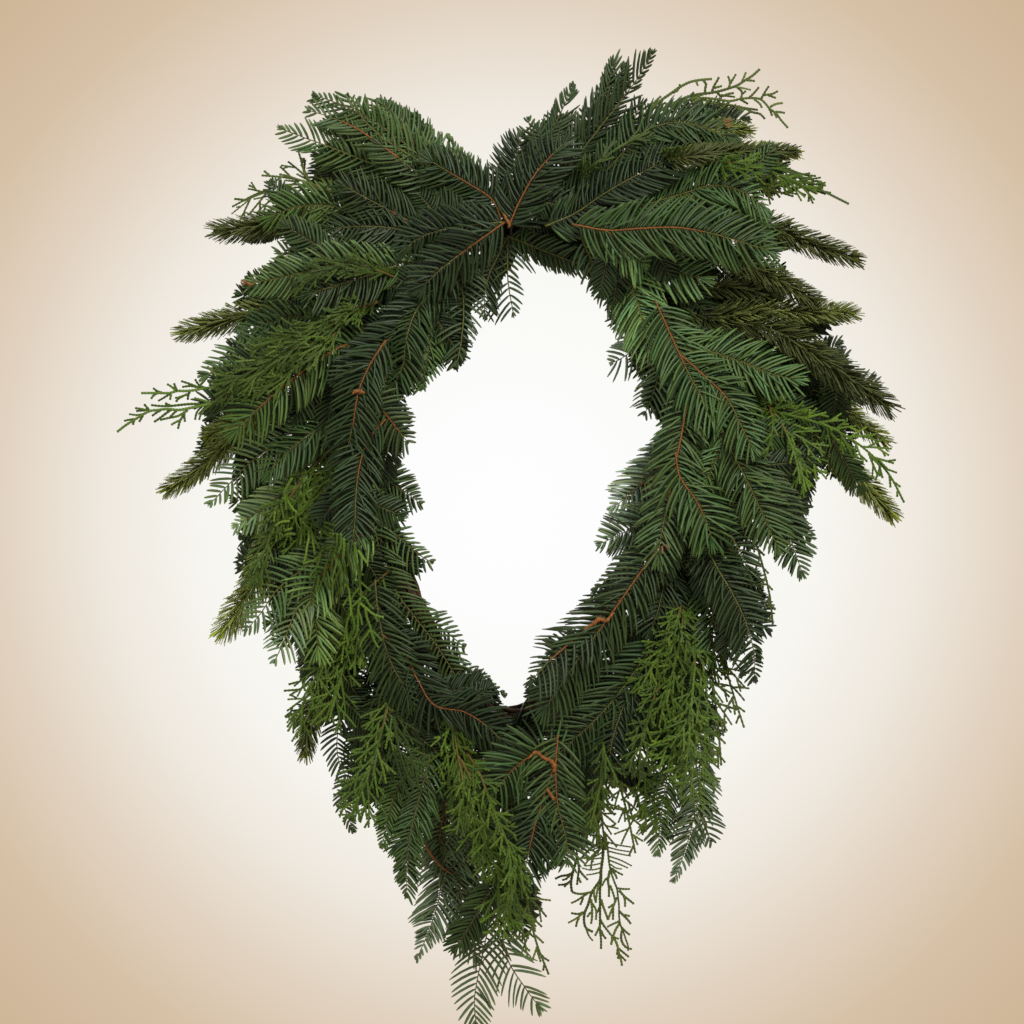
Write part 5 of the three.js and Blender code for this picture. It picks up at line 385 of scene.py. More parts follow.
        ("n3", 16.2, [(160.5, -45.4, -107.2), (189.7, -27.9, -115.9), (211.8, -18.3, -128.2)]),
        ("n2", 14.7, [(151.8, -43.6, -97.4), (183.2, -25, -101.2), (207.7, -9.2, -109.2)]),
        ("n3", 14.8, [(124.3, -36, -88.2), (116.6, -26, -118.8), (115.6, -19.4, -144.8)]),
        ("n2", 15.7, [(134.4, -38.8, -94.1), (169.1, -22.3, -96.1), (197.5, -13.3, -102.9)]),
        ("n2", 15.7, [(124.3, -36, -88.2), (117, -19.3, -120.6), (116, -9.2, -148)])],
    "fir_spray_13": [("c2", 17.7, [(-193.4, -63.6, -340.9), (-219.4, -45.1, -333.2), (-245.9, -29.6, -326.4)]),
        ("b4", 16.3, [(-180.9, -63.1, -363.1), (-177.9, -48.7, -402.4), (-177, -37.4, -442.5)]),
        ("w3", 16.4, [(-173.1, -64, -384.1), (-154, -46.1, -413.6), (-138.5, -31.2, -445.9)]),
        ("w1", 18.9, [(-138.1, -68.9, -311.3), (-120.5, -49, -343.5), (-101.8, -32, -379)]),
        ("c3", 18.6, [(-165.5, -64.5, -322.6), (-195.6, -48.6, -303.9), (-225.1, -35.7, -288.5)]),
        ("w3", 19, [(-166.4, -69.2, -343.2), (-144.7, -58.1, -377), (-120.3, -50.1, -414.7)]),
        ("c2", 16.9, [(-177.1, -64.1, -330.3), (-210.6, -45.1, -332.8), (-244.5, -29.1, -337)]),
        ("b4", 18.2, [(-175.7, -63.9, -355.8), (-177.9, -47.6, -385.4), (-177.9, -34.3, -418.5)]),
        ("b3", 18.1, [(-144.7, -68.5, -318.7), (-148.9, -54.5, -357.7), (-154.7, -43.4, -397.8)])],
    "fir_tip_09": [("b3", 18.7, [(182.8, -33.4, 36.5), (217.4, -20.3, 24.9), (252, -10.3, 9.6)]),
        ("b3", 18.9, [(188.2, -33.4, 36.7), (216, -17.7, 22.2), (243.7, -4.9, 7)]),
        ("c3", 17.6, [(157.9, -38, 55.1), (175.6, -29.4, 66.6), (193.7, -23.7, 75.7)]),
        ("b1", 18.6, [(78.2, -35.8, 8.7), (74.5, -15.5, 42.7), (69.2, -4, 77.9)]),
        ("b2", 16.3, [(153.6, -33.8, 32.2), (178.6, -19.6, 50.3), (204.3, -8.5, 62.5)]),
        ("n3", 15.8, [(53.7, -35.6, -5.5), (77.4, -23.5, 13.9), (99.4, -15, 25.4)])],
    "fir_spray_07": [("c3", 18.2, [(-229.3, -34, -146.5), (-249.9, -20, -179.2), (-270, -9, -215.1)]),
        ("n2", 16.5, [(-182.8, -38.6, -112.8), (-203.3, -22.3, -147.9), (-224, -8.9, -188.6)]),
        ("c3", 13.5, [(-210.7, -34.2, -137.5), (-234.2, -16.5, -137.4), (-257, -4, -140.4)]),
        ("n3", 15.2, [(-197.8, -36.5, -112.9), (-228.8, -18.9, -135.3), (-260.1, -4.3, -158.1)]),
        ("n3", 16.7, [(-178.3, -39.3, -113), (-208.1, -25.6, -91.1), (-238, -15, -75.2)]),
        ("n1", 16.8, [(-143.4, -40.8, -113), (-171.1, -29.8, -135.2), (-199.2, -21.8, -161.3)]),
        ("n3", 16, [(-106.3, -37.4, -108), (-92.4, -26.2, -137.9), (-85.7, -21.7, -164.4)]),
        ("n3", 13.1, [(-123.5, -39.4, -112.9), (-154.7, -31.9, -122.2), (-178.6, -16, -134.8)]),
        ("n3", 14.8, [(-112, -38.1, -109.6), (-94.6, -28.4, -135.8), (-84.9, -22.2, -159.6)]),
        ("n3", 15.9, [(-135, -40.8, -116.2), (-162, -28.6, -126.9), (-181.3, -28.2, -140)])],
    "fir_spray_16": [("c2", 16.7, [(-119.4, -35.9, -309.2), (-137.6, -17.3, -340), (-159, -4, -373.8)]),
        ("a1", 17.8, [(-25.4, -34.9, -437.3), (-22.6, -15, -474.5), (-20.1, -4, -514.5)]),
        ("c1", 18.1, [(-119.4, -35.9, -309.2), (-102.2, -28.5, -324.2), (-84.5, -24.1, -340.5)]),
        ("c2", 18.2, [(-124.1, -35.6, -291.1), (-105.6, -25.3, -316.9), (-86.4, -18, -344.3)]),
        ("c1", 16.6, [(-109.9, -37.7, -337.3), (-108.3, -24.7, -368.6), (-104.5, -14.7, -400.8)]),
        ("n3", 15.1, [(-127.2, -35.9, -255.8), (-109.7, -23.6, -272.6), (-100, -13.2, -290.7)]),
        ("n3", 17.7, [(-130.2, -35.8, -258.1), (-152.2, -24.5, -284.8), (-166.2, -13.9, -310.2)]),
        ("n2", 17.2, [(-127.8, -35.5, -275.9), (-148.5, -24.2, -301.1), (-161.4, -21.9, -324.7)]),
        ("n3", 13.8, [(-123.5, -35.6, -293.4), (-143.7, -28.6, -319.2), (-156.2, -18.7, -343.1)]),
        ("n3", 15.3, [(-119, -36, -310.8), (-136.1, -22.4, -338.6), (-145.7, -19, -364.1)]),
        ("n2", 16.9, [(-111.8, -37.3, -333.6), (-130.3, -29, -361.1), (-141.3, -10.1, -386)]),
        ("n2", 17.9, [(-106.3, -38.4, -344.2), (-122.9, -27.9, -371.4), (-132.1, -18.4, -395.8)])],
    "fir_spray_21": [("n1", 16.5, [(122.7, -79.7, -408.6), (90.6, -59.1, -428.8), (55.6, -41.4, -449.1)]),
        ("n1", 14.9, [(81, -80.6, -461.9), (46.4, -69.7, -451.8), (13.1, -61.8, -445.1)]),
        ("n3", 13.7, [(128.9, -79.1, -400.2), (150.5, -70.7, -433.5), (174.9, -65.3, -471.2)]),
        ("n1", 18.9, [(71.9, -80, -471.8), (65.1, -64, -509.9), (58.1, -51, -549.9)]),
        ("n1", 15.8, [(107.8, -79, -439.5), (122.3, -57.7, -471.2), (134.4, -39.3, -504.2)]),
        ("n1", 18.7, [(104.9, -78.8, -445.5), (75.5, -65.1, -472.1), (43.5, -54.4, -499.8)]),
        ("n1", 13.1, [(53, -75.3, -489.6), (41.6, -57.7, -522.3), (27.3, -43.1, -554.3)]),
        ("n2", 17.7, [(53.2, -75.4, -489.4), (25.4, -52.2, -501.8), (-3.7, -32, -515.1)])],
    "fir_spray_34": [("a2", 17, [(-47, -51.3, -120), (-75.1, -38.6, -146), (-99.5, -28.8, -174.8)]),
        ("n1", 13.6, [(-49.7, -46.4, -78.3), (-49.4, -39.9, -118.3), (-52.3, -36.4, -159.4)]),
        ("c1", 15.8, [(-0.5, -39.8, -41.2), (33.7, -19.3, -46.1), (66.3, -4, -57.1)]),
        ("n1", 14, [(-61, -51, -107.9), (-82.8, -43.4, -127.9), (-106.6, -38.7, -149)]),
        ("a1", 16.8, [(-3, -39.8, -43.3), (-12.9, -24.9, -59.6), (-23.6, -13, -77.1)]),
        ("c1", 15.2, [(38.6, -39.9, -57.9), (70.3, -21.8, -46), (103.2, -6.6, -33.2)]),
        ("n2", 13.9, [(2.8, -39.8, -42.7), (-15.6, -33.6, -66.4), (-34.4, -21.9, -82.1)]),
        ("n2", 15.7, [(-5.8, -40, -45.4), (-21.8, -25.7, -69.9), (-38.8, -15.7, -86.5)]),
        ("n2", 16.7, [(-24.8, -41.5, -54.8), (-32.1, -29.3, -77.4), (-42.4, -16, -92.6)]),
        ("n2", 16.8, [(-44, -44.3, -62.2), (-49.6, -34.3, -96.4), (-59.5, -14.1, -123.8)]),
        ("n2", 13.9, [(-45.2, -44.3, -61.9), (-48.5, -35.2, -95.8), (-56.8, -18.4, -123.5)]),
        ("n2", 17.9, [(-52.2, -47.4, -84.6), (-51.1, -35, -117.3), (-56, -17.2, -144.6)])],
    "cedar_spray_07": [("w3", 18.9, [(-10.6, -61, -607.8), (-29.7, -48.6, -643.2), (-52.7, -39.2, -681)]),
        ("c2", 18.4, [(4.1, -39.7, -508.7), (36.4, -21.2, -513.9), (71.4, -5.7, -520.6)]),
        ("w3", 15.7, [(-8.2, -56.5, -586.4), (2.6, -48.8, -624.9), (13.6, -44.2, -665.8)]),
        ("w2", 17.3, [(0.6, -46.1, -544.4), (16.8, -35.3, -573.6), (36, -27.5, -605.3)]),
        ("n3", 14.7, [(0.9, -36.9, -490.4), (-15.9, -22, -518.5), (-34.7, -17.1, -538.9)])],
    "fir_spray_05": [("c4", 16.9, [(-173, -43.5, -48.3), (-203.1, -22, -71), (-232.7, -4, -98.4)]),
        ("c1", 18.1, [(-116.2, -31.1, 15.3), (-145.5, -10.9, 10.8), (-173.9, -4, 5.8)]),
        ("w3", 14.9, [(-171.6, -46.7, -13.6), (-206.3, -26.5, -26.4), (-241.1, -9.3, -37.5)]),
        ("c3", 13.9, [(-168.9, -43.8, -47.5), (-193.5, -27.5, -18), (-218.6, -14.1, 11.9)]),
        ("c3", 15.2, [(-105.1, -31.8, 9.7), (-110.4, -19.7, 47.5), (-114.9, -10.5, 84.6)]),
        ("w3", 14.9, [(-171.6, -46.7, -13.6), (-206.3, -26.5, -26.4), (-241.1, -9.3, -37.5)]),
        ("c2", 16.9, [(-152.8, -27.1, 28.9), (-167, -10.1, 7.4), (-180.6, -4, -13.2)]),
        ("c1", 17.7, [(-116.7, -45.2, -43.1), (-143.5, -26.6, -61.5), (-170.3, -11, -81.8)]),
        ("n3", 14.5, [(-63.4, -38.9, -21.4), (-96.7, -27, -12.9), (-125.9, -24.2, -11.3)])],
    "fir_spray_32": [("n3", 17.9, [(157.7, -88.9, -8.3), (193.5, -81.8, -28.2), (230.2, -77.8, -54.2)]),
        ("n1", 17, [(105.6, -85.8, -19.5), (135.1, -68.7, -3.2), (164.3, -54.6, 13.7)]),
        ("n2", 13.5, [(73.6, -92.3, -12.8), (112.3, -79.1, -20.2), (151.2, -68.9, -30.3)]),
        ("n3", 16.7, [(188.1, -94.1, -8.1), (210, -80.3, 13), (232.9, -69.5, 35.4)]),
        ("n3", 16.5, [(153.4, -88.2, -9.3), (192.2, -75.7, -19.1), (232, -66.2, -35.2)]),
        ("n1", 17.4, [(124.9, -94.3, 15.7), (128.3, -77.7, 41.7), (133.1, -64.2, 62.9)]),
        ("n2", 15.3, [(105, -85.8, -19.6), (125, -75.3, -52.3), (144.9, -67.8, -85.6)]),
        ("n4", 17.1, [(180.6, -92.6, -5.6), (205.4, -77.4, -30), (230.3, -65.2, -55.8)]),
        ("n2", 17.8, [(119.7, -85.9, -17.8), (153.1, -69, -28.7), (186.7, -55.1, -42)])],
    "fir_spray_08": [("w1", 18.7, [(-168, -84.6, -152.5), (-180.6, -74.7, -179.3), (-192.3, -67.8, -209.2)]),
        ("w1", 17.6, [(-147.1, -74.6, -139.8), (-155.9, -72.3, -175.1), (-163.2, -73, -216.2)]),
        ("n2", 17.3, [(-131.5, -67, -180.9), (-113.1, -50.4, -196.3), (-95.6, -36.7, -213.5)]),
        ("w3", 18.8, [(-201.9, -93.1, -178.7), (-239, -78.1, -184.6), (-278.2, -66.1, -190.2)]),
        ("w3", 18.7, [(-186, -90.4, -165.9), (-222, -78.8, -165.3), (-258.4, -70.2, -166.6)]),
        ("w2", 17.4, [(-161.3, -81.3, -148.3), (-191.3, -66.3, -135.4), (-219.4, -54.2, -127.6)]),
        ("n1", 17.9, [(-148, -67.7, -201.7), (-145.3, -52.7, -242.7), (-141.7, -40.7, -287.8)]),
        ("n1", 14, [(-140.1, -70.7, -156.3), (-105.2, -57.6, -159), (-73.8, -47.6, -165.7)]),
        ("w2", 17.7, [(-168.2, -84.7, -152.7), (-207.6, -70.6, -151.4), (-247.8, -59.5, -151.1)])],
    "cedar_spray_03": [("w2", 15.6, [(-146.1, -56.5, -281.3), (-169.7, -44.9, -294.6), (-190.7, -36.4, -310.4)])],
    "fir_spray_03": [("a2", 14.5, [(19.5, -43.3, 45.2), (40.2, -28.9, 56.8), (61.9, -17.4, 67)]),
        ("b2", 16.7, [(77.1, -63.7, 49.7), (88.5, -57.4, 82.1), (100.7, -54, 111.6)]),
        ("a1", 17.2, [(17.3, -46.5, -22.4), (48.1, -33.2, -41.3), (78.5, -22.9, -61.8)]),
        ("a1", 14.1, [(48.1, -47.9, 18.7), (43.3, -35.9, 45.5), (36.4, -26.9, 72)]),
        ("n3", 17.3, [(9.7, -47, -26.4), (30.5, -29.5, -48.5), (51.5, -8.6, -62.6)])],
    "fir_spray_14": [("w1", 15.1, [(-118, -68.2, -370.4), (-95.6, -50.9, -400), (-69.8, -36.5, -431.4)]),
        ("n1", 16, [(-82.2, -65, -435.6), (-84.9, -53.9, -465.1), (-90.1, -45.7, -497.7)]),
        ("n1", 17.8, [(-71.8, -66.6, -451.1), (-45.5, -56.6, -443.5), (-20.3, -49.6, -438.2)]),
        ("n1", 14, [(-46, -69.7, -462.2), (-30.8, -59.9, -450.5), (-15.7, -53.1, -439.8)])],
    "cedar_spray_08": [("w2", 14.9, [(133.7, -59.3, -426.3), (132.5, -44.4, -462), (130.6, -32.4, -499.6)]),
        ("w1", 17.3, [(154.1, -39, -341.1), (124.9, -23.7, -353.1), (93.7, -11.5, -366.9)]),
        ("b1", 16.7, [(162.7, -39.4, -344.2), (193.7, -31.7, -346.9), (224, -26.9, -351.9)]),
        ("w1", 13.6, [(153.2, -44.4, -358.7), (123.2, -28.3, -381.8), (89.2, -15.1, -407.2)]),
        ("b1", 16, [(168.9, -42.8, -356), (201.8, -36.5, -373.2), (232.5, -33.3, -393.8)]),
        ("w1", 16.7, [(153.6, -42.5, -351.1), (135, -37.9, -382.5), (113.8, -36.4, -415.7)]),
        ("w2", 16.8, [(129.7, -61.4, -435.4), (134.7, -58, -474.3), (140.9, -57.6, -516.1)]),
        ("b3", 13.9, [(184.8, -62.8, -458.7), (156.7, -51.8, -476.4), (129.3, -43.7, -496)]),
        ("n2", 16.5, [(154.7, -34.9, -329.6), (162, -23.4, -361.4), (162.1, -10.9, -389.8)]),
        ("n3", 14, [(154.7, -34.9, -329.6), (164.3, -28.2, -352.3), (166.6, -20.1, -371.9)])],
    "fir_spray_11": [("n1", 16.1, [(-117, -82.1, -143.5), (-109.1, -76.1, -176), (-103, -73.1, -208.5)]),
        ("n1", 17.6, [(-87.1, -70.8, -111.9), (-123.7, -54.5, -121), (-158.6, -41.1, -134)]),
        ("n1", 17.8, [(-111.4, -79.8, -137.9), (-99.7, -67.2, -159.7), (-89.9, -57.6, -181.2)]),
        ("n1", 17.5, [(-76.5, -68.5, -99.8), (-60.7, -54.1, -123.5), (-43.1, -42.8, -150.3)]),
        ("n1", 18.6, [(-68.5, -66.7, -89.8), (-55.2, -51.9, -109.8), (-43.7, -40, -129.8)])],
    "fir_tip_02": [("c1", 17.3, [(-104, -32.2, -88), (-133.9, -20.6, -64.9), (-163.5, -12, -46.1)]),
        ("c3", 14.8, [(-207.8, -15.8, -102.3), (-228.4, -4, -95.6), (-249.1, -3.7, -88.3)]),
        ("n2", 17.7, [(-109.7, -32.2, -88.9), (-139.6, -21.9, -94), (-162.4, -18.5, -102.9)])],
    "cedar_spray_11": [("b3", 17.4, [(145.9, -25.8, 63.9), (180.6, -13.8, 66.5), (214.8, -4.9, 68)]),
        ("n2", 13.9, [(30.5, -29.8, -11.7), (55.4, -28, 12.7), (79.3, -15.8, 29.2)]),
        ("n2", 14.9, [(30.5, -29.8, -11.7), (52, -23.3, 11.7), (73.3, -17.9, 27.1)])],
    "fir_spray_15": [("b2", 18.5, [(-136.5, -19.6, -480.1), (-126.4, -4, -514.3), (-115.1, -3.5, -551)]),
        ("a3", 16.8, [(-131.2, -26.8, -425.9), (-161.6, -12, -422.3), (-192.2, -4, -420.5)]),
        ("b2", 18, [(-126.3, -24.1, -443.5), (-159.2, -4, -459.7), (-196.3, -3.5, -477.1)]),
        ("a2", 17.7, [(-131.3, -26.8, -426.1), (-153.2, -10.9, -429.8), (-175.9, -4, -434.3)]),
        ("n3", 16.9, [(-99.1, -31.6, -387.6), (-113.3, -28, -418.7), (-120.2, -26.4, -446.6)])],
    "fir_tip_03": [("c2", 18.8, [(-213.9, -20.9, -196.7), (-215.2, -4, -235.7), (-216.9, -3.5, -276.3)]),
        ("w4", 15.4, [(-232.1, -17.4, -202), (-250.3, -4, -178.5), (-268.6, -3.5, -156.2)]),
        ("w3", 13.3, [(-236, -16.7, -203), (-239.6, -5.8, -232.4), (-243.3, -4, -263.1)]),
        ("w3", 14.8, [(-226.5, -18.5, -200.6), (-254.7, -3.5, -218.4), (-283.6, -3.5, -235.9)]),
        ("n2", 16.2, [(-133.3, -32.4, -168.5), (-115.3, -22.9, -192.5), (-105.1, -15.6, -214.6)]),
        ("n2", 13.1, [(-133.3, -32.4, -168.5), (-164, -28.4, -182.1), (-186.9, -19.7, -197.5)]),
        ("n3", 14.6, [(-133.3, -32.4, -168.5), (-112.6, -21.9, -195.5), (-99.8, -18, -221.1)]),
        ("n3", 15.5, [(-139, -32.4, -170.2), (-164.2, -28.5, -189.2), (-181.4, -23.1, -209.6)])],
    "fir_spray_10": [("n1", 18.8, [(-36.6, -86.5, -34.8), (-53.8, -68.4, -19.2), (-70.9, -53.2, -6.9)]),
        ("n1", 16, [(-56.2, -77.3, -36.8), (-75.4, -55.7, -11.8), (-94.4, -37.1, 10.8)]),
        ("n1", 16.7, [(-58.6, -79.1, -70.6), (-95, -62.8, -83.2), (-132.5, -49.6, -96.6)]),
        ("n1", 16.5, [(-11.7, -89.7, -36.7), (-37.7, -72.1, -34.4), (-63.6, -57.5, -33.8)])],
    "fir_spray_01": [("c4", 13.6, [(-74.3, -37.3, 43.2), (-96.9, -16.9, 62.7), (-117.4, -4, 81.2)]),
        ("c3", 14.2, [(-126.3, -43.4, 63.2), (-153.4, -21.4, 38.5), (-182.3, -4, 8.5)]),
        ("w4", 17.8, [(-89.7, -44.4, 20.5), (-86.8, -28, 43.5), (-84.4, -14.6, 64.4)]),
        ("c1", 18.4, [(-55.1, -43, 0.7), (-90.9, -19.3, 2.3), (-128.4, -4, 0.9)]),
        ("c1", 17.1, [(-23.5, -38.9, -15), (-41, -8.2, 13.1), (-62.4, -3.5, 41.1)]),
        ("c4", 15.7, [(-63.7, -21.7, 39.5), (-92, -5, 49.4), (-117.6, -3.5, 59.3)]),
        ("c4", 14.7, [(-96.9, -37.7, 57.7), (-133, -21.5, 61.5), (-170.8, -8.2, 61.8)]),
        ("c3", 18.1, [(-75.5, -35.8, 45.6), (-109.5, -14.7, 45.8), (-144.4, -4, 43.4)]),
        ("n2", 17.6, [(-20.3, -33.2, -9.6), (-37.9, -18.5, 9.5), (-55.1, -8.1, 20.6)]),
        ("n3", 14.1, [(-23.6, -39.2, -15.3), (-49.7, -25.6, 7), (-74.7, -19.9, 21.4)]),
        ("n3", 16.8, [(-30.3, -43.5, -15.2), (-60.2, -32.3, 0.3), (-87.1, -10.5, 8.3)])],
    "fir_spray_20": [("n2", 15.1, [(29.8, -82.5, -532.9), (36.9, -69.2, -565.3), (44.9, -58.9, -599.9)]),
        ("n2", 15.9, [(19.8, -81.8, -564.9), (-13.2, -69.6, -573.1), (-45.7, -60.4, -583.6)]),
        ("n2", 15.2, [(31.2, -84.6, -501), (3.2, -70.5, -513.9), (-24.1, -59.3, -528)])],
    "cedar_spray_12": [("w2", 17.1, [(164.7, -51.9, 27.2), (192.8, -30, 13.4), (221.5, -11.1, -6.1)]),
        ("w2", 13.7, [(134, -54.8, 20.3), (151, -33.6, 53), (167, -15.4, 86.8)])],
    "fir_tip_08": [("c2", 15.4, [(196.6, -61.5, -59.8), (226.5, -43.4, -46.1), (255.6, -28.3, -36.8)]),
        ("c2", 17.1, [(141.1, -43.7, -40.5), (164.7, -29.5, -8.3), (189.6, -18.3, 25.3)]),
        ("c2", 15.4, [(196.6, -61.5, -59.8), (226.5, -43.4, -46.1), (255.6, -28.3, -36.8)]),
        ("c3", 17.5, [(103.2, -35, -39.5), (115.2, -13.5, -72.1), (127.2, -4, -104.1)]),
        ("n3", 16.6, [(127, -39.9, -40), (160.1, -25.7, -38.5), (187.6, -16.2, -42.5)]),
        ("n3", 14.5, [(115.3, -36.8, -39.8), (147.2, -23.8, -32.9), (174, -15.7, -32.2)]),
        ("n2", 14.5, [(97.6, -34.7, -39.3), (130.3, -30.6, -27.5), (159.2, -16.8, -22.6)]),
        ("n2", 14.4, [(79.6, -33.5, -38.8), (88.2, -32.4, -71.2), (100.1, -22.7, -96.4)]),
        ("n3", 17.5, [(85.6, -33.9, -39), (115, -25.4, -20.4), (141.7, -18.7, -9.3)])],
    "fir_tip_04": [("w4", 17, [(-187.2, -36.7, -281), (-221.2, -20, -276.4), (-253.4, -6.3, -275.8)]),
        ("w2", 18.6, [(-208.7, -34, -307.3), (-187.6, -13.7, -335.6), (-169.6, -4, -364.3)]),
        ("w3", 14.9, [(-207.8, -34, -305.8), (-226.7, -21.5, -307.3), (-245.6, -12.1, -309.9)]),
        ("w2", 15.1, [(-208.4, -34, -306.7), (-202.2, -15.3, -338.5), (-195.9, -4, -372.5)]),
        ("w4", 18.3, [(-223.3, -33.8, -332.9), (-205.8, -20.1, -362.9), (-189.1, -9.3, -394.7)]),
        ("n3", 15.9, [(-132.8, -45.2, -240.3), (-157.7, -35.7, -264.5), (-174.6, -19.3, -288.2)]),
        ("n2", 15.3, [(-138, -45.2, -243.3), (-115.3, -36.2, -261.8), (-100.6, -26.3, -281.3)]),
        ("n3", 17.4, [(-138, -45.2, -243.3), (-158.6, -29.9, -270.2), (-171.3, -18, -296.3)])],
    "fir_spray_29": [("b2", 17.7, [(133.8, -35.8, -142.1), (139.6, -20.5, -172.7), (143.3, -8.2, -205.1)]),
        ("a4", 16.6, [(132.9, -35, -113.6), (111.6, -22.1, -111.1), (88.7, -12.2, -108.7)]),
        ("b3", 18.9, [(133.4, -35.8, -145.7), (158.9, -12.6, -172.3), (183.3, -3.5, -201.2)]),
        ("b2", 15, [(125.3, -34.1, -182.4), (149.4, -13.6, -200.7), (173.3, -4, -221)]),
        ("b2", 14.2, [(133.1, -35.8, -147.9), (142.7, -13.4, -184.8), (154.1, -4, -224.5)]),
        ("n2", 17, [(133.8, -35.4, -125.2), (122, -26.4, -147.2), (117.5, -21.2, -166.1)]),
        ("n2", 16.9, [(133.2, -35, -113.2), (122.9, -33, -139.4), (119.4, -26.2, -161.6)])],
    "fir_spray_22": [("c2", 18.6, [(69.3, -94.5, -401.2), (51.1, -79.3, -406.5), (31.7, -67.1, -412.1)]),
        ("b2", 17.1, [(34.7, -101.1, -413.4), (37.6, -88.3, -443.6), (41, -78.4, -476.2)]),
        ("b2", 17.1, [(34.7, -101.1, -413.4), (37.6, -88.3, -443.6), (41, -78.4, -476.2)]),
        ("b1", 18.5, [(66.1, -93.1, -387.9), (66.3, -78.4, -421.5), (67.1, -66.6, -458)])],
    "cedar_spray_10": [("c3", 15.4, [(212.1, -61.1, -214.1), (246.9, -50.8, -227.8), (278.5, -43.5, -244.5)]),
        ("w3", 16, [(277.2, -72.2, -208.9), (295, -57.8, -239), (313.6, -46.3, -269.7)]),
        ("c2", 15.5, [(204.4, -72.5, -265.6), (232.8, -60.5, -274.4), (264.1, -51.4, -284.2)]),
        ("c3", 17.1, [(207.7, -57.4, -198), (234.7, -51.2, -226.8), (265, -47.9, -256.7)]),
        ("w3", 15.6, [(184.3, -53.5, -178.7), (209.4, -41, -155.4), (234.1, -31.5, -135.1)]),
        ("c1", 14.1, [(198.2, -66.3, -238.7), (229.7, -54, -260.1), (265.2, -44.7, -282.9)]),
        ("c3", 18.2, [(186.5, -55.1, -187.5), (221.2, -44.5, -204.4), (258.6, -37, -222.9)]),
        ("c3", 17.9, [(207.3, -75.1, -277.8), (172.3, -68.1, -299.8), (134.9, -64.2, -324.8)]),
        ("c2", 17.8, [(202.4, -53.5, -183.5), (242.6, -47.4, -194.3), (287.2, -44.2, -205.8)]),
        ("n3", 15, [(185.8, -54.6, -184.7), (203.4, -27.8, -209.5), (213, -11.8, -233.7)]),
        ("n3", 17.1, [(163.8, -47.7, -165.2), (143.4, -37.3, -178.4), (131, -16.2, -192)]),
        ("n3", 13.2, [(168.4, -44.8, -137.8), (198.9, -25.9, -150.9), (222, -18.1, -167.2)])],
    "fir_spray_12": [("n2", 18, [(-135.5, -104.9, -273.7), (-114.7, -91.8, -282), (-92.6, -81.7, -291.8)]),
        ("n1", 18.1, [(-133.2, -96.5, -250.3), (-151.6, -89.8, -273.8), (-170.4, -86.1, -299)]),
        ("b2", 16.5, [(-103.5, -81.6, -214.6), (-110.4, -61.4, -238.1), (-117.4, -44.1, -263.3)])],
    "cedar_spray_06": [("w1", 18.4, [(-53.8, -53.5, -459.3), (-25.7, -37.9, -484.4), (5.9, -25.3, -511.2)])],
    "fir_spray_25": [("n1", 13.3, [(158.6, -100.8, -272), (146.1, -90.9, -309), (131.7, -84, -349.6)])],
    "fir_spray_17": [("n2", 15.6, [(-80.6, -48, -537.4), (-112.8, -29.3, -538.1), (-145.1, -13.5, -540.8)]),
        ("w2", 18.9, [(-82.9, -45.5, -508.3), (-112.8, -33.7, -517), (-143.2, -24.9, -527.2)]),
        ("c1", 16, [(-77.7, -50, -527.7), (-115.4, -41.3, -532.4), (-152.1, -35.6, -539.8)]),
        ("c1", 14.8, [(-60.3, -40.2, -490.2), (-32, -30.7, -516.9), (-2.1, -24.3, -545.5)]),
        ("w2", 13.9, [(-88.5, -46.8, -515.9), (-115.3, -37.9, -510.5), (-144.3, -32, -505.2)]),
        ("n2", 17.4, [(-64, -40.1, -442.6), (-72.9, -35.2, -472.5), (-75.3, -22.5, -497.8)]),
        ("n3", 17.4, [(-65.1, -40.2, -454.5), (-70.8, -25.1, -487.2), (-70.4, -19.2, -514.8)])],
    "fir_spray_06": [("c3", 15.9, [(-159, -75, -69.5), (-172.9, -62.9, -50.6), (-187.2, -53.8, -30.7)]),
        ("w3", 14.8, [(-153.8, -78.3, -87), (-189, -74.5, -80.3), (-223.2, -73.6, -79.3)]),
        ("w1", 15.7, [(-94.2, -59, -36.8), (-112.5, -40.4, -63), (-131.2, -24.9, -93.5)]),
        ("c3", 17.3, [(-146, -72.2, -68.8), (-175.1, -65, -48.4), (-204.3, -60.7, -29.9)])],
    "cedar_spray_04": [("w4", 14.4, [(-145.8, -46.2, -383.1), (-183.5, -24, -384.2), (-223.5, -4.9, -386.5)]),
        ("w1", 15.6, [(-150.6, -51.8, -430.1), (-130.9, -35.5, -459.3), (-109.8, -22.2, -491.1)]),
        ("w1", 17, [(-155.9, -53.9, -446.8), (-128.2, -39, -474.7), (-99.1, -27.2, -505.4)]),
        ("w4", 13.6, [(-139.5, -46.2, -373.7), (-175.6, -29.1, -388.2), (-213.6, -14.9, -403.7)])],
    "fir_spray_30": [("n4", 17.4, [(160.3, -107.3, -41.5), (192, -93.9, -32.5), (224, -83.6, -23.6)]),
        ("n1", 13.4, [(89.1, -105.3, -45.7), (82.5, -92, -72.4), (77.7, -81.7, -98.6)]),
        ("n2", 16, [(94.7, -102.9, -49.8), (93.1, -80.8, -77.5), (91.1, -61.8, -107.6)])],
    "fir_spray_26": [("a1", 13.9, [(91.4, -58.3, -341.1), (91.3, -42.6, -375.9), (93.3, -29.9, -415.6)]),
        ("a1", 13.9, [(91.4, -58.3, -341.1), (91.3, -42.6, -375.9), (93.3, -29.9, -415.6)]),
        ("a3", 16.7, [(144.8, -42.6, -239.6), (169.7, -27.1, -262.8), (191.5, -14.6, -288.2)]),
        ("a3", 15.6, [(155.8, -36.8, -214.1), (161.1, -29.3, -254.7), (169.1, -24.8, -299.7)]),
        ("n3", 16.8, [(103.8, -57, -332.6), (116.8, -37.1, -358.6), (122.6, -15.5, -381.2)]),
        ("n2", 13.1, [(108.7, -56.4, -329.2), (123.9, -35, -359.2), (131.8, -20.3, -385.8)]),
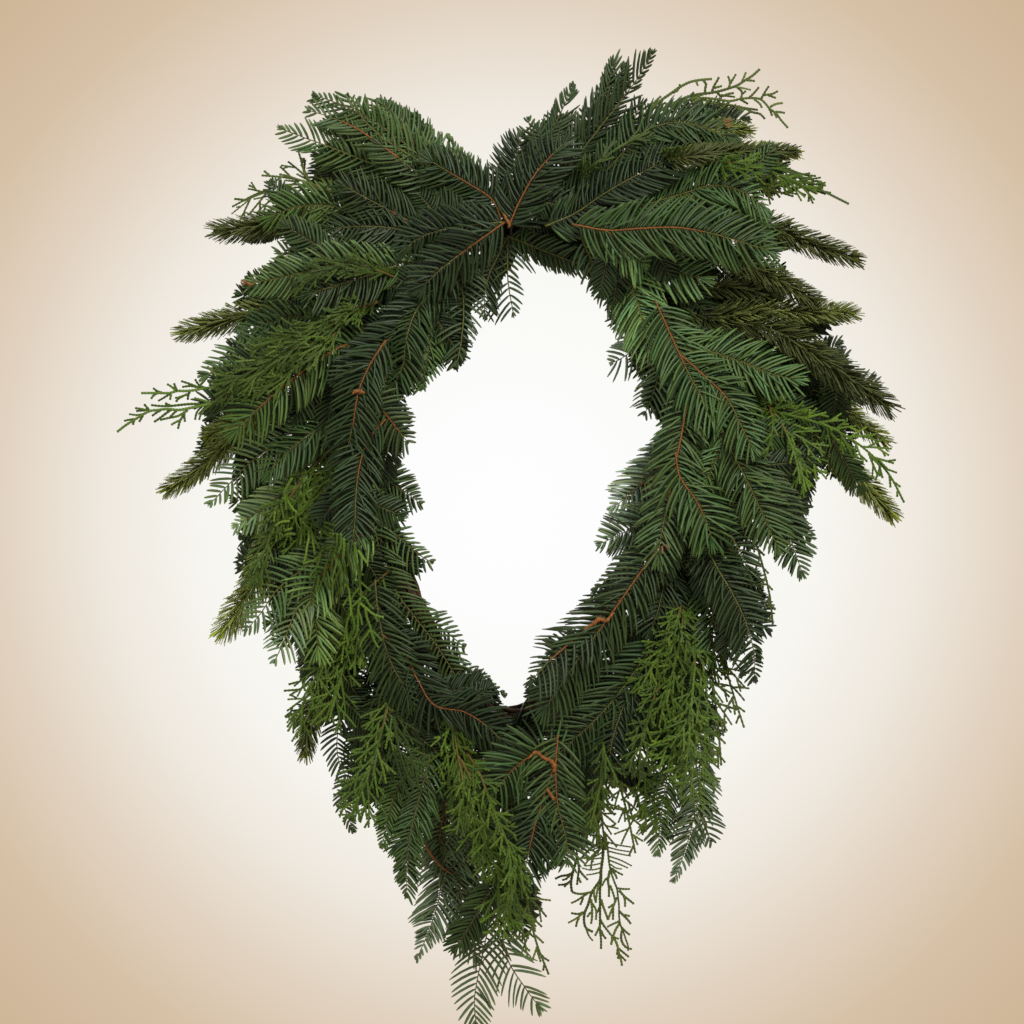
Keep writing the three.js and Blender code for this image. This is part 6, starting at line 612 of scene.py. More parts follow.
        ("n3", 13.9, [(141.5, -49.9, -289.9), (156.6, -32.7, -319.2), (164.3, -20.9, -345.4)]),
        ("n2", 15.7, [(137.9, -50.4, -279.8), (118.9, -36.2, -290.3), (107.3, -17.1, -303.9)]),
        ("n3", 15.3, [(144.3, -47.9, -272.4), (160.5, -37.8, -299.7), (169.3, -16.6, -323.9)]),
        ("n3", 13.9, [(144.7, -47.3, -266.4), (124.2, -35.2, -278.7), (111.1, -25.3, -293.9)]),
        ("n3", 13.6, [(145.3, -46.1, -254.5), (162.6, -33.1, -284.6), (172.4, -20, -311.7)]),
        ("n3", 17.3, [(145, -44.1, -245.8), (121.7, -25.8, -262.8), (105.8, -11.4, -282.6)]),
        ("n2", 16.6, [(144.8, -42.7, -240), (160.8, -32.4, -268.7), (169.3, -24.4, -294.6)]),
        ("n3", 13, [(145.2, -39.8, -227.3), (127.7, -29.6, -242.1), (117.6, -20.1, -259.7)]),
        ("n2", 15.3, [(152.6, -37.7, -218.1), (169.6, -29, -248.4), (179, -11.1, -276.1)]),
        ("n3", 13, [(152.6, -37.7, -218.1), (136.6, -24.2, -235.7), (128.3, -9.4, -255.2)]),
        ("n3", 15.4, [(160, -35.6, -208.9), (177.9, -23.5, -238.3), (188, -9.5, -266)]),
        ("n2", 14.5, [(160, -35.6, -208.9), (140.9, -21.9, -228.1), (129.7, -16.5, -248.6)])],
    "fir_spray_23": [("a3", 14, [(158.1, -21, -443.2), (172.8, -4.2, -465.8), (189.1, -3.5, -489.7)]),
        ("c2", 15, [(153.9, -19.4, -460.1), (131, -8.5, -476.3), (106.6, -4, -493.7)]),
        ("a2", 17.1, [(148.3, -27.9, -401.8), (126.3, -8.1, -420.4), (101.9, -3.5, -441.3)])],
    "fir_spray_04": [("n2", 13.7, [(29.8, -77.4, 20.4), (26.7, -61.5, 40.1), (22.4, -48.7, 59.5)]),
        ("n1", 18.5, [(10, -80.3, -9.2), (47.4, -67.8, -17), (85.1, -58.3, -27.3)])],
    "fir_spray_18": [("a3", 13.5, [(-50.8, -22.2, -502), (-38.1, -4, -534.4), (-24.7, -3.5, -569.2)]),
        ("b2", 13.1, [(-58.7, -14.1, -550.1), (-90.5, -4, -555.8), (-120.8, -3.5, -563.7)]),
        ("b2", 13.7, [(-48.4, -15.6, -561.3), (-34.8, -4.2, -583.8), (-22.3, -4, -607.8)]),
        ("b2", 15.5, [(-50, -21.9, -506), (-24.3, -4, -533.9), (-1.8, -3.5, -564.2)]),
        ("n2", 17, [(-47.5, -29.1, -468.5), (-49.9, -22.1, -501.9), (-46.8, -11.4, -529.6)])],
    "fir_spray_19": [("b3", 13.6, [(-10.8, -29.3, -615.4), (6.2, -12.2, -633.4), (22.5, -4, -653)]),
        ("b3", 17.4, [(-9.4, -26.9, -589.6), (5.2, -13.2, -619.9), (18.8, -4, -652.2)]),
        ("n2", 17.5, [(-9.8, -31.6, -486.3), (12.5, -26.5, -486.8), (31.1, -27.9, -494.4)]),
        ("n3", 13.2, [(-9.6, -31.3, -492.3), (-2, -28.3, -525.4), (9.1, -25.5, -551.4)]),
        ("n2", 17.4, [(-9.8, -31.6, -486.3), (21.5, -24.2, -476.7), (52.3, -21.9, -475.1)]),
        ("n3", 16.8, [(-9.6, -31.3, -492.3), (11.1, -18.4, -517.8), (32.2, -14.1, -535.4)]),
        ("n3", 17.5, [(-9.8, -31.6, -486.3), (-40.7, -28, -479.3), (-69.7, -23.4, -480)])],
    "fir_tip_01": [("w3", 16.6, [(-173, -34.7, -24), (-186.9, -20.9, -59.8), (-200.8, -10, -97.4)]),
        ("n3", 16.4, [(-99.2, -35.6, -43.5), (-124.6, -32.8, -40.1), (-145, -21.5, -42.9)]),
        ("n2", 16.9, [(-99.2, -35.6, -43.5), (-127.7, -36, -43.7), (-150.2, -27.7, -49.3)])],
    "cedar_spray_02": [("n2", 13, [(-91.8, -45.2, -83.5), (-81.4, -32.4, -114.5), (-77.6, -13.8, -141.1)]),
        ("n2", 13.5, [(-101.9, -46.8, -89.8), (-136.1, -40.1, -93.4), (-163.7, -21.9, -101.5)]),
        ("n2", 14.2, [(-96.8, -46, -86.6), (-84.9, -34, -117.4), (-79.9, -30, -144.2)])],
    "fir_tip_05": [("n3", 17.4, [(-116.9, -30.2, -360.9), (-131.2, -19.2, -388.7), (-138.1, -11.3, -413.3)])],
}
# Front sprigs that rise from a spray's stem and lie over its neighbours: form, tone, half width, openness, stem line.
OVERGROWTH = {
    "cedar_spray_02": [("stream", "g3", 10, 0.2, [(-117, -49.1, -99.2), (-141.5, -84.6, -112.6), (-169.3, -90.7, -129.6), (-193.5, -96.2, -145.6), (-216.1, -98.2, -162.4), (-234.5, -98.3, -178.1)]),
        ("stream", "g3", 8, 0.2, [(-117, -49.1, -99.2), (-143.2, -86.9, -108.3), (-172.2, -87, -122.4), (-199.4, -87.5, -133.8), (-223.8, -89.5, -140.9)]),
        ("stream", "g3", 8, 0.2, [(-140.9, -54.1, -114), (-159.6, -92.1, -134.9), (-181.2, -97.4, -153.6), (-202.1, -98.7, -171.1), (-217.9, -98.7, -180.8)]),
        ("stream", "g2", 9, 0.2, [(-165.9, -61.5, -128.8), (-187.5, -95.3, -143), (-211, -97.1, -155.3), (-231.9, -98.5, -165.9), (-252.5, -103, -176.6)]),
        ("stream", "g2", 9, 0.3, [(-91.8, -45.2, -83.5), (-118.9, -80.4, -73.6), (-144.1, -85.5, -70.4), (-167.7, -88.4, -75.9), (-187, -89.2, -85.6)])],
    "cedar_spray_03": [("stream", "g3", 9, 0, [(-185.9, -58.8, -259.9), (-201.1, -62.8, -281.3), (-211.7, -63.4, -304.4), (-220.2, -67.1, -327.3), (-229.1, -66.6, -350.3)])],
    "cedar_spray_08": [("fan", "g4", 13, 0, [(153.2, -44.9, -358), (145.7, -90.3, -381.4), (134.3, -90.3, -404.2), (122.2, -86, -425.6), (111.7, -84.8, -446.7)]),
        ("fan", "g4", 14, 0, [(153.2, -44.9, -358), (150, -92.3, -388.4), (144.1, -87.3, -420.2), (135.4, -85.3, -450.2), (130.3, -81.8, -476.8)]),
        ("fan", "g4", 13, 0, [(160.3, -51.2, -383.3), (162.2, -77.2, -411.8), (160.2, -81.8, -441.5), (157.2, -88.2, -471.1), (156.1, -93, -500.6)]),
        ("fan", "g3", 12, 0, [(139.6, -56.1, -413.2), (128.4, -84.8, -443.1), (118.8, -82.8, -471.4), (113.5, -82.4, -497.8), (114.5, -56.1, -521)])],
    "cedar_spray_09": [("fan", "g3", 12, 0.2, [(72.6, -29.9, -474.6), (81.8, -84.5, -495.9), (80.1, -82.5, -518.9), (74.9, -80.2, -543.5), (69.6, -80.8, -564.9)])],
    "cedar_spray_06": [("fan", "g4", 12, 0.3, [(-47.3, -58.7, -502.1), (-35.2, -84, -522.3), (-28.1, -84, -547), (-23.8, -76.3, -572.8), (-17.6, -71.6, -595.8)]),
        ("fan", "g4", 10, 0.3, [(-39.9, -54.6, -499.5), (-26.3, -86.7, -519.5), (-17.6, -86.9, -543.3), (-7, -90.1, -567.5), (1.8, -95, -589.8), (8.8, -95, -612.6)]),
        ("fan", "g4", 11, 0.3, [(-47.3, -58.7, -502.1), (-42.2, -83.4, -525.9), (-43.1, -82.4, -548.9), (-48.6, -71.7, -571)]),
        ("stream", "g4", 10, 0.3, [(-5.2, -64.7, -571.9), (2.7, -94, -593.4), (3.5, -94, -616.2), (-2.6, -72.5, -641.6)])],
    "cedar_spray_10": [("fan", "g4", 7.5, 0.1, [(229.4, -59.9, -193.3), (239.2, -73.2, -209), (246.9, -76.3, -226.7), (252, -81.5, -244.4), (253.7, -89.8, -262.1)]),
        ("fan", "g4", 6, 0.2, [(229.4, -59.9, -193.3), (229.1, -100.8, -211.5), (226.3, -103.1, -225.5), (222.8, -103.1, -237.7)])],
    "fir_tip_09": [("brush", "w3", 12, 0, [(116.2, -35.8, 22.8), (147.9, -99.3, 23.1), (185.5, -77, 30.3), (221, -66.2, 31.9), (253.7, -58.4, 33.6)])],
    "cedar_spray_11": [("stream", "g2", 7, 0.2, [(53.4, -28.8, 7.6), (73.5, -98.2, 17.9), (97.7, -89.4, 35.3), (122.3, -83.6, 47.6)])],
    "cedar_spray_12": [("stream", "g4", 9, 0.1, [(170, -51.1, 28.3), (193.5, -96.8, 18.9), (222.8, -76.2, 16), (247.5, -66.5, 7), (268.7, -59.9, -2)])],
}
# Loose cedar ends that stand clear of the rest, branchlet by branchlet: tone, then each one's width and line.
TWIGS = {
    "cedar_spray_09": [("y4", [(3.2, [(82.4, -31.9, -578.4), (82.3, -32, -593.7), (80.6, -32.1, -607.1), (79.7, -32.2, -616), (76.1, -32.2, -621.4), (72.5, -32.2, -626.7), (70.7, -32.3, -632.1), (68.9, -32.3, -638.4), (66.2, -32.4, -644.6), (65.3, -32.4, -651.8), (67.1, -32.4, -658.9), (73.4, -32.4, -662.5)]),
            (2.6, [(67.1, -32.4, -658.9), (69.8, -31.3, -666.2), (73.4, -30.4, -670.8)]),
            (2.8, [(80.6, -32.1, -607.1), (80.6, -31, -616.1), (79.7, -30, -625.2), (79.8, -28.4, -638.8), (79.8, -26.8, -652.5), (79.8, -25.7, -661.6), (80.8, -24.7, -670.7), (80.8, -23.7, -678.9)]),
            (2.8, [(85, -31.9, -578.4), (86.8, -31.8, -591), (87.7, -31.7, -599.9), (89.5, -31.6, -608.9), (92.2, -31.5, -617), (94.9, -31.4, -624.1), (95.8, -31.4, -631.3), (96.7, -31.3, -639.4), (96.7, -31.2, -647.5), (97.6, -31.1, -654.6), (99.4, -31.1, -660), (101.2, -31, -664.5), (103, -31, -669.9), (104.8, -30.9, -675.2), (104.8, -30.9, -679.7)]),
            (3.2, [(58.2, -30.8, -591.1), (59.1, -30.8, -596.5), (56.4, -30.9, -605.4), (54.6, -30.9, -612.6), (53.7, -31, -619.7), (54.6, -31, -626.9)]),
            (2.8, [(72.5, -32.2, -626.7), (68, -33, -627.6), (61.7, -34, -628.3), (56.3, -34.8, -627.3)]),
            (2.8, [(59.1, -30.8, -596.5), (60.9, -31, -605.4), (60, -31.2, -612.5), (59.1, -31.4, -620.6)]),
            (2.6, [(60.9, -31.1, -607.2), (64.5, -31.3, -611.6), (68.9, -31.5, -616.1)]),
            (2.6, [(60, -31.2, -613.4), (62.7, -31.2, -618.8)]),
            (2.8, [(56.4, -30.9, -609), (51, -31, -611.7), (44.8, -31, -612.6), (39.4, -31, -615.2)]),
            (2.6, [(52.8, -30.9, -611.7), (49.3, -30.9, -615.3), (45.7, -30.8, -616.2)]),
            (2.6, [(54.6, -31, -616.1), (49.3, -30.9, -619.7), (42.1, -30.8, -620.6)]),
            (2.6, [(51.9, -30.9, -617.9), (47.5, -30.4, -622.5)]),
            (2.8, [(68.9, -32.9, -627.6), (63.5, -32.4, -631.2), (58.2, -32, -634.8), (53.7, -31.7, -636.7)]),
            (2.6, [(64.4, -32.5, -631.2), (63.5, -32.3, -634.8), (61.8, -32.2, -638.4)]),
            (2.6, [(65.3, -32.4, -644.6), (60, -32.5, -646.4), (53.7, -32.7, -645.5)]),
            (2.6, [(64.4, -32.4, -645.5), (59.1, -32.9, -649.9), (51, -33.5, -654.3)]),
            (2.6, [(60.9, -32.7, -649.1), (59.1, -32, -653.6), (58.2, -31.3, -658.2)]),
            (2.8, [(80.6, -28.9, -633.4), (82.4, -29.3, -639.6), (85.1, -29.7, -646.7), (86.9, -30, -652.1)]),
            (2.8, [(94.9, -31.4, -631.3), (93.1, -31.8, -635.7), (91.3, -32.3, -640.2), (88.6, -32.9, -646.4), (86.8, -33.4, -651.7)]),
            (2.6, [(91.3, -32.3, -640.2), (91.3, -33.2, -646.3), (91.2, -33.9, -651.6)]),
            (2.6, [(92.2, -32, -637.5), (86.9, -31, -641.2)]),
            (2.6, [(78.8, -32.2, -619.6), (77, -33.1, -626.6), (76, -34, -634.6)]),
            (2.6, [(74.3, -32.2, -623.2), (74.3, -32.6, -629.4), (76.1, -33, -636.5)]),
            (2.8, [(71.6, -32.3, -633), (72.5, -33.4, -640.9), (72.4, -34.6, -649.7), (71.5, -35.4, -655)]),
            (2.6, [(71.6, -33.9, -644.4), (68, -34.4, -648.9)]),
            (2.6, [(72.5, -32.8, -636.5), (76.1, -33.1, -642.8), (76, -33.4, -651.7)]),
            (2.6, [(79.8, -28.3, -639.7), (77.1, -27.5, -646.1)]),
            (2.6, [(79.8, -26, -657.9), (77.1, -26.3, -663.3), (75.3, -26.5, -666.8)]),
            (2.6, [(80.7, -25.7, -661.6), (82.5, -25, -666.1), (85.3, -24.3, -669.8)]),
            (2.8, [(79.8, -26.9, -651.6), (83.4, -28, -657.7), (86.9, -28.8, -662.1), (90.5, -29.7, -666.4), (96.7, -30.7, -669)]),
            (2.8, [(90.5, -29.6, -665.6), (94.1, -29.9, -671.8), (95.8, -30.2, -677.1), (96.7, -30.5, -683.4), (98.5, -30.7, -687.8), (99.4, -31, -693.1)]),
            (2.6, [(90.5, -29.7, -666.4), (90.5, -29.9, -670.9), (89.6, -30, -674.5)]),
            (2.6, [(94, -31.5, -623.3), (100.3, -30.9, -624.2), (106.6, -30.4, -624.3)]),
            (2.8, [(96.7, -31.2, -625.1), (101.2, -30.2, -630.6), (105.7, -29.4, -634.2), (110.2, -28.6, -637.9)]),
            (2.6, [(101.2, -30.2, -630.6), (102.1, -30.5, -635), (102.1, -30.8, -640.3)]),
            (2.8, [(96.7, -31.2, -643.9), (101.2, -31.4, -648.3), (104.7, -31.5, -651.9), (107.4, -31.6, -655.5)]),
            (2.6, [(101.2, -31.4, -647.4), (106.5, -31.8, -648.3)]),
            (2.6, [(97.6, -31.2, -652.8), (91.3, -30.5, -655.6), (86, -29.9, -658.4)]),
            (2.8, [(97.6, -31.1, -654.6), (94, -30.8, -660), (91.3, -30.5, -667.2), (89.6, -30.2, -673.5)]),
            (2.6, [(98.5, -31.1, -658.2), (102, -31.8, -661.7), (106.5, -32.6, -665.2)]),
            (2.8, [(99.4, -31.5, -660.8), (98.5, -31.2, -668), (100.3, -31, -673.4), (103.9, -30.9, -677), (108.4, -30.7, -678)]),
            (2.6, [(95.8, -30.2, -677.1), (101.2, -29.5, -681.7), (105.7, -29, -685.4)]),
            (2.6, [(96.7, -30.4, -682.5), (100.3, -31.2, -686), (102.9, -31.8, -688.6)]),
            (2.6, [(95.8, -30.2, -677.1), (94.9, -30.3, -683.4)]),
            (2.6, [(96.7, -30.3, -680.7), (95.8, -29.7, -687)]),
            (2.6, [(88.6, -31.6, -612.5), (84.2, -30.7, -616.2), (81.5, -29.7, -621.7)]),
            (2.8, [(88.6, -31.6, -607.1), (86.8, -31.4, -616.1), (87.7, -31.2, -623.3), (87.7, -31, -631.4)]),
            (2.6, [(88.6, -31.3, -620.6), (91.3, -32.4, -627.6), (93, -33.4, -633.8)]),
            (2.6, [(89.5, -31.6, -607.1), (93.1, -31.7, -610.7), (94.9, -31.8, -615.2)]),
            (2.6, [(89.5, -31.6, -605.3), (94.9, -32.3, -608.8), (100.2, -32.9, -611.5)]),
            (2.6, [(54.6, -31, -626.9), (57.3, -30.9, -627.8)]),
            (2.8, [(82.4, -32, -585.6), (76.1, -32.7, -590.9), (70.7, -33.4, -596.2), (65.3, -34.2, -603.3)]),
            (2.6, [(70.7, -33.4, -596.2), (63.5, -34.2, -596.1), (59, -34.8, -597.8)]),
            (2.8, [(82.4, -31.9, -582), (74.3, -31.8, -585.6), (67.1, -31.7, -591.9), (61.8, -31.6, -598.2)]),
            (2.6, [(76.1, -32.7, -590.9), (72.5, -33.9, -598.8), (71.5, -34.8, -605.9)]),
            (1.8, [(85.9, -31.9, -582), (95.8, -31.1, -584.8), (107.5, -30.2, -586.7)]),
            (1.8, [(85.9, -31.8, -586.5), (96.7, -30.3, -589.4), (108.4, -28.6, -591.3)]),
            (1.8, [(86.8, -31.8, -590.1), (97.6, -30.2, -592.9), (107.5, -28.8, -594.9)]),
            (1.8, [(86.8, -31.7, -594.6), (97.6, -32.2, -598.1), (108.3, -32.7, -603.4)]),
            (1.8, [(87.7, -31.7, -598.2), (96.7, -31.4, -601.8), (104.8, -31.1, -605.4)]),
            (1.8, [(88.6, -31.7, -601.7), (94, -31.3, -605.4), (99.4, -31, -606.3)]),
            (1.8, [(81.5, -32, -596.3), (73.4, -32, -597.2), (67.1, -32, -598.1)]),
            (1.8, [(81.5, -32.1, -600.8), (73.4, -32.1, -602.6), (66.2, -32.2, -603.5)]),
            (1.8, [(80.6, -32.1, -605.3), (71.6, -33.6, -606.9), (63.5, -34.9, -605)]),
            (1.8, [(80.6, -31.8, -608.9), (73.4, -32.8, -610.6), (67.1, -33.7, -611.4)]),
            (1.8, [(83.2, -32, -585.6), (77, -32.1, -587.4), (70.7, -32.2, -590)]),
            (1.8, [(82.3, -32, -591), (76.1, -32.2, -594.5), (69.8, -32.3, -598.1)])])],
    "cedar_spray_02": [("g4", [(3.2, [(-250.2, -89.5, -187.5), (-262.2, -91.8, -191), (-272.6, -93.5, -193.7), (-281.2, -95.1, -195.5), (-291.5, -97.3, -197.4), (-300.1, -98.5, -196.5), (-308.8, -99.7, -197.4), (-315.6, -100.7, -198.3), (-322.5, -101.8, -201.9), (-329.4, -102.9, -206.3), (-336.3, -104, -210.7), (-344, -105.1, -216.8)]),
            (3.2, [(-245.1, -86.9, -181.2), (-255.5, -88.6, -178.6), (-268.5, -90.8, -177.9), (-277.1, -92.4, -179.7), (-285.7, -94, -180.6), (-292.6, -95.2, -180.6), (-298.6, -96.2, -182.4), (-307.3, -97.3, -182.5), (-315.9, -98.5, -182.5), (-323.6, -99.6, -182.6)]),
            (2.8, [(-272.6, -93.7, -192), (-281.4, -93.4, -192), (-290.2, -93.1, -192.8), (-299, -92.8, -193.7), (-307.8, -92.5, -193.7), (-315.7, -92.3, -192.8)]),
            (2.6, [(-298.1, -92.9, -193.7), (-303.4, -92.4, -191.1)]),
            (2.6, [(-293.4, -95.4, -180.7), (-296.9, -95.7, -177.2), (-301.3, -96, -174.5)]),
            (2.6, [(-292.6, -95.4, -180.7), (-294.3, -95.6, -176.3), (-295.2, -95.6, -173.7)]),
            (2.6, [(-304.7, -97, -182.5), (-310, -96.4, -180.7), (-313.5, -95.9, -178)]),
            (2.6, [(-309.8, -97.7, -182.5), (-313.4, -97.6, -185.1), (-315.1, -97.5, -187.7)]),
            (2.6, [(-297.7, -96.2, -182.4), (-303, -95.8, -185.9), (-309.2, -95.3, -189.4)]),
            (2.6, [(-297.7, -96.2, -183.3), (-298.6, -96.2, -188.6)]),
            (2.6, [(-281.4, -93, -180.6), (-283.2, -92.5, -184.9), (-283.3, -92.1, -188.4)]),
            (2.6, [(-283.2, -92.6, -183.2), (-290.3, -92.1, -185.8), (-294.7, -91.8, -186.7)]),
            (2.6, [(-287.6, -92.3, -184.9), (-292.1, -91.7, -187.5), (-293.9, -91.3, -190.2)]),
            (2.6, [(-270.2, -91, -177.9), (-274.5, -91.5, -174.4), (-277.1, -92, -170)]),
            (2.6, [(-272.8, -91.5, -177.9), (-281.5, -92.1, -174.4), (-289.3, -92.7, -171.8)]),
            (2.6, [(-275.4, -91.7, -177), (-281.5, -91.7, -176.1), (-288.5, -91.8, -177)]),
            (2.6, [(-315.7, -100.6, -198.3), (-322.7, -100.6, -196.6), (-328.8, -100.6, -195.7)]),
            (2.6, [(-316.5, -100.6, -197.5), (-320.9, -100.3, -192.2)]),
            (2.6, [(-319.2, -100.6, -197.5), (-328, -99.6, -198.3)]),
            (2.6, [(-320.8, -101.6, -201), (-326.9, -101.5, -201.9), (-333.9, -101.4, -201)]),
            (2.6, [(-321.7, -101.5, -201.9), (-323.5, -101, -205.3), (-325.3, -100.5, -207.9)]),
            (2.6, [(-328.6, -102.5, -205.4), (-334.7, -102, -206.2), (-338.3, -101.8, -207.1)]),
            (2.6, [(-329.4, -103, -206.3), (-330.2, -103.4, -210.6)]),
            (2.6, [(-306.1, -99.6, -197.4), (-310.5, -99.4, -200), (-314.1, -99.2, -202.7)]),
            (2.8, [(-296.7, -98.1, -196.5), (-302.8, -97.9, -200.9), (-307.2, -97.8, -204.4), (-312.5, -97.7, -207.9)]),
            (2.8, [(-282.9, -95.6, -197.3), (-285.6, -95.4, -199), (-291.8, -94.8, -202.5), (-300.6, -94, -204.3), (-307.7, -93.4, -206)]),
            (2.8, [(-285.6, -95.4, -199), (-287.4, -95, -202.5), (-290, -94.5, -206.9), (-291.9, -93.8, -213.9)]),
            (2.6, [(-289.1, -94.6, -206), (-293.5, -94.9, -207.8), (-297.8, -95.3, -210.4)]),
            (2.6, [(-286.5, -95.2, -200.8), (-285.5, -96.1, -207.8)]),
            (2.6, [(-292.3, -97.6, -197.4), (-298.5, -97.2, -203.5)]),
            (2.6, [(-262.2, -92, -191.1), (-274.3, -94, -187.6), (-277.8, -94.6, -186.8)]),
            (2.6, [(-268.3, -92.5, -191.9), (-275.4, -91.6, -198.9), (-277.2, -90.9, -205.9)]),
            (2.6, [(-262.2, -92, -191.9), (-271, -92, -198.9), (-273.6, -91.9, -206)])])],
    "cedar_spray_11": [("y4", [(3.2, [(110.3, -27.7, 62.9), (115.6, -27.5, 66.5), (124.6, -27.3, 73.7), (133.6, -27.1, 81.8), (142.6, -26.9, 88.1), (151.5, -26.7, 94.4), (160.5, -26.5, 98.9), (169.5, -26.3, 100.8), (180.3, -26.2, 101.7)]),
            (3.2, [(137.2, -25.9, 75.7), (144.4, -25.7, 79.3), (151.6, -25.6, 82.9), (160.6, -25.4, 86.5), (169.6, -25.2, 88.3), (178.5, -25, 89.3), (187.5, -24.9, 91.1), (196.5, -24.8, 93.8), (203.7, -24.7, 96.5), (209.1, -24.6, 100.1), (216.3, -24.5, 104.6), (223.4, -24.3, 110.9)]),
            (2.8, [(115.6, -27.6, 62.9), (124.6, -28.4, 67.3), (137.9, -29.8, 75.2), (151.3, -31.1, 80.4), (169.1, -32.7, 83.8), (182.5, -33.9, 82.8), (195.8, -35.1, 80.8), (204.7, -35.9, 82.5), (213.6, -36.7, 83.3), (222.5, -37.4, 82.3), (226.9, -37.9, 78.7), (231.3, -38.6, 73.3), (236.6, -39.1, 69.6), (241, -39.8, 63.3), (247.2, -40.6, 56.1)]),
            (2.6, [(124.6, -27.3, 73.7), (128.2, -26.5, 80.1), (134.6, -25.5, 86.5)]),
            (2.6, [(133.6, -27.1, 81.8), (135.4, -26.6, 77.4), (136.3, -26.1, 73)]),
            (2.6, [(144.4, -26.9, 89), (149.7, -27.4, 91.6), (151.5, -27.8, 97)]),
            (2.6, [(165.9, -26.4, 99.8), (167.7, -26.1, 95.4)]),
            (2.6, [(129.1, -27.2, 77.3), (122, -26.1, 79.3)]),
            (2.8, [(172.2, -26.3, 100.8), (174.9, -25.9, 97.2), (174, -25.5, 91.9), (174.9, -25.2, 87.4)]),
            (2.8, [(180.3, -25, 90.2), (182.1, -25.7, 95.4), (184.7, -26.4, 99.8), (186.5, -26.9, 103.4)]),
            (2.6, [(182.1, -25.5, 93.7), (189.3, -25.5, 95.5)]),
            (2.6, [(173.1, -25.1, 88.3), (165.1, -25.2, 85.6), (158.8, -25.3, 82)]),
            (2.6, [(160.6, -25.4, 86.5), (164.1, -26.2, 90)]),
            (2.6, [(195.6, -24.8, 93.8), (196.5, -23.9, 99.3), (194.8, -23, 104.8)]),
            (2.6, [(196.5, -24.2, 97.4), (202, -22.9, 106.6)]),
            (2.6, [(207.3, -24.6, 99.2), (209, -25, 103.6), (210.8, -25.5, 108)]),
            (2.6, [(210.9, -24.6, 101), (219, -24.3, 100.1)]),
            (2.6, [(201, -24.7, 94.7), (207.3, -24.7, 93.8), (215.3, -24.8, 92)]),
            (2.8, [(184.8, -25, 90.2), (188.4, -25.2, 86.5), (194.7, -25.5, 88.3), (200, -25.7, 89.2)]),
            (2.6, [(188.4, -25.2, 87.4), (201, -25, 85.7)]),
            (2.6, [(202.8, -24.7, 94.7), (207.3, -24.6, 90.2), (206.4, -24.5, 84.8)]),
            (2.6, [(207.3, -24.5, 88.4), (210.9, -24.1, 91.2)]),
            (2.6, [(212.7, -36.6, 83.3), (217.1, -37.5, 87.7), (221.5, -38.5, 92.9)]),
            (2.6, [(223.4, -37.5, 82.3), (226.9, -37.3, 88.6), (230.5, -37, 94)]),
            (2.6, [(225.2, -37.4, 85.9), (233.2, -37.4, 86.8), (238.6, -37.4, 89.5)]),
            (2.6, [(229.6, -37.4, 85.9), (236.7, -38.2, 83.1)]),
            (2.6, [(231.3, -38.4, 75.1), (236.6, -39.1, 77.7), (242.8, -39.8, 78.5)]),
            (2.6, [(230.4, -38.4, 74.2), (232.2, -38.2, 70.6), (233.1, -38.1, 67.1)]),
            (2.6, [(235.8, -38.8, 70.5), (239.4, -38.4, 70.6), (244.8, -37.7, 69.8)]),
            (2.6, [(234.9, -38.8, 70.5), (237.5, -39.7, 65.1)]),
            (2.6, [(217.1, -37.1, 82.4), (222.5, -37.2, 77.9), (224.3, -37.3, 74.3)]),
            (2.8, [(169.1, -32.5, 83.8), (178.2, -31.4, 80.4), (189, -30, 78.8), (200.7, -28.6, 77.2), (209.8, -27.5, 75.5), (221.5, -26.1, 73.9)]),
            (2.6, [(187.2, -30.3, 78.7), (196.1, -30.4, 74.3)]),
            (2.6, [(200.7, -28.5, 77.2), (207, -28.9, 71.7)]),
            (2.8, [(209.8, -27.4, 75.5), (216, -28, 71.8), (223.1, -28.6, 70), (227.6, -29.1, 65.4)]),
            (2.6, [(169.1, -32.5, 83.8), (161.9, -33.8, 79.2), (155.6, -34.9, 74.6)]),
            (2.6, [(179.8, -33.4, 82.8), (172.6, -34.4, 77.3), (166.3, -35.1, 73.7)]),
            (2.6, [(151.3, -31.2, 80.4), (145.9, -31, 75.1), (140.6, -30.9, 72.4)]),
            (2.6, [(195.8, -35.2, 80.8), (188.7, -35.1, 74.6), (183.3, -35.1, 71)]),
            (2.6, [(205.5, -24.5, 83.9), (212.7, -24.3, 79.5)])])],
    "cedar_spray_12": [("g3", [(3.2, [(239, -54.5, 18.9), (247.8, -55.2, 15.3), (256.6, -55.7, 10.8), (263.7, -56.3, 5.4), (270.7, -56.7, 0.9), (278.7, -57.2, -2.6), (289.3, -57.7, -8), (299.9, -57.9, -13.4)]),
            (2.8, [(239, -54.5, 19.8), (247.9, -53.4, 17.3), (255.1, -52.5, 14.7), (262.3, -51.6, 13), (271.3, -50.6, 12.2)]),
            (2.6, [(256.6, -55.7, 10.8), (262, -55.1, 10), (267.4, -54.5, 10.9)]),
            (2.6, [(263.7, -56.3, 5.4), (272.5, -56.4, 7.2), (279.6, -56.5, 2.7)]),
            (2.6, [(270.8, -56.4, 7.2), (276.1, -55.9, 6.3)]),
            (2.8, [(263.7, -56.3, 5.4), (267.3, -55.7, 1), (274.4, -55, -2.4), (279.8, -54.5, -4.2)]),
            (2.6, [(254.9, -55.6, 11.7), (259.3, -55.9, 5.5), (263.7, -56.1, 1.9)]),
            (2.6, [(247.8, -55.2, 15.3), (252.2, -56, 8.1), (257.4, -56.7, 4.5)]),
            (2.6, [(243.4, -54.8, 17.1), (246, -55.4, 9.9), (251.3, -56, 4.6)]),
            (2.6, [(278.7, -57.1, -2.6), (284, -57.6, -3.6)])])],
    "cedar_spray_03": [("g5", [(2.9, [(-155.2, -107.9, -262.2), (-161.4, -90.8, -266.5), (-166.6, -77, -274.3), (-170.6, -69, -281.3), (-176.9, -66.2, -286.6), (-184.1, -65.7, -292.8)]),
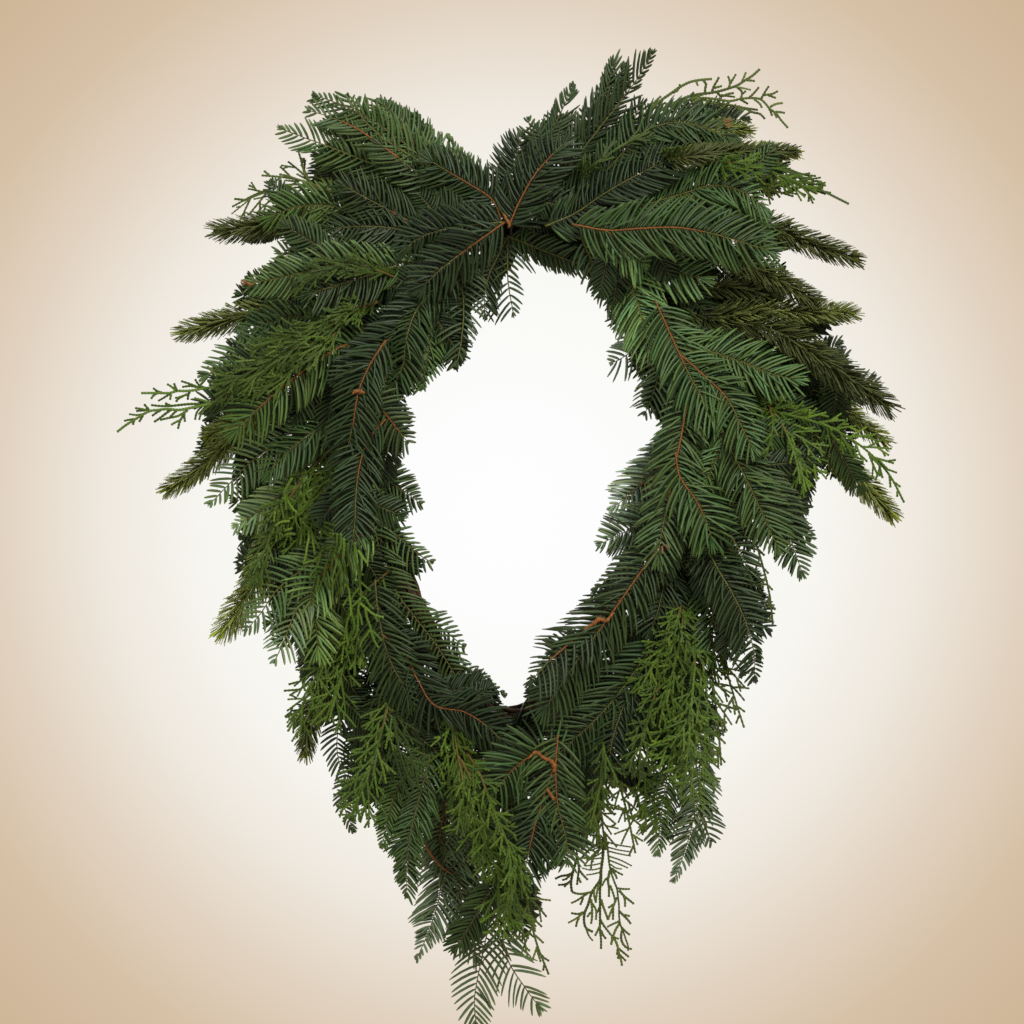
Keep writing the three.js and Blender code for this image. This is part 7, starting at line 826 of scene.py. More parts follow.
            (2.9, [(-185.8, -65.7, -294.6), (-180.3, -68.6, -299), (-176.6, -71.9, -302.5), (-173.8, -74.8, -309.6), (-171, -76.4, -314.9), (-167.5, -77, -319.3)]),
            (2.9, [(-158.7, -91.7, -258.6), (-165.3, -84.4, -262), (-171, -76.4, -268.1), (-176.7, -70.3, -274.3), (-181.3, -67.8, -280.5), (-186.6, -67.4, -285.8)]),
            (2.9, [(-163.6, -84, -269.9), (-170.3, -74.1, -272.5), (-176.8, -68.1, -277.8), (-181.4, -66.1, -282.2), (-185.8, -65.8, -287.5), (-190.2, -65.7, -290.2), (-196.4, -65.7, -292.8)]),
            (2.9, [(-165.9, -89.8, -256.8), (-171.9, -77.1, -260.2), (-176.7, -69.5, -264.6), (-181.3, -67, -268.1), (-184.9, -66.6, -272.5)]),
            (2.9, [(-192.7, -82.3, -256.7), (-196.5, -78.6, -262.9), (-200.3, -73.7, -269.9), (-198.8, -69.5, -274.3), (-196.3, -67.7, -278.7), (-192.8, -67.4, -284), (-189.3, -67.4, -286.6)]),
            (2.6, [(-199.6, -71.6, -271.6), (-195.4, -68.3, -275.2), (-190.2, -65.8, -276.9)]),
            (2.6, [(-200.5, -70.7, -273.4), (-203.3, -68.4, -278.7), (-202.5, -67, -284.9), (-200.8, -66.5, -292.8)]),
            (2.6, [(-199.6, -70.7, -273.4), (-198.9, -68.8, -279.6), (-199, -67.4, -284.9)]),
            (2.6, [(-190.1, -67.4, -286.6), (-190.2, -66.4, -294.6), (-187.6, -65.8, -299.9), (-184.1, -65.6, -302.6)]),
            (2.6, [(-185.8, -80.2, -256.7), (-183.6, -72.6, -262.8), (-182.2, -66.6, -269)]),
            (2.6, [(-179.8, -62.4, -256.5), (-185, -65.2, -261.9), (-186.6, -67.4, -268.1)]),
            (2.9, [(-172.4, -68.2, -283.1), (-171.4, -69.4, -290.2), (-169.5, -72.4, -294.6), (-166.4, -80.2, -300.7), (-161.1, -97.5, -305.9), (-155.2, -124.3, -308.3)]),
            (2.6, [(-170.5, -70.6, -292.8), (-164.2, -88.5, -295.4), (-157.9, -106.8, -297.1), (-151.8, -124.1, -298.8)]),
            (2.6, [(-166.6, -77.1, -298.1), (-160.1, -98.3, -300.7), (-154.3, -125.4, -303.1)]),
            (2.6, [(-167.5, -77.1, -299), (-167.5, -76.6, -304.3), (-167.5, -76.2, -309.6)]),
            (2.6, [(-175.1, -66.7, -286.6), (-175, -69.3, -294.6), (-176.6, -72.7, -301.7)]),
            (2.9, [(-178.4, -70.8, -301.7), (-178.3, -73.7, -309.6), (-179.9, -76, -317.5), (-180.7, -77.3, -324.6), (-182.4, -77.8, -330.7)]),
            (2.6, [(-175.7, -72.8, -304.3), (-174.7, -74.7, -311.4), (-173.7, -75.8, -318.4), (-172.8, -76.2, -324.6)]),
            (2.6, [(-184.1, -65.6, -301.7), (-185.6, -69.4, -309.6), (-186.3, -72.3, -315.8)]),
            (2.9, [(-154.3, -125.4, -305.7), (-155.1, -109.9, -313.7), (-159.5, -94.3, -318.2), (-165.4, -83.1, -320.1), (-169.1, -78.6, -325.4), (-173.6, -77.8, -329), (-179.8, -77.8, -330.7), (-183.3, -77.8, -332.5)]),
            (2.9, [(-155.1, -110.2, -313.7), (-158.7, -91.6, -324.4), (-162, -80.4, -331.6), (-164, -76.7, -338.7), (-164.9, -76.2, -344.8), (-163.1, -76.2, -350.1), (-160.5, -76.2, -354.5)]),
            (2.9, [(-167.2, -82, -321), (-169.1, -79.2, -329.8), (-171.8, -77.6, -336), (-175.4, -77.1, -340.4), (-178.1, -77, -345.7)]),
            (2.9, [(-150.8, -125.4, -304.9), (-151.1, -120.5, -315.3), (-154.3, -109.4, -324.1), (-156.8, -94.4, -333.1), (-157.5, -83.1, -340.3), (-159.5, -77.8, -346.6)]),
            (2.6, [(-147.4, -125.4, -304.9), (-147.4, -125.3, -315.3), (-150, -125.3, -322.2)]),
            (2.9, [(-154.1, -112, -322.4), (-151.4, -114.3, -329.3), (-148.3, -107.4, -335.5), (-146.4, -93.6, -342.8), (-145.2, -82.2, -349.1), (-142.8, -77.4, -355.4), (-141.9, -76.3, -364.2), (-141.1, -76.1, -371.3), (-141.1, -76, -378.4)]),
            (2.9, [(-144.8, -125.4, -309.2), (-144.8, -125, -319.6), (-145.9, -119.9, -328.3), (-145, -104.1, -335.6), (-144.5, -77.8, -343.1)]),
            (2.6, [(-148.2, -108.5, -334.6), (-151.8, -90.8, -340.2), (-155, -80.2, -346.5), (-158.7, -76.2, -352.8)]),
            (2.9, [(-135.4, -121, -312.7), (-135.6, -118.4, -324.9), (-134.3, -108.4, -333.7), (-133.2, -93.4, -342.8), (-132.9, -81.7, -351.8), (-132.2, -76.9, -360.7), (-134, -76, -367.8), (-134.9, -75.9, -374.8), (-134.9, -75.2, -383.7), (-135.9, -73, -392.6), (-139.6, -69.5, -399.8)]),
            (2.9, [(-141.3, -125.2, -313.5), (-141.5, -120.4, -324), (-141.2, -109.3, -331.1), (-139.4, -93.6, -338.4), (-137.5, -77.8, -343.9)]),
            (2.6, [(-132.9, -119.4, -319.7), (-129.3, -122.7, -324.8), (-124.8, -125.3, -330.9)]),
            (2.6, [(-140.1, -77.8, -345.7), (-134, -77, -347.5), (-128.7, -76.4, -351.9), (-123.4, -76, -356.3)]),
            (2.6, [(-132.2, -77, -360.7), (-127.8, -76.9, -363.3), (-125.2, -76.8, -367.8), (-120.8, -76.8, -372.2)]),
            (2.9, [(-133.1, -76, -366.9), (-127.9, -75.6, -371.3), (-122.6, -75.3, -375.7), (-117.3, -75.2, -378.4), (-112, -75.2, -379.3)]),
            (2.6, [(-120.8, -75.3, -376.6), (-119, -75.7, -380.1), (-117.3, -76, -383.7)]),
            (2.9, [(-128.7, -75.6, -371.3), (-127, -76.3, -380.1), (-124.3, -76.7, -387.2), (-122.5, -76.8, -394.2), (-119.9, -76.8, -401.3), (-116.4, -76.8, -406.5)]),
            (2.6, [(-123.4, -76.7, -390.7), (-118.2, -75.9, -395.1), (-113.8, -75.2, -400.4)]),
            (2.6, [(-124.3, -76.7, -390.7), (-127.8, -76.3, -396), (-131.4, -76.1, -400.4), (-133.1, -76, -405.7)]),
            (2.6, [(-141.1, -76, -374.8), (-138.5, -75.6, -383.7), (-138.5, -73.7, -390.8), (-140.5, -70.1, -395.3)]),
            (2.6, [(-141.9, -76.9, -360.7), (-145.6, -74.2, -365.2), (-148.3, -73.6, -369.6)]),
            (2.9, [(-141.1, -76, -374.8), (-144.8, -72.2, -383.8), (-145.8, -69.9, -390.9), (-144.9, -69.4, -398), (-144, -69.6, -404.2)]),
            (2.6, [(-134.9, -76, -373.1), (-132.2, -76.4, -380.1), (-131.3, -76.8, -386.3)]),
            (2.6, [(-167.5, -76.7, -337.8), (-172.8, -76.4, -341.3), (-177.2, -76.2, -346.6)]),
            (2.6, [(-169.3, -76.5, -342.2), (-170.1, -76.8, -349.2), (-171.9, -77, -356.3)]),
            (2.6, [(-148.6, -101.7, -339.1), (-149.3, -88.2, -349.9), (-149.8, -77.8, -358.9)]),
            (2.6, [(-145.8, -87.6, -346.4), (-150.5, -81.2, -354.4), (-154.3, -76.2, -359.8)]),
            (2.6, [(-133.8, -80.6, -353.6), (-138.3, -78, -358.9), (-141.1, -76, -364.3)]),
            (2.6, [(-132.2, -77, -362.5), (-136.6, -76.9, -366.9), (-140.2, -76.8, -370.4)]),
            (2.6, [(-205.2, -67.1, -284.9), (-207.1, -64.7, -293.7), (-209.2, -60.2, -299.9), (-212.4, -53.2, -304.4)]),
            (2.6, [(-208.8, -66.7, -285.8), (-209.7, -66.4, -295.5)]),
            (2.9, [(-190.5, -62.1, -306.1), (-197.6, -62.2, -306.1), (-204.9, -58.1, -309.7), (-210.8, -50.7, -314.2), (-214.9, -42.8, -317.9)]),
            (2.6, [(-193.2, -60.6, -300.8), (-202.1, -60.3, -303.5), (-208.8, -54, -305.3), (-215, -41.7, -309)]),
            (2.6, [(-195.6, -65.7, -294.6), (-203.5, -66.1, -295.5), (-208.8, -66.3, -299)])])],
}
# Shoots whose needles lie closer along the stem: node, shoot number, needle angle.
POINTED = {("fir_spray_03", 2): 42, ("fir_spray_03", 3): 44, ("fir_spray_03", 4): 42, ("fir_spray_03", 5): 50, ("fir_spray_01", 4): 52, ("fir_spray_01", 7): 50, ("fir_spray_05", 0): 54, ("fir_spray_05", 1): 54}
# Knots in bare stems, with a radius at each point, and the few dry needles: place, heading, spread, count, length.
DETAILS = {
    "fir_spray_12": [("knot", [(-138.9, -103.3, -183.6, 1.2), (-134.5, -103.1, -180.9, 1.7), (-127.5, -102.9, -182.7, 1.4)])],
    "fir_spray_22": [("knot", [(63, -98.6, -389.9, 0.8), (71.8, -98.4, -384.7, 1.3), (77.9, -98.2, -380.3, 2.2), (83.2, -98, -382, 1.8), (87.5, -97.8, -377.7, 1.4), (90.2, -97.6, -374.2, 0.9)])],
    "fir_spray_20": [("knot", [(14.9, -89.2, -503.5, 0.9), (22, -89, -497.3, 1.4), (29, -88.8, -502.6, 1.3), (35.1, -88.6, -505.2, 1.7), (38.6, -88.4, -510.5, 2.1), (36.9, -88.2, -515.8, 1.1)]),
        ("knot", [(31.7, -86.1, -530.1, 1.4), (35.2, -85.9, -535.4, 1.7), (38.7, -85.7, -540.6, 1.1)])],
    "fir_spray_06": [("knot", [(-232.5, -90.6, -84.8, 0.9), (-229, -90.4, -86.6, 1.4), (-225.5, -90.2, -86.6, 0.8)]),
        ("dry", (-232.5, -90.4, -85.7), (-1, -0.1, -0.1), 1.6, 4, 5)],
    "fir_spray_04": [("knot", [(-7, -92.7, -24.5, 0.9), (-2.6, -92.5, -32.4, 1.4), (-0.9, -92.3, -36.8, 1)])],
    "fir_spray_18": [("knot", [(-78.3, -15.8, -584.5, 0.8), (-71.1, -15.6, -596.2, 1.2), (-63, -15.4, -605.2, 1.1), (-53.1, -15.2, -612.4, 0.8)])],
    "fir_spray_25": [("dry", (133.7, -104.2, -315.5), (0.35, -0.1, -1), 2.4, 4, 7)],
    "fir_spray_33": [("dry", (194.2, -73.5, 57.6), (-1, -0.15, -0.25), 3, 7, 6)],
}
RING_LINE = [(0, -33.7), (-25.5, -36.2), (-49.1, -46.1), (-70, -60.8), (-87.1, -79.9), (-100.8, -101.5), (-111.6, -124.8), (-119.3, -149.2), (-124.1, -174.4), (-125.9, -199.9), (-125.3, -225.6), (-121.9, -253.8), (-117, -279), (-110.7, -303.9), (-103.2, -328.4), (-94.6, -352.5), (-84.8, -376.2), (-73.7, -399.4), (-61.1, -421.7), (-46, -442.4), (-27.8, -460.4), (-5.1, -471.6), (22, -465), (41.7, -448.7), (58, -429), (71.5, -407.2), (83.3, -384.4), (94.9, -361.5), (106, -338.4), (116.7, -315.1), (126.9, -291.6), (136.7, -267.8), (146, -244), (155.9, -217.2), (161.3, -192.2), (162.6, -166.6), (157.8, -141.5), (147.7, -118), (134.5, -96), (119.2, -75.4), (100.5, -58), (78.2, -45.3), (53.9, -37.4), (28.5, -34.2)]

WORLD_LIGHT = 0.20
SCALE_LENGTH = 1.0
RING_RADIUS = 12.0
RING_DEPTH_Y = -15.5
WIRE_RADIUS = 0.8
WIRE_COIL_RADIUS = 13.6
WIRE_TURNS = 17
HANGER_WIRE_RADIUS = 1.25
HANGER_WRAP_RADIUS = 17.5
HANGER_EYE_RADIUS = 11.0
HANGER_EYE_RISE = 24.0

# ------------------------------------------------------------------ small helpers
def unit(v):
    n = np.linalg.norm(v, axis=-1, keepdims=True)
    return v / np.maximum(n, 1e-9)


def lin(c):
    """sRGB 0..255 to linear"""
    out = []
    for v in c:
        v = v / 255.0
        out.append(v / 12.92 if v <= 0.04045 else ((v + 0.055) / 1.055) ** 2.4)
    return (out[0], out[1], out[2], 1.0)


def smooth_line(pts, step, closed=False):
    """Centripetal Catmull-Rom through the points, resampled at an even step."""
    p = [np.array(q, float) for q in pts]
    n = len(p)
    if closed:
        ctrl = [p[-1]] + p + [p[0], p[1]]
    else:
        ctrl = [2 * p[0] - p[1]] + p + [2 * p[-1] - p[-2]]
    out = []
    for i in range(1, len(ctrl) - 2):
        p0, p1, p2, p3 = ctrl[i - 1], ctrl[i], ctrl[i + 1], ctrl[i + 2]
        t1 = max(1e-6, np.linalg.norm(p1 - p0)) ** 0.5
        t2 = t1 + max(1e-6, np.linalg.norm(p2 - p1)) ** 0.5
        t3 = t2 + max(1e-6, np.linalg.norm(p3 - p2)) ** 0.5
        for t in np.linspace(t1, t2, 16, endpoint=False):
            a1 = (t1 - t) / t1 * p0 + t / t1 * p1
            a2 = (t2 - t) / (t2 - t1) * p1 + (t - t1) / (t2 - t1) * p2
            a3 = (t3 - t) / (t3 - t2) * p2 + (t - t2) / (t3 - t2) * p3
            b1 = (t2 - t) / t2 * a1 + t / t2 * a2
            b2 = (t3 - t) / (t3 - t1) * a2 + (t - t1) / (t3 - t1) * a3
            out.append((t2 - t) / (t2 - t1) * b1 + (t - t1) / (t2 - t1) * b2)
    out.append(p[0] if closed else p[-1])
    out = np.array(out)
    seg = np.r_[0, np.cumsum(np.linalg.norm(np.diff(out, axis=0), axis=1))]
    m = max(3, int(round(seg[-1] / step)))
    s = np.linspace(0, seg[-1], m, endpoint=False) if closed else np.linspace(0, seg[-1], m + 1)
    return np.stack([np.interp(s, seg, out[:, k]) for k in range(3)], 1), s, seg[-1]


class Soup:
    """Collects closed islands: vertices, quads, a UV per corner, a material per face."""

    def __init__(self):
        self.v, self.f, self.uv, self.m = [], [], [], []
        self.n = 0

    def grid(self, ring_pts, uvs, mat, cap=True):
        """ring_pts (N, S, R, 3): N lofted bodies of S rings with R points; uvs (N, S, R+1, 2)."""
        N, S, R, _ = ring_pts.shape
        base = self.n + np.arange(N)[:, None, None] * (S * R)
        s = np.arange(S - 1)[None, :, None]
        r = np.arange(R)[None, None, :]
        r2 = (r + 1) % R
        a = base + s * R + r
        b = base + s * R + r2
        c = base + (s + 1) * R + r2
        d = base + (s + 1) * R + r
        q = np.stack([a, b, c, d], -1).reshape(-1, 4)
        u = np.stack([uvs[:, :-1, :-1], uvs[:, :-1, 1:], uvs[:, 1:, 1:], uvs[:, 1:, :-1]], -2).reshape(-1, 4, 2)
        self.f.append(q)
        self.uv.append(u)
        self.m.append(np.full(len(q), mat, np.int32))
        if cap and R == 4:
            for k, order in ((0, (3, 2, 1, 0)), (S - 1, (0, 1, 2, 3))):
                q = (base[:, 0, 0][:, None] + k * R + np.array(order)[None, :])
                u = np.stack([uvs[:, k, j] for j in order], 1)
                self.f.append(q)
                self.uv.append(u)
                self.m.append(np.full(len(q), mat, np.int32))
        elif cap:
            # a fan of quads would need an even count, so the caps close onto a centre line of quads
            for k, flip in ((0, True), (S - 1, False)):
                h = R // 2
                for j in range(h - 1):
                    o = (j, j + 1, R - 2 - j, R - 1 - j)
                    if flip:
                        o = o[::-1]
                    q = base[:, 0, 0][:, None] + k * R + np.array(o)[None, :]
                    u = np.stack([uvs[:, k, x] for x in o], 1)
                    self.f.append(q)
                    self.uv.append(u)
                    self.m.append(np.full(len(q), mat, np.int32))
        self.v.append(ring_pts.reshape(-1, 3))
        self.n += N * S * R

    def build(self, name, materials, smooth=True):
        v = np.concatenate(self.v) * 0.001
        f = np.concatenate(self.f)
        uv = np.concatenate(self.uv)
        m = np.concatenate(self.m)
        me = bpy.data.meshes.new(name)
        me.vertices.add(len(v))
        me.vertices.foreach_set("co", v.astype(np.float32).ravel())
        me.loops.add(len(f) * 4)
        me.loops.foreach_set("vertex_index", f.astype(np.int32).ravel())
        me.polygons.add(len(f))
        me.polygons.foreach_set("loop_start", (np.arange(len(f)) * 4).astype(np.int32))
        me.polygons.foreach_set("loop_total", np.full(len(f), 4, np.int32))
        me.polygons.foreach_set("material_index", m)
        me.polygons.foreach_set("use_smooth", np.full(len(f), smooth))
        layer = me.uv_layers.new(name="OFBake")
        layer.data.foreach_set("uv", uv.astype(np.float32).ravel())
        for mat in materials:
            me.materials.append(mat)
        me.update(calc_edges=True)
        me.validate()
        ob = bpy.data.objects.new(name, me)
        bpy.context.scene.collection.objects.link(ob)
        return ob


# UV bands: needles (upper faces, under faces) and stems keep apart, so that one map holds all.
ROWS = 24
LIT_ROWS = 17          # rows above this are the shaded needles under a shoot
TOP_LO, TOP_HI = 0.01, 0.45
UND_LO, UND_HI = 0.46, 0.76
STEM_LO, STEM_HI = 0.78, 0.99


def needles(soup, P, D, C, N, L, W, rng, mat, thick=0.34, point=0.30, rows="lit"):
    """Flat, grooved, blunt needles. P base, D direction, C bend, N upper normal, L length, W width."""
    n = len(P)
    if n == 0:
        return
    s = np.array([0.0, 0.10, 0.32, 0.62, 0.87, 1.0])
    prof = np.array([0.45, 0.82, 1.0, 0.96, 0.76, point])
    p = P[:, None] + L[:, None, None] * (s[None, :, None] * D[:, None] + (s ** 2)[None, :, None] * C[:, None])
    t = unit(D[:, None] + 2 * s[None, :, None] * C[:, None])
    nn = np.broadcast_to(N[:, None], t.shape)
    side = unit(np.cross(t, nn))
    up = unit(np.cross(side, t))
    w = 0.5 * W[:, None] * prof[None]
    th = thick * np.sqrt(prof)[None] * np.ones((n, 1))
    ring = np.stack([
        p - side * w[..., None] + up * 0.10,
        p - up * 0.02,
        p + side * w[..., None] + up * 0.10,
        p - up * th[..., None],
    ], 2)
    row = rng.randint(0, LIT_ROWS, n) if rows == "lit" else rng.randint(LIT_ROWS, ROWS, n)
    dv = (TOP_HI - TOP_LO) / ROWS
    v0 = TOP_LO + row * dv
    dw = (UND_HI - UND_LO) / ROWS
    u0 = UND_LO + row * dw
    U = np.broadcast_to((0.01 + 0.98 * s)[None, :], (n, len(s)))
    # corner columns: left, groove, right, keel, left again
    V = np.stack([v0 + 0.1 * dv, v0 + 0.5 * dv, v0 + 0.9 * dv, u0 + 0.5 * dw, u0 + 0.9 * dw], 1)
    uv = np.zeros((n, len(s), 5, 2))
    uv[..., 0] = U[..., None]
    uv[..., 1] = V[:, None, :]
    # the quad from the right edge to the keel needs its first corner in the under band
    start = soup.n
    S, R = len(s), 4
    base = start + np.arange(n)[:, None, None] * (S * R)
    k = np.arange(S - 1)[None, :, None]
    r = np.arange(R)[None, None, :]
    r2 = (r + 1) % R
    q = np.stack([base + k * R + r, base + k * R + r2, base + (k + 1) * R + r2, base + (k + 1) * R + r], -1).reshape(-1, 4)
    va = np.stack([v0 + 0.1 * dv, v0 + 0.5 * dv, u0 + 0.1 * dw, u0 + 0.5 * dw], 1)   # first corner of each column
    vb = np.stack([v0 + 0.5 * dv, v0 + 0.9 * dv, u0 + 0.5 * dw, u0 + 0.9 * dw], 1)   # second corner
    ua = U[:, :-1]
    ub = U[:, 1:]
    sh = (n, S - 1, R)
    c0 = np.stack([np.broadcast_to(ua[..., None], sh), np.broadcast_to(va[:, None], sh)], -1)
    c1 = np.stack([np.broadcast_to(ua[..., None], sh), np.broadcast_to(vb[:, None], sh)], -1)
    c2 = np.stack([np.broadcast_to(ub[..., None], sh), np.broadcast_to(vb[:, None], sh)], -1)
    c3 = np.stack([np.broadcast_to(ub[..., None], sh), np.broadcast_to(va[:, None], sh)], -1)
    soup.f.append(q)
    soup.uv.append(np.stack([c0, c1, c2, c3], -2).reshape(-1, 4, 2))
    soup.m.append(np.full(len(q), mat, np.int32))
    for kk, order in ((0, (3, 2, 1, 0)), (S - 1, (0, 1, 2, 3))):
        q = base[:, 0, 0][:, None] + kk * R + np.array(order)[None]
        e = 0.01 + 0.98 * s[kk]
        cols = np.stack([v0 + 0.1 * dv, v0 + 0.5 * dv, v0 + 0.9 * dv, v0 + 0.5 * dv], 1)[:, list(order)]
        us = np.array([e, e + (0.008 if kk == 0 else -0.008), e, e - (0.006 if kk else -0.004)])[list(order)]
        soup.f.append(q)
        soup.uv.append(np.stack([np.broadcast_to(us[None], (n, 4)), cols], -1))
        soup.m.append(np.full(n, mat, np.int32))
    soup.v.append(ring.reshape(-1, 3))
    soup.n += n * S * R


def tube(soup, path, radius, rng, mat, sides=6, ref=None, lump=0.0, squash=1.0, band=(STEM_LO, STEM_HI)):
    """A stem along path with a radius per point."""
    t = unit(np.gradient(path, axis=0))
    ref = np.array([0.0, -1.0, 0.0]) if ref is None else ref
    a = unit(np.cross(t, np.broadcast_to(ref, t.shape)))
    b = unit(np.cross(a, t))
    ang = np.arange(sides) * 2 * math.pi / sides
    rr = radius[:, None] * (1 + lump * rng.uniform(-1, 1, (len(path), sides)))
    ring = path[:, None] + a[:, None] * (np.cos(ang)[None, :, None] * rr[..., None]) + b[:, None] * (np.sin(ang)[None, :, None] * rr[..., None] * squash)
    s = np.r_[0, np.cumsum(np.linalg.norm(np.diff(path, axis=0), axis=1))]
    uv = np.zeros((1, len(path), sides + 1, 2))
    off = rng.uniform(0, 0.2)
    uv[0, :, :, 0] = np.clip(off + s[:, None] / 420.0, 0, 0.999)
    uv[0, :, :, 1] = band[0] + (band[1] - band[0]) * np.arange(sides + 1)[None] / sides
    soup.grid(ring[None], uv, mat)


def egg(soup, centre, axis, length, radius, rng, mat, sides=6):
    """A small bud."""
    s = np.array([0.0, 0.25, 0.55, 0.82, 1.0])
    r = radius * np.array([0.55, 0.95, 1.0, 0.62, 0.12])
    path = centre[None] + axis[None] * (s[:, None] * length)
    ref = np.array([0.3, 0.2, 0.9]) if abs(axis[2]) < 0.8 else np.array([1.0, 0.0, 0.0])
    tube(soup, path, r, rng, mat, sides=sides, ref=ref)


def frames(line, roll, closed=False):
    """Tangent, across and front-facing normal along a shoot, with the roll coming in over its first part."""
    t = unit(np.gradient(line, axis=0))
    a = unit(np.stack([-t[:, 2], np.zeros(len(t)), t[:, 0]], 1))
    u = np.linspace(0, 1, len(line))
    a = unit(a + np.array([0, -1.0, 0])[None] * (roll * np.clip(u / 0.30, 0, 1))[:, None])
    a = unit(a - t * np.sum(a * t, 1)[:, None])
    n = np.cross(a, t)
    flip = n[:, 1] > 0
    n[flip] *= -1
    return t, a, n


def at(arr, s, q):
    return np.stack([np.interp(q, s, arr[:, k]) for k in range(3)], 1)


def wave(rng, x, scale, amp):
    """a slow wander along a shoot"""
    return amp * (np.sin(2 * math.pi * (x / scale + rng.rand())) + 0.5 * np.sin(2 * math.pi * (2.3 * x / scale + rng.rand())))


PLACES = (0.08, 0.30, 0.52, 0.74, 0.94)


def fir_shoot(soup, rng, line, roll, reach, mats, sparse=0.0, width=2.3, angle=64.0, under=False, trim=None):
    """One flat comb shoot: curved needles in two ranks, a comb under them painted darker as shade, and a thin stem."""
    path, s, length = smooth_line(line, 2.5)
    t, a, n = frames(path, roll)
    stem_end = max(length * 0.6, length - 0.42 * reach)
    k = s <= stem_end + 1e-6
    sp = path[k]
    thick = 1.0 + 0.35 * min(1.0, reach / 25.0)
    rad = np.interp(np.linspace(0, 1, len(sp)), [0, 0.5, 1], [0.58 * thick, 0.44 * thick, 0.28 * thick])
    sq = sp + rng.normal(0, 0.08, sp.shape) + n[k] * (0.35 if "bark" in mats else -0.2)
    rad = rad * (1 + 0.10 * rng.uniform(-1, 1, len(sp))) * (1 + 0.35 * sparse)
    if "bark" in mats:
        # the bark is bare and orange up to somewhere along the shoot, then green
        cut = int(np.clip(len(sp) * rng.uniform(0.50, 0.92), 3, len(sp) - 2))
        tube(soup, sq[:cut + 1], rad[:cut + 1] * 1.0, rng, mats["bark"], sides=6, lump=0.14)
        if len(sp) - cut >= 2:
            tube(soup, sq[cut:], rad[cut:] * 0.9, rng, mats["stem"], sides=6, lump=0.10)
    else:
        tube(soup, sq, rad * 0.92, rng, mats["stem"], sides=6, lump=0.10)
    pitch = (2.35 + 0.085 * reach) * (1.0 + 0.40 * sparse)
    wa = rng.uniform(0, 1, 4)

    def comb(side, phase, lenf, al, el, wf, rows, skip, jit, pitch_k=1.0, start=0.0, end=1.0):
        pk = pitch * pitch_k
        q = np.arange(2.0 + start * stem_end + phase * pk, stem_end * end, pk)
        q = q + rng.uniform(-0.13, 0.13, len(q)) * pk
        q = np.clip(q, 0.5, stem_end)
        q = q[rng.rand(len(q)) > skip]
        if len(q) == 0:
            return
        T, A, U = unit(at(t, s, q)), unit(at(a, s, q)), unit(at(n, s, q))
        x = q / stem_end
        slow = 6.0 * np.sin(2 * math.pi * (q / 55.0 + wa[0] + 0.3 * side)) + 3.0 * np.sin(2 * math.pi * (q / 23.0 + wa[1]))
        alp = np.radians(al * np.interp(x, [0, 0.1, 0.75, 0.92, 1.0], [1.12, 1.05, 0.98, 0.80, 0.45]) + slow + rng.normal(0, jit, len(q)))
        ele = np.radians(el + 5.0 * np.sin(2 * math.pi * (q / 70.0 + wa[2])) + rng.normal(0, 0.8 * jit, len(q)))
        D = T * np.cos(alp)[:, None] + (A * (side * np.cos(ele))[:, None] + U * np.sin(ele)[:, None]) * np.sin(alp)[:, None]
        D = unit(D)
        bend = np.interp(x, [0, 0.8, 1.0], [0.34, 0.30, 0.12]) * rng.uniform(0.75, 1.25, len(q))
        C = T * bend[:, None] - U * (0.10 + 0.05 * rng.normal(0, 1, len(q)))[:, None]
        env = np.interp(x, [0, 0.12, 0.35, 0.78, 1.0], [0.70, 0.92, 1.0, 0.96, 0.64])
        L = reach * lenf * env * rng.uniform(0.93, 1.06, len(q))
        if trim is not None:
            L = L * np.interp(q / length, PLACES, trim[0 if side < 0 else 1])
        W = width * (1.0 + 0.12 * sparse) * wf * rng.uniform(0.88, 1.12, len(q))
        N = unit(U * 1.0 + A * (0.30 * side + rng.normal(0, 0.16, len(q)))[:, None] + T * rng.normal(0, 0.12, len(q))[:, None])
        needles(soup, at(path, s, q) + D * 0.4 + U * 0.2, D, C, N, L, W, rng, mats["needle"], rows=rows)

    for side in (-1.0, 1.0):
        ph = rng.rand()
        comb(side, ph, 1.0, angle, 4.0, 1.0, "lit", 0.02 + 0.05 * sparse, 2.6)
        # the combs below the upper needles take the shade rows: painted shade that darkens the gaps between the upper
        # needles
        if sparse < 0.45:
            comb(side, ph + 0.5, 0.93, angle + 3, -13.0, 1.10, "shade", 0.04, 4.0, end=0.90)
        if sparse < 0.1:
            comb(side, ph + 0.75, 0.84, angle - 6, -34.0, 1.65, "shade", 0.06, 6.0, end=0.80)
        if sparse < 0.4 and not under:
            comb(side, ph + 0.2, 0.66, angle - 16, 24.0, 0.85, "lit", 0.25, 7.0, pitch_k=3.3, start=0.05)
    last = 1.0 if trim is None else min(1.0, 0.5 * (trim[0][-1] + trim[1][-1]))
    m = 5 if last > 0.6 else 3
    i = max(1, np.searchsorted(s, stem_end) - 1)
    T, A, U = t[i], a[i], n[i]
    sd = np.linspace(-1, 1, m) + rng.uniform(-0.1, 0.1, m)
    alp = np.radians(20 * np.abs(sd) + rng.uniform(-3, 3, m))
    D = unit(T[None] * np.cos(alp)[:, None] + A[None] * (np.sign(sd) * np.sin(alp))[:, None] + U[None] * rng.normal(0.0, 0.06, m)[:, None])
    C = T[None] * 0.03 + np.zeros((m, 1)) - U[None] * 0.05
    needles(soup, path[i][None] + D * 0.3, D, C, unit(U[None] + A[None] * rng.normal(0, 0.2, m)[:, None]), reach * last * rng.uniform(0.46, 0.62, m), np.full(m, width * (0.86 if last > 0.6 else 0.72)), rng, mats["needle"], rows="lit")


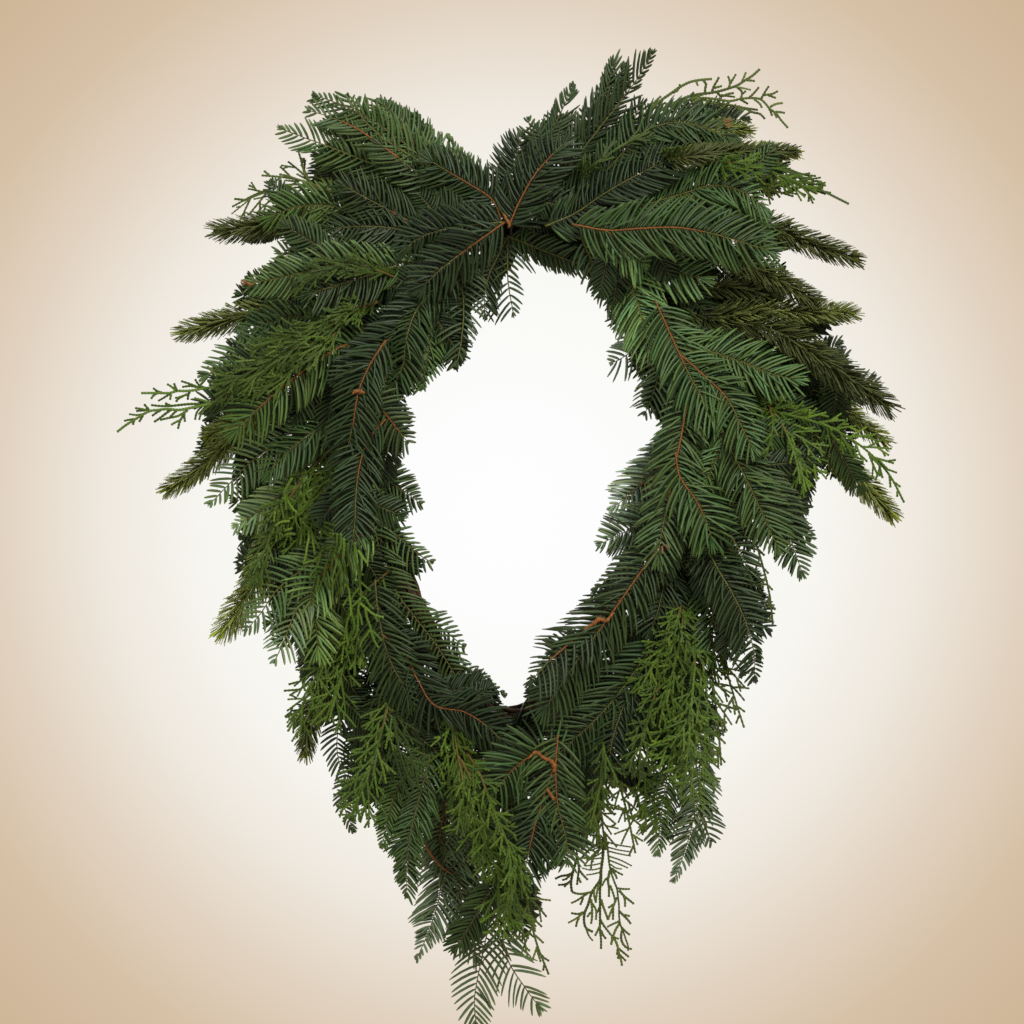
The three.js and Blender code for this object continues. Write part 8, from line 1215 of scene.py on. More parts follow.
def tip_shoot(soup, rng, line, reach, mats, sparse=0.0):
    """A bottle-brush fir tip: short needles all round, swept forward, thick to its rounded end."""
    path, s, length = smooth_line(line, 2.5)
    t, a, n = frames(path, 0.0)
    stem_end = max(length * 0.6, length - 0.55 * reach)
    k = s <= stem_end + 1e-6
    sp = path[k]
    rad = np.interp(np.linspace(0, 1, len(sp)), [0, 0.5, 1], [1.7, 1.4, 1.0])
    tube(soup, sp, rad, rng, mats["stem"], sides=6, lump=0.10)
    q = np.arange(2.0, stem_end, 0.30 * (1.0 + 1.2 * sparse))
    q = np.clip(q + rng.uniform(-0.4, 0.4, len(q)), 0.5, stem_end)
    # two loose ranks dominate, with needles above and below closing them into a brush
    phi = np.arange(len(q)) * math.radians(137.508) + rng.normal(0, 0.2, len(q))
    phi = phi - 0.32 * np.sin(2 * phi)
    T, A, U = unit(at(t, s, q)), unit(at(a, s, q)), unit(at(n, s, q))
    x = q / stem_end
    alp = np.radians(48 * np.interp(x, [0, 0.8, 0.94, 1.0], [1.08, 0.98, 0.85, 0.5]) + rng.normal(0, 3.5, len(q)))
    R = A * np.cos(phi)[:, None] + U * np.sin(phi)[:, None]
    D = unit(T * np.cos(alp)[:, None] + R * np.sin(alp)[:, None])
    C = T * rng.uniform(0.14, 0.30, len(q))[:, None]
    L = reach * 1.10 * np.interp(x, [0, 0.10, 0.55, 0.9, 1.0], [0.75, 1.06, 1.0, 0.88, 0.74]) * rng.uniform(0.90, 1.06, len(q))
    W = 2.2 * rng.uniform(0.88, 1.12, len(q))
    N = unit(T * 0.9 + R * 0.45 + A * rng.normal(0, 0.25, len(q))[:, None])
    # needles on the under side of the brush take the shade rows: painted shade
    up = np.sum(R * U, 1) > -0.25
    young = x > 0.74 + rng.normal(0, 0.09, len(q))
    for sel, rows in ((up, "lit"), (~up, "shade")):
        for part, mat in ((sel & ~young, mats["needle"]), (sel & young, mats["end"])):
            if part.any():
                needles(soup, (at(path, s, q) + D * 0.5)[part], D[part], C[part], N[part], L[part], W[part], rng, mat, thick=0.5, point=0.55, rows=rows)
    i = max(1, np.searchsorted(s, stem_end) - 1)
    m = 9
    ph = np.arange(m) * 2.4
    al = np.radians(rng.uniform(8, 26, m))
    R = a[i][None] * np.cos(ph)[:, None] + n[i][None] * np.sin(ph)[:, None]
    D = unit(t[i][None] * np.cos(al)[:, None] + R * np.sin(al)[:, None])
    needles(soup, path[i][None] + D * 0.3, D, D * 0.0, unit(R + t[i][None] * 0.4), reach * rng.uniform(0.5, 0.66, m), np.full(m, 1.7), rng, mats["end"], thick=0.5, point=0.55, rows="lit")


def scale_strip(soup, rng, path, width, normal, mat, scale=3.1, taper=0.55):
    """A flat cedar branchlet: overlapping scale leaves give it a stepped edge."""
    seg = np.r_[0, np.cumsum(np.linalg.norm(np.diff(path, axis=0), axis=1))]
    L = seg[-1]
    m = max(2, int(round(L / (scale * SCALE_LENGTH))))
    s = []
    w = []
    for k in range(m):
        f = k / m
        g = 1.0 - (1.0 - taper) * f
        s += [(k + 0.02) * L / m, (k + 0.62) * L / m, (k + 0.97) * L / m]
        w += [0.70 * g, 1.0 * g, 0.82 * g]
    s.append(L)
    w.append(0.22)
    s = np.array(s)
    w = np.array(w) * width * 0.5
    p = np.stack([np.interp(s, seg, path[:, k]) for k in range(3)], 1)
    t = unit(np.gradient(p, axis=0))
    nn = np.broadcast_to(normal, t.shape)
    side = unit(np.cross(t, nn))
    up = unit(np.cross(side, t))
    h = 0.36 * w + 0.12
    ring = np.stack([p - side * w[:, None], p - side * (0.5 * w)[:, None] + up * (0.75 * h)[:, None],
                     p + side * (0.5 * w)[:, None] + up * (0.75 * h)[:, None], p + side * w[:, None],
                     p + side * (0.5 * w)[:, None] - up * (0.75 * h)[:, None], p - side * (0.5 * w)[:, None] - up * (0.75 * h)[:, None]], 1)
    row = rng.randint(0, ROWS)
    dv = (TOP_HI - TOP_LO) / ROWS
    dw = (UND_HI - UND_LO) / ROWS
    v0, u0 = TOP_LO + row * dv, UND_LO + row * dw
    cols_a = np.array([v0 + 0.1 * dv, v0 + 0.35 * dv, v0 + 0.65 * dv, u0 + 0.1 * dw, u0 + 0.35 * dw, u0 + 0.65 * dw])
    cols_b = np.array([v0 + 0.35 * dv, v0 + 0.65 * dv, v0 + 0.9 * dv, u0 + 0.35 * dw, u0 + 0.65 * dw, u0 + 0.9 * dw])
    off = rng.uniform(0, 0.4)
    U = np.clip(off + s / (scale * 60.0), 0, 0.999)
    S, R = len(s), 6
    base = soup.n
    k = np.arange(S - 1)[:, None]
    r = np.arange(R)[None]
    r2 = (r + 1) % R
    q = np.stack([base + k * R + r, base + k * R + r2, base + (k + 1) * R + r2, base + (k + 1) * R + r], -1).reshape(-1, 4)
    sh = (S - 1, R)
    ua, ub = U[:-1, None], U[1:, None]
    c0 = np.stack([np.broadcast_to(ua, sh), np.broadcast_to(cols_a[None], sh)], -1)
    c1 = np.stack([np.broadcast_to(ua, sh), np.broadcast_to(cols_b[None], sh)], -1)
    c2 = np.stack([np.broadcast_to(ub, sh), np.broadcast_to(cols_b[None], sh)], -1)
    c3 = np.stack([np.broadcast_to(ub, sh), np.broadcast_to(cols_a[None], sh)], -1)
    soup.f.append(q)
    soup.uv.append(np.stack([c0, c1, c2, c3], -2).reshape(-1, 4, 2))
    soup.m.append(np.full(len(q), mat, np.int32))
    for kk, flip in ((0, True), (S - 1, False)):
        for o in ((0, 1, 4, 5), (1, 2, 3, 4)):
            oo = o[::-1] if flip else o
            qq = base + kk * R + np.array(oo)
            e = U[kk]
            soup.f.append(qq[None])
            soup.uv.append(np.array([[[e, v0 + 0.1 * dv], [e + 0.002, v0 + 0.4 * dv], [e + 0.002, v0 + 0.6 * dv], [e, v0 + 0.8 * dv]]]))
            soup.m.append(np.full(1, mat, np.int32))
    soup.v.append(ring.reshape(-1, 3))
    soup.n += S * R


def curved(start, d, bend, length, step=2.6):
    m = max(3, int(length / step) + 1)
    s = np.linspace(0, 1, m)[:, None]
    return start[None] + length * (s * d[None] + s ** 2 * bend[None])


def cedar_shoot(soup, rng, line, roll, reach, half, mats, sparse=0.0, trim=None, spread=(27, 39)):
    """A flat cedar fan: forks in one plane, each with side branchlets that fork once more near their ends."""
    path, s, length = smooth_line(line, 2.5)
    t, a, n = frames(path, roll)
    fine = 0.87 - 0.04 * sparse
    inner = s <= length * 0.40
    if inner.sum() > 3:
        rad = np.interp(np.linspace(0, 1, inner.sum()), [0, 1], [1.25, 0.8])
        tube(soup, path[inner], rad, rng, mats["stem"], sides=6, lump=0.08)
    keep = s >= length * 0.10
    scale_strip(soup, rng, path[keep], 3.1 * fine, n[len(n) // 2], mats["needle"], taper=0.85)
    pitch = 6.3 * (1.0 + 0.50 * sparse)
    q = np.arange(length * 0.05, length - 5.0, pitch)
    side = 1.0 if rng.rand() < 0.5 else -1.0
    for j, x in enumerate(q):
        side = -side
        if rng.rand() < 0.05:
            continue
        u = x / length
        i = min(int(round(u * (len(path) - 1))), len(path) - 2)
        T, A, N = t[i], a[i], n[i]
        env = half * (0.55 + 0.45 * min(1.0, u / 0.12)) * (1.0 if u < 0.70 else math.sqrt(max(0.03, 1 - ((u - 0.70) / 0.32) ** 2)))
        if trim is not None:
            env = env * float(np.interp(u, PLACES, trim[0 if side < 0 else 1]))
        ang = math.radians(rng.uniform(*spread))
        L = min(env / math.sin(ang), (length - x) * 1.02 + 6) * rng.uniform(0.72, 1.10)
        L = max(L, 6.0)
        lift = rng.uniform(-0.16, 0.16)
        D = unit(T * math.cos(ang) + A * side * math.sin(ang) + N * lift)
        B = T * rng.uniform(0.0, 0.16) - N * (0.10 + 0.6 * lift) + A * rng.uniform(-0.05, 0.05)
        br = curved(path[i], D, B, L)
        nn = unit(N + A * rng.normal(0, 0.15))
        scale_strip(soup, rng, br, rng.uniform(2.7, 3.2) * fine, nn, mats["needle"], taper=0.80)
        if L > 11:
            k = 1 if rng.rand() < 0.5 else -1
            bt = unit(np.gradient(br, axis=0))
            gap = 7.6 * (1.0 + 0.55 * sparse)
            for x2 in np.arange(5.0, L - 2.5, gap):
                k = -k
                x2 = x2 + rng.uniform(-0.8, 0.8)
                ii = min(int(x2 / L * (len(br) - 1)), len(br) - 2)
                l2 = min((L - x2) * 0.95 + 4.0 + 3.0 * sparse, 0.62 * L + 3.0) * rng.uniform(0.75, 1.1)
                l2 = max(4.5, min(l2, 25.0))
                a2 = math.radians(rng.uniform(0.85 * spread[0] + 3, 0.95 * spread[1]))
                acr = unit(np.cross(nn, bt[ii]))
                d2 = unit(bt[ii] * math.cos(a2) + acr * k * math.sin(a2) + nn * rng.uniform(-0.14, 0.14))
                b2 = bt[ii] * rng.uniform(0.02, 0.12)
                c2 = curved(br[ii], d2, b2, l2)
                scale_strip(soup, rng, c2, rng.uniform(2.4, 3.0) * fine, nn, mats["needle"], taper=0.85)
                if l2 > 9.5 and rng.rand() > 0.6 * sparse:
                    kk = k if rng.rand() < 0.5 else -k
                    jj = int(len(c2) * rng.uniform(0.35, 0.55))
                    tt = unit(c2[min(jj + 1, len(c2) - 1)] - c2[jj])
                    a3 = math.radians(rng.uniform(30, 42))
                    acr = unit(np.cross(nn, tt))
                    d3 = unit(tt * math.cos(a3) + acr * kk * math.sin(a3))
                    scale_strip(soup, rng, curved(c2[jj], d3, tt * 0.05, rng.uniform(4.2, 6.8)), rng.uniform(2.1, 2.6), nn, mats["needle"], taper=0.9)


def knot(soup, rng, pts, mat):
    """A swollen, lumpy piece of bare stem, with closed round ends."""
    line, s, length = smooth_line([p[:3] for p in pts], 1.1)
    given = np.linspace(0, 1, len(pts))
    rad = np.interp(s / length, given, [p[3] for p in pts])
    rad = rad * (1 + 0.22 * np.sin(s * 1.35 + rng.rand() * 6)) * np.sqrt(np.clip(np.minimum(s, length - s) / 1.6, 0.10, 1.0))
    tube(soup, line, rad, rng, mat, sides=8, lump=0.16)


def dead_needles(soup, rng, centre, heading, spread, count, length, mat):
    """A few dry needles that have turned tan."""
    h = unit(np.array(heading, float))
    a = unit(np.cross(h, np.array([0.0, -1.0, 0.0])))
    k = rng.uniform(-1, 1, count)
    D = unit(h[None] + a[None] * (0.42 * k)[:, None] + rng.normal(0, 0.10, (count, 3)))
    P = np.array(centre, float)[None] + a[None] * (k * spread)[:, None] + np.stack([0 * k, rng.uniform(-1.2, 0.4, count), 0 * k], 1)
    needles(soup, P, D, D * 0.0 + np.array([0, -0.05, -0.06]), np.tile([0.0, -1.0, 0.0], (count, 1)) + rng.normal(0, 0.2, (count, 3)),
            length * rng.uniform(0.7, 1.1, count), np.full(count, 1.6), rng, mat)


# ------------------------------------------------------------------ materials
def nodes_of(mat):
    mat.use_nodes = True
    nt = mat.node_tree
    nt.nodes.clear()
    out = nt.nodes.new("ShaderNodeOutputMaterial")
    b = nt.nodes.new("ShaderNodeBsdfPrincipled")
    nt.links.new(b.outputs[0], out.inputs[0])
    return nt, b


def math_node(nt, op, a, b=None, c=None, clamp=False):
    n = nt.nodes.new("ShaderNodeMath")
    n.operation = op
    n.use_clamp = clamp
    for k, v in enumerate((a, b, c)):
        if v is None:
            continue
        if isinstance(v, (int, float)):
            n.inputs[k].default_value = v
        else:
            nt.links.new(v, n.inputs[k])
    return n.outputs[0]


def mix_color(nt, fac, a, b, blend="MIX"):
    n = nt.nodes.new("ShaderNodeMix")
    n.data_type = "RGBA"
    n.blend_type = blend
    n.clamp_factor = True
    for sock, v in ((n.inputs[0], fac), (n.inputs[6], a), (n.inputs[7], b)):
        if isinstance(v, (int, float)):
            sock.default_value = v
        elif isinstance(v, tuple):
            sock.default_value = v
        else:
            nt.links.new(v, sock)
    return n.outputs[2]


def uv_parts(nt):
    n = nt.nodes.new("ShaderNodeUVMap")
    n.uv_map = "OFBake"
    sep = nt.nodes.new("ShaderNodeSeparateXYZ")
    nt.links.new(n.outputs[0], sep.inputs[0])
    return n.outputs[0], sep.outputs[0], sep.outputs[1]


def white(nt, value, seed):
    n = nt.nodes.new("ShaderNodeTexWhiteNoise")
    n.noise_dimensions = "1D"
    nt.links.new(math_node(nt, "ADD", value, seed), n.inputs["W"])
    return n.outputs["Value"]


def row_parts(nt, v):
    """row number, place across the row, and whether this is an under face"""
    under = math_node(nt, "GREATER_THAN", v, 0.455)
    lo = math_node(nt, "MULTIPLY_ADD", under, UND_LO - TOP_LO, TOP_LO)
    span = math_node(nt, "MULTIPLY_ADD", under, (UND_HI - UND_LO) - (TOP_HI - TOP_LO), TOP_HI - TOP_LO)
    g = math_node(nt, "MULTIPLY", math_node(nt, "DIVIDE", math_node(nt, "SUBTRACT", v, lo), span), float(ROWS))
    row = math_node(nt, "FLOOR", g)
    return row, math_node(nt, "SUBTRACT", g, row), under


def ramp(nt, fac, stops):
    n = nt.nodes.new("ShaderNodeValToRGB")
    nt.links.new(fac, n.inputs[0])
    e = n.color_ramp.elements
    while len(e) > 1:
        e.remove(e[-1])
    e[0].position, e[0].color = stops[0][0], stops[0][1]
    for pos, col in stops[1:]:
        x = e.new(pos)
        x.color = col
    return n.outputs[0]


def scaled(c, k):
    return (min(1.0, c[0] * k), min(1.0, c[1] * k), min(1.0, c[2] * k), 1.0)


def needle_material(name, base, tip, foot, under, rough=0.44, coat=0.03, vary=0.24):
    mat = bpy.data.materials.new(name)
    nt, b = nodes_of(mat)
    _, u, v = uv_parts(nt)
    row, across, und = row_parts(nt, v)
    col = ramp(nt, u, [(0.0, lin(foot)), (0.12, scaled(lin(base), 0.85)), (0.45, lin(base)), (0.86, scaled(lin(base), 1.08)), (0.97, lin(tip))])
    r1 = white(nt, row, 3.17)
    r2 = white(nt, row, 11.9)
    r3 = white(nt, row, 27.3)
    # lighter or darker, yellower or bluer from needle to needle
    lum = math_node(nt, "MULTIPLY_ADD", r1, 2 * vary, 1.0 - vary)
    # painted shade: the rows for the needles under a shoot are darkened, as if shaded by the needles above
    lum = math_node(nt, "MULTIPLY", lum, math_node(nt, "MULTIPLY_ADD", math_node(nt, "GREATER_THAN", row, LIT_ROWS - 0.5), -0.66, 1.0))
    col = mix_color(nt, 1.0, col, lum_color(nt, lum), "MULTIPLY")
    col = mix_color(nt, math_node(nt, "MULTIPLY", r2, 0.22), col, lin((base[1] * 1.02, base[1] * 1.04, base[2] * 0.62)))
    blue = math_node(nt, "MULTIPLY", math_node(nt, "GREATER_THAN", r3, 0.74), 0.20)
    col = mix_color(nt, blue, col, lin((base[0] * 0.86, base[1] * 1.02, base[2] * 1.30)))
    # painted shade as a darker line in the groove, faint mottling along the needle
    d = math_node(nt, "ABSOLUTE", math_node(nt, "SUBTRACT", across, 0.5))
    groove = math_node(nt, "SUBTRACT", 1.0, math_node(nt, "MULTIPLY", d, 7.0), clamp=True)
    col = mix_color(nt, math_node(nt, "MULTIPLY", groove, 0.35), col, scaled(lin(base), 0.55))
    noise = nt.nodes.new("ShaderNodeTexNoise")
    noise.noise_dimensions = "2D"
    noise.inputs["Scale"].default_value = 1.0
    noise.inputs["Detail"].default_value = 2.0
    comb = nt.nodes.new("ShaderNodeCombineXYZ")
    nt.links.new(math_node(nt, "MULTIPLY", u, 9.0), comb.inputs[0])
    nt.links.new(math_node(nt, "MULTIPLY", v, 160.0), comb.inputs[1])
    nt.links.new(comb.outputs[0], noise.inputs["Vector"])
    mott = math_node(nt, "MULTIPLY_ADD", noise.outputs[0], 0.5, 0.75)
    col = mix_color(nt, 1.0, col, lum_color(nt, mott), "MULTIPLY")
    # two pale bands under the needle, beside the keel
    band = math_node(nt, "SUBTRACT", 1.0, math_node(nt, "ABSOLUTE", math_node(nt, "MULTIPLY", math_node(nt, "SUBTRACT", d, 0.24), 9.0)), clamp=True)
    ucol = mix_color(nt, math_node(nt, "MULTIPLY", band, 0.75), scaled(lin(under), 0.75), lin(under))
    col = mix_color(nt, und, col, ucol)
    nt.links.new(col, b.inputs["Base Color"])
    rgh = math_node(nt, "MULTIPLY_ADD", noise.outputs[0], 0.22, rough - 0.10)
    nt.links.new(rgh, b.inputs["Roughness"])
    b.inputs["Specular IOR Level"].default_value = 0.17
    b.inputs["Coat Weight"].default_value = coat
    b.inputs["Coat Roughness"].default_value = 0.28
    bump = nt.nodes.new("ShaderNodeBump")
    bump.inputs["Strength"].default_value = 0.35
    bump.inputs["Distance"].default_value = 0.0003
    h = math_node(nt, "MULTIPLY_ADD", groove, -1.0, math_node(nt, "MULTIPLY", noise.outputs[0], 0.5))
    nt.links.new(h, bump.inputs["Height"])
    nt.links.new(bump.outputs[0], b.inputs["Normal"])
    return mat


def lum_color(nt, value):
    n = nt.nodes.new("ShaderNodeCombineColor")
    for k in range(3):
        nt.links.new(value, n.inputs[k])
    return n.outputs[0]


def cedar_material(name, base, tip, under, rough=0.55):
    mat = bpy.data.materials.new(name)
    nt, b = nodes_of(mat)
    _, u, v = uv_parts(nt)
    row, across, und = row_parts(nt, v)
    r1 = white(nt, row, 5.7)
    r2 = white(nt, row, 15.1)
    col = mix_color(nt, r1, lin(base), lin(tip))
    lum = math_node(nt, "MULTIPLY_ADD", r2, 0.5, 0.75)
    col = mix_color(nt, 1.0, col, lum_color(nt, lum), "MULTIPLY")
    # scale leaves: a chevron joint every scale, paler towards each scale's end
    d = math_node(nt, "ABSOLUTE", math_node(nt, "SUBTRACT", across, 0.5))
    ph = math_node(nt, "FRACT", math_node(nt, "MULTIPLY_ADD", u, 60.0, math_node(nt, "MULTIPLY", d, 1.1)))
    joint = math_node(nt, "SUBTRACT", 1.0, math_node(nt, "MULTIPLY", ph, 5.0), clamp=True)
    col = mix_color(nt, math_node(nt, "MULTIPLY", joint, 0.55), col, scaled(lin(base), 0.38))
    end = math_node(nt, "MULTIPLY", math_node(nt, "SUBTRACT", ph, 0.55), 1.2, clamp=True)
    col = mix_color(nt, math_node(nt, "MULTIPLY", end, 0.45), col, scaled(lin(tip), 1.15))
    mid = math_node(nt, "SUBTRACT", 1.0, math_node(nt, "MULTIPLY", d, 6.0), clamp=True)
    col = mix_color(nt, math_node(nt, "MULTIPLY", mid, 0.20), col, scaled(lin(base), 0.6))
    col = mix_color(nt, math_node(nt, "MULTIPLY", und, 0.6), col, lin(under))
    nt.links.new(col, b.inputs["Base Color"])
    nt.links.new(math_node(nt, "MULTIPLY_ADD", ph, -0.12, rough + 0.06), b.inputs["Roughness"])
    b.inputs["Specular IOR Level"].default_value = 0.14
    bump = nt.nodes.new("ShaderNodeBump")
    bump.inputs["Strength"].default_value = 0.6
    bump.inputs["Distance"].default_value = 0.0004
    nt.links.new(math_node(nt, "SUBTRACT", math_node(nt, "MULTIPLY", ph, 0.8), math_node(nt, "MULTIPLY", mid, 0.3)), bump.inputs["Height"])
    nt.links.new(bump.outputs[0], b.inputs["Normal"])
    return mat


def bark_material(name, light, dark, rough=0.6, scale=(130.0, 60.0)):
    mat = bpy.data.materials.new(name)
    nt, b = nodes_of(mat)
    _, u, v = uv_parts(nt)
    comb = nt.nodes.new("ShaderNodeCombineXYZ")
    nt.links.new(math_node(nt, "MULTIPLY", u, scale[0]), comb.inputs[0])
    nt.links.new(math_node(nt, "MULTIPLY", v, scale[1]), comb.inputs[1])
    noise = nt.nodes.new("ShaderNodeTexNoise")
    noise.noise_dimensions = "2D"
    noise.inputs["Scale"].default_value = 1.0
    noise.inputs["Detail"].default_value = 4.0
    nt.links.new(comb.outputs[0], noise.inputs["Vector"])
    vor = nt.nodes.new("ShaderNodeTexVoronoi")
    vor.voronoi_dimensions = "2D"
    vor.inputs["Scale"].default_value = 1.0
    nt.links.new(comb.outputs[0], vor.inputs["Vector"])
    scar = math_node(nt, "SUBTRACT", 1.0, math_node(nt, "MULTIPLY", vor.outputs["Distance"], 3.2), clamp=True)
    f = math_node(nt, "MULTIPLY_ADD", noise.outputs[0], 2.2, -0.6, clamp=True)
    col = mix_color(nt, f, lin(dark), lin(light))
    col = mix_color(nt, math_node(nt, "MULTIPLY", scar, 0.5), col, scaled(lin(dark), 0.5))
    nt.links.new(col, b.inputs["Base Color"])
    nt.links.new(math_node(nt, "MULTIPLY_ADD", noise.outputs[0], 0.25, rough - 0.12), b.inputs["Roughness"])
    b.inputs["Specular IOR Level"].default_value = 0.15
    bump = nt.nodes.new("ShaderNodeBump")
    bump.inputs["Strength"].default_value = 0.7
    bump.inputs["Distance"].default_value = 0.0004
    nt.links.new(math_node(nt, "SUBTRACT", noise.outputs[0], scar), bump.inputs["Height"])
    nt.links.new(bump.outputs[0], b.inputs["Normal"])
    return mat


# Foliage tones: a level from deepest to palest, and a hue from grey-green over blue-green to warm green.
LEVEL = {str(k): 44.0 * 1.145 ** (k - 1) for k in range(1, 10)}
HUE = {"a": (0.785, 0.61), "b": (0.76, 0.53), "c": (0.725, 0.465), "n": (0.665, 0.43), "w": (0.69, 0.345)}
BARK = bark_material("fir_bark", (130, 80, 36), (82, 50, 24))
BARK_G = bark_material("fir_green_stem", (98, 98, 46), (62, 66, 30))
BARK_C = bark_material("cedar_bark", (104, 82, 42), (66, 56, 26))
BUD = bark_material("bud_resin", (150, 88, 46), (104, 56, 28), rough=0.45)
DRY = needle_material("needle_dry", (104, 70, 42), (138, 104, 66), (84, 54, 32), (92, 66, 42), rough=0.6, coat=0.0)
_cache = {}


def fir_mat(tone):
    if ("F", tone) not in _cache:
        g = LEVEL[tone[1]]
        pale = max(0, int(tone[1]) - 4)
        r, bl = HUE[tone[0]]
        r, bl = r + 0.018 * pale, bl + 0.034 * pale
        base = (g * r, g, g * bl)
        tip = (g * (r + 0.09) * 1.14, g * 1.14, g * bl * 1.10)
        foot = (g * 0.86, g * 0.88, g * (bl - 0.06) * 0.9)
        under = (g * 0.88, g * 1.02, g * 0.74)
        _cache[("F", tone)] = needle_material("fir_%s%s" % ({"a": "grey", "b": "sage", "c": "dull", "n": "blue", "w": "warm"}[tone[0]], tone[1]), base, tip, foot, under)
    return _cache[("F", tone)]


def tip_mat(tone, young=False):
    if ("T", tone, young) not in _cache:
        g = LEVEL[tone[1]] * (1.20 if young else 1.28)
        r, bl = {"a": (0.92, 0.30), "w": (0.88, 0.22)}[tone[0]] if young else {"a": (0.78, 0.30), "w": (0.75, 0.23)}[tone[0]]
        _cache[("T", tone, young)] = needle_material("fir_tip_%s%s%s" % ({"a": "olive", "w": "leaf"}[tone[0]], tone[1], "_young" if young else ""), (g * r, g, g * bl), (g * (r * 1.24), g * 1.22, g * bl * 1.5), (g * 0.90, g * 0.86, g * 0.36), (g * 0.95, g * 1.02, g * 0.50), rough=0.5, coat=0.0)
    return _cache[("T", tone, young)]


def cedar_mat(tone):
    if ("C", tone) not in _cache:
        g = LEVEL[tone[1]]
        y = {"g": (0.72, 0.235), "y": (0.82, 0.34)}[tone[0]]
        _cache[("C", tone)] = cedar_material("cedar_%s%s" % ({"g": "green", "y": "yellow"}[tone[0]], tone[1]), (g * y[0], g, g * y[1]), (g * (y[0] + 0.06) * 1.28, g * 1.28, g * (y[1] + 0.05) * 1.28), (g * 0.82, g * 0.92, g * 0.40))
    return _cache[("C", tone)]


# ------------------------------------------------------------------ sprays
for index, (name, kind, shoots) in enumerate(SPRAYS):
    SCALE_LENGTH = 1.42 if name == "cedar_spray_08" else 1.0
    soup = Soup()
    mats = []

    def slot_of(m):
        if m not in mats:
            mats.append(m)
        return mats.index(m)

    for j, (tone, reach, half, roll, sparse, bare, line, *trims) in enumerate(shoots):
        rng = np.random.RandomState(1000 + 37 * index + j)
        trim = trims[0] if trims else None
        if kind == "F":
            m = {"needle": slot_of(fir_mat(tone)), "stem": slot_of(BARK_G)}
            if bare:
                m["bark"] = slot_of(BARK)
            fir_shoot(soup, rng, line, roll, reach, m, sparse=sparse, trim=trim, angle=POINTED.get((name, j), 64.0))
        elif kind == "B":
            m = {"needle": slot_of(tip_mat(tone)), "end": slot_of(tip_mat(tone, True)), "stem": slot_of(BARK_G)}
            tip_shoot(soup, rng, line, reach, m, sparse=sparse)
        else:
            m = {"needle": slot_of(cedar_mat(tone)), "stem": slot_of(BARK_C)}
            cedar_shoot(soup, rng, line, roll, reach, half, m, sparse=sparse, trim=trim, spread=(27, 39) if sparse < 0.7 else (34, 46))
    # smaller side shoots behind the main ones, each growing from one of their stems
    for j, (tone, reach, line) in enumerate(UNDERGROWTH.get(name, ())):
        rng = np.random.RandomState(9000 + 61 * index + j)
        m = {"needle": slot_of(fir_mat(tone)), "stem": slot_of(BARK_G)}
        fir_shoot(soup, rng, line, 0.0, reach, m, under=True, angle=58.0)
    for j, (form, tone, half, sparse, line) in enumerate(OVERGROWTH.get(name, ())):
        rng = np.random.RandomState(7000 + 43 * index + j)
        if form == "brush":
            tip_shoot(soup, rng, line, half, {"needle": slot_of(tip_mat(tone)), "end": slot_of(tip_mat(tone, True)), "stem": slot_of(BARK_G)})
        else:
            m = {"needle": slot_of(cedar_mat(tone)), "stem": slot_of(BARK_C)}
            cedar_shoot(soup, rng, line, 0.0, 0.0, half, m, sparse=sparse, spread=(14, 24) if form == "stream" else (27, 39))
    for tone, twigs in TWIGS.get(name, ()):
        m = slot_of(cedar_mat(tone))
        for j, (width, line) in enumerate(twigs):
            rng = np.random.RandomState(3000 + 71 * index + j)
            path = smooth_line(line, 1.6)[0]
            nn = unit(np.array([rng.normal(0, 0.25), -1.0, rng.normal(0, 0.25)]))
            scale_strip(soup, rng, path, width, nn, m, scale=2.8, taper=0.80)
    for j, item in enumerate(DETAILS.get(name, ())):
        rng = np.random.RandomState(5000 + 17 * index + j)
        if item[0] == "knot":
            knot(soup, rng, item[1], slot_of(BARK))
        else:
            dead_needles(soup, rng, *item[1:], slot_of(DRY))
    ob = soup.build("foliage_" + name, mats)
    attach(ob, "root")
    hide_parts(name)

# ------------------------------------------------------------------ twig base, wire, hanger
ring_path, ring_s, ring_len = smooth_line([[x, RING_DEPTH_Y, z] for x, z in RING_LINE], 3.0, closed=True)
rt = unit(np.roll(ring_path, -1, 0) - np.roll(ring_path, 1, 0))
r_front = np.array([0.0, -1.0, 0.0])
r_side = unit(np.cross(rt, np.broadcast_to(r_front, rt.shape)))


def closed_tube(soup, path, radius, sides, mat, rng, lump=0.0, uscale=420.0, hint=None):
    t = unit(np.roll(path, -1, 0) - np.roll(path, 1, 0))
    hint = np.broadcast_to(np.array([0.0, -1.0, 0.0]), t.shape) if hint is None else hint
    a = unit(np.cross(t, hint))
    b = unit(np.cross(a, t))
    ang = np.arange(sides) * 2 * math.pi / sides
    M = len(path)
    rad = np.broadcast_to(np.asarray(radius, float), (M,))
    rr = rad[:, None] * (1 + lump * rng.uniform(-1, 1, (M, sides)))
    ring = path[:, None] + a[:, None] * (np.cos(ang)[None, :, None] * rr[..., None]) + b[:, None] * (np.sin(ang)[None, :, None] * rr[..., None])
    base = soup.n
    k = np.arange(M)[:, None]
    k2 = (k + 1) % M
    r = np.arange(sides)[None]
    r2 = (r + 1) % sides
    q = np.stack([base + k * sides + r, base + k * sides + r2, base + k2 * sides + r2, base + k2 * sides + r], -1).reshape(-1, 4)
    s = np.linspace(0, 1, M + 1)
    sh = (M, sides)
    v = np.arange(sides + 1) / sides
    ua, ub = s[:-1, None], s[1:, None]
    va, vb = v[None, :-1], v[None, 1:]
    c = [np.stack([np.broadcast_to(x, sh), np.broadcast_to(y, sh)], -1) for x, y in ((ua, va), (ua, vb), (ub, vb), (ub, va))]
    soup.f.append(q)
    soup.uv.append(np.stack(c, -2).reshape(-1, 4, 2))
    soup.m.append(np.full(len(q), mat, np.int32))
    soup.v.append(ring.reshape(-1, 3))
    soup.n += M * sides


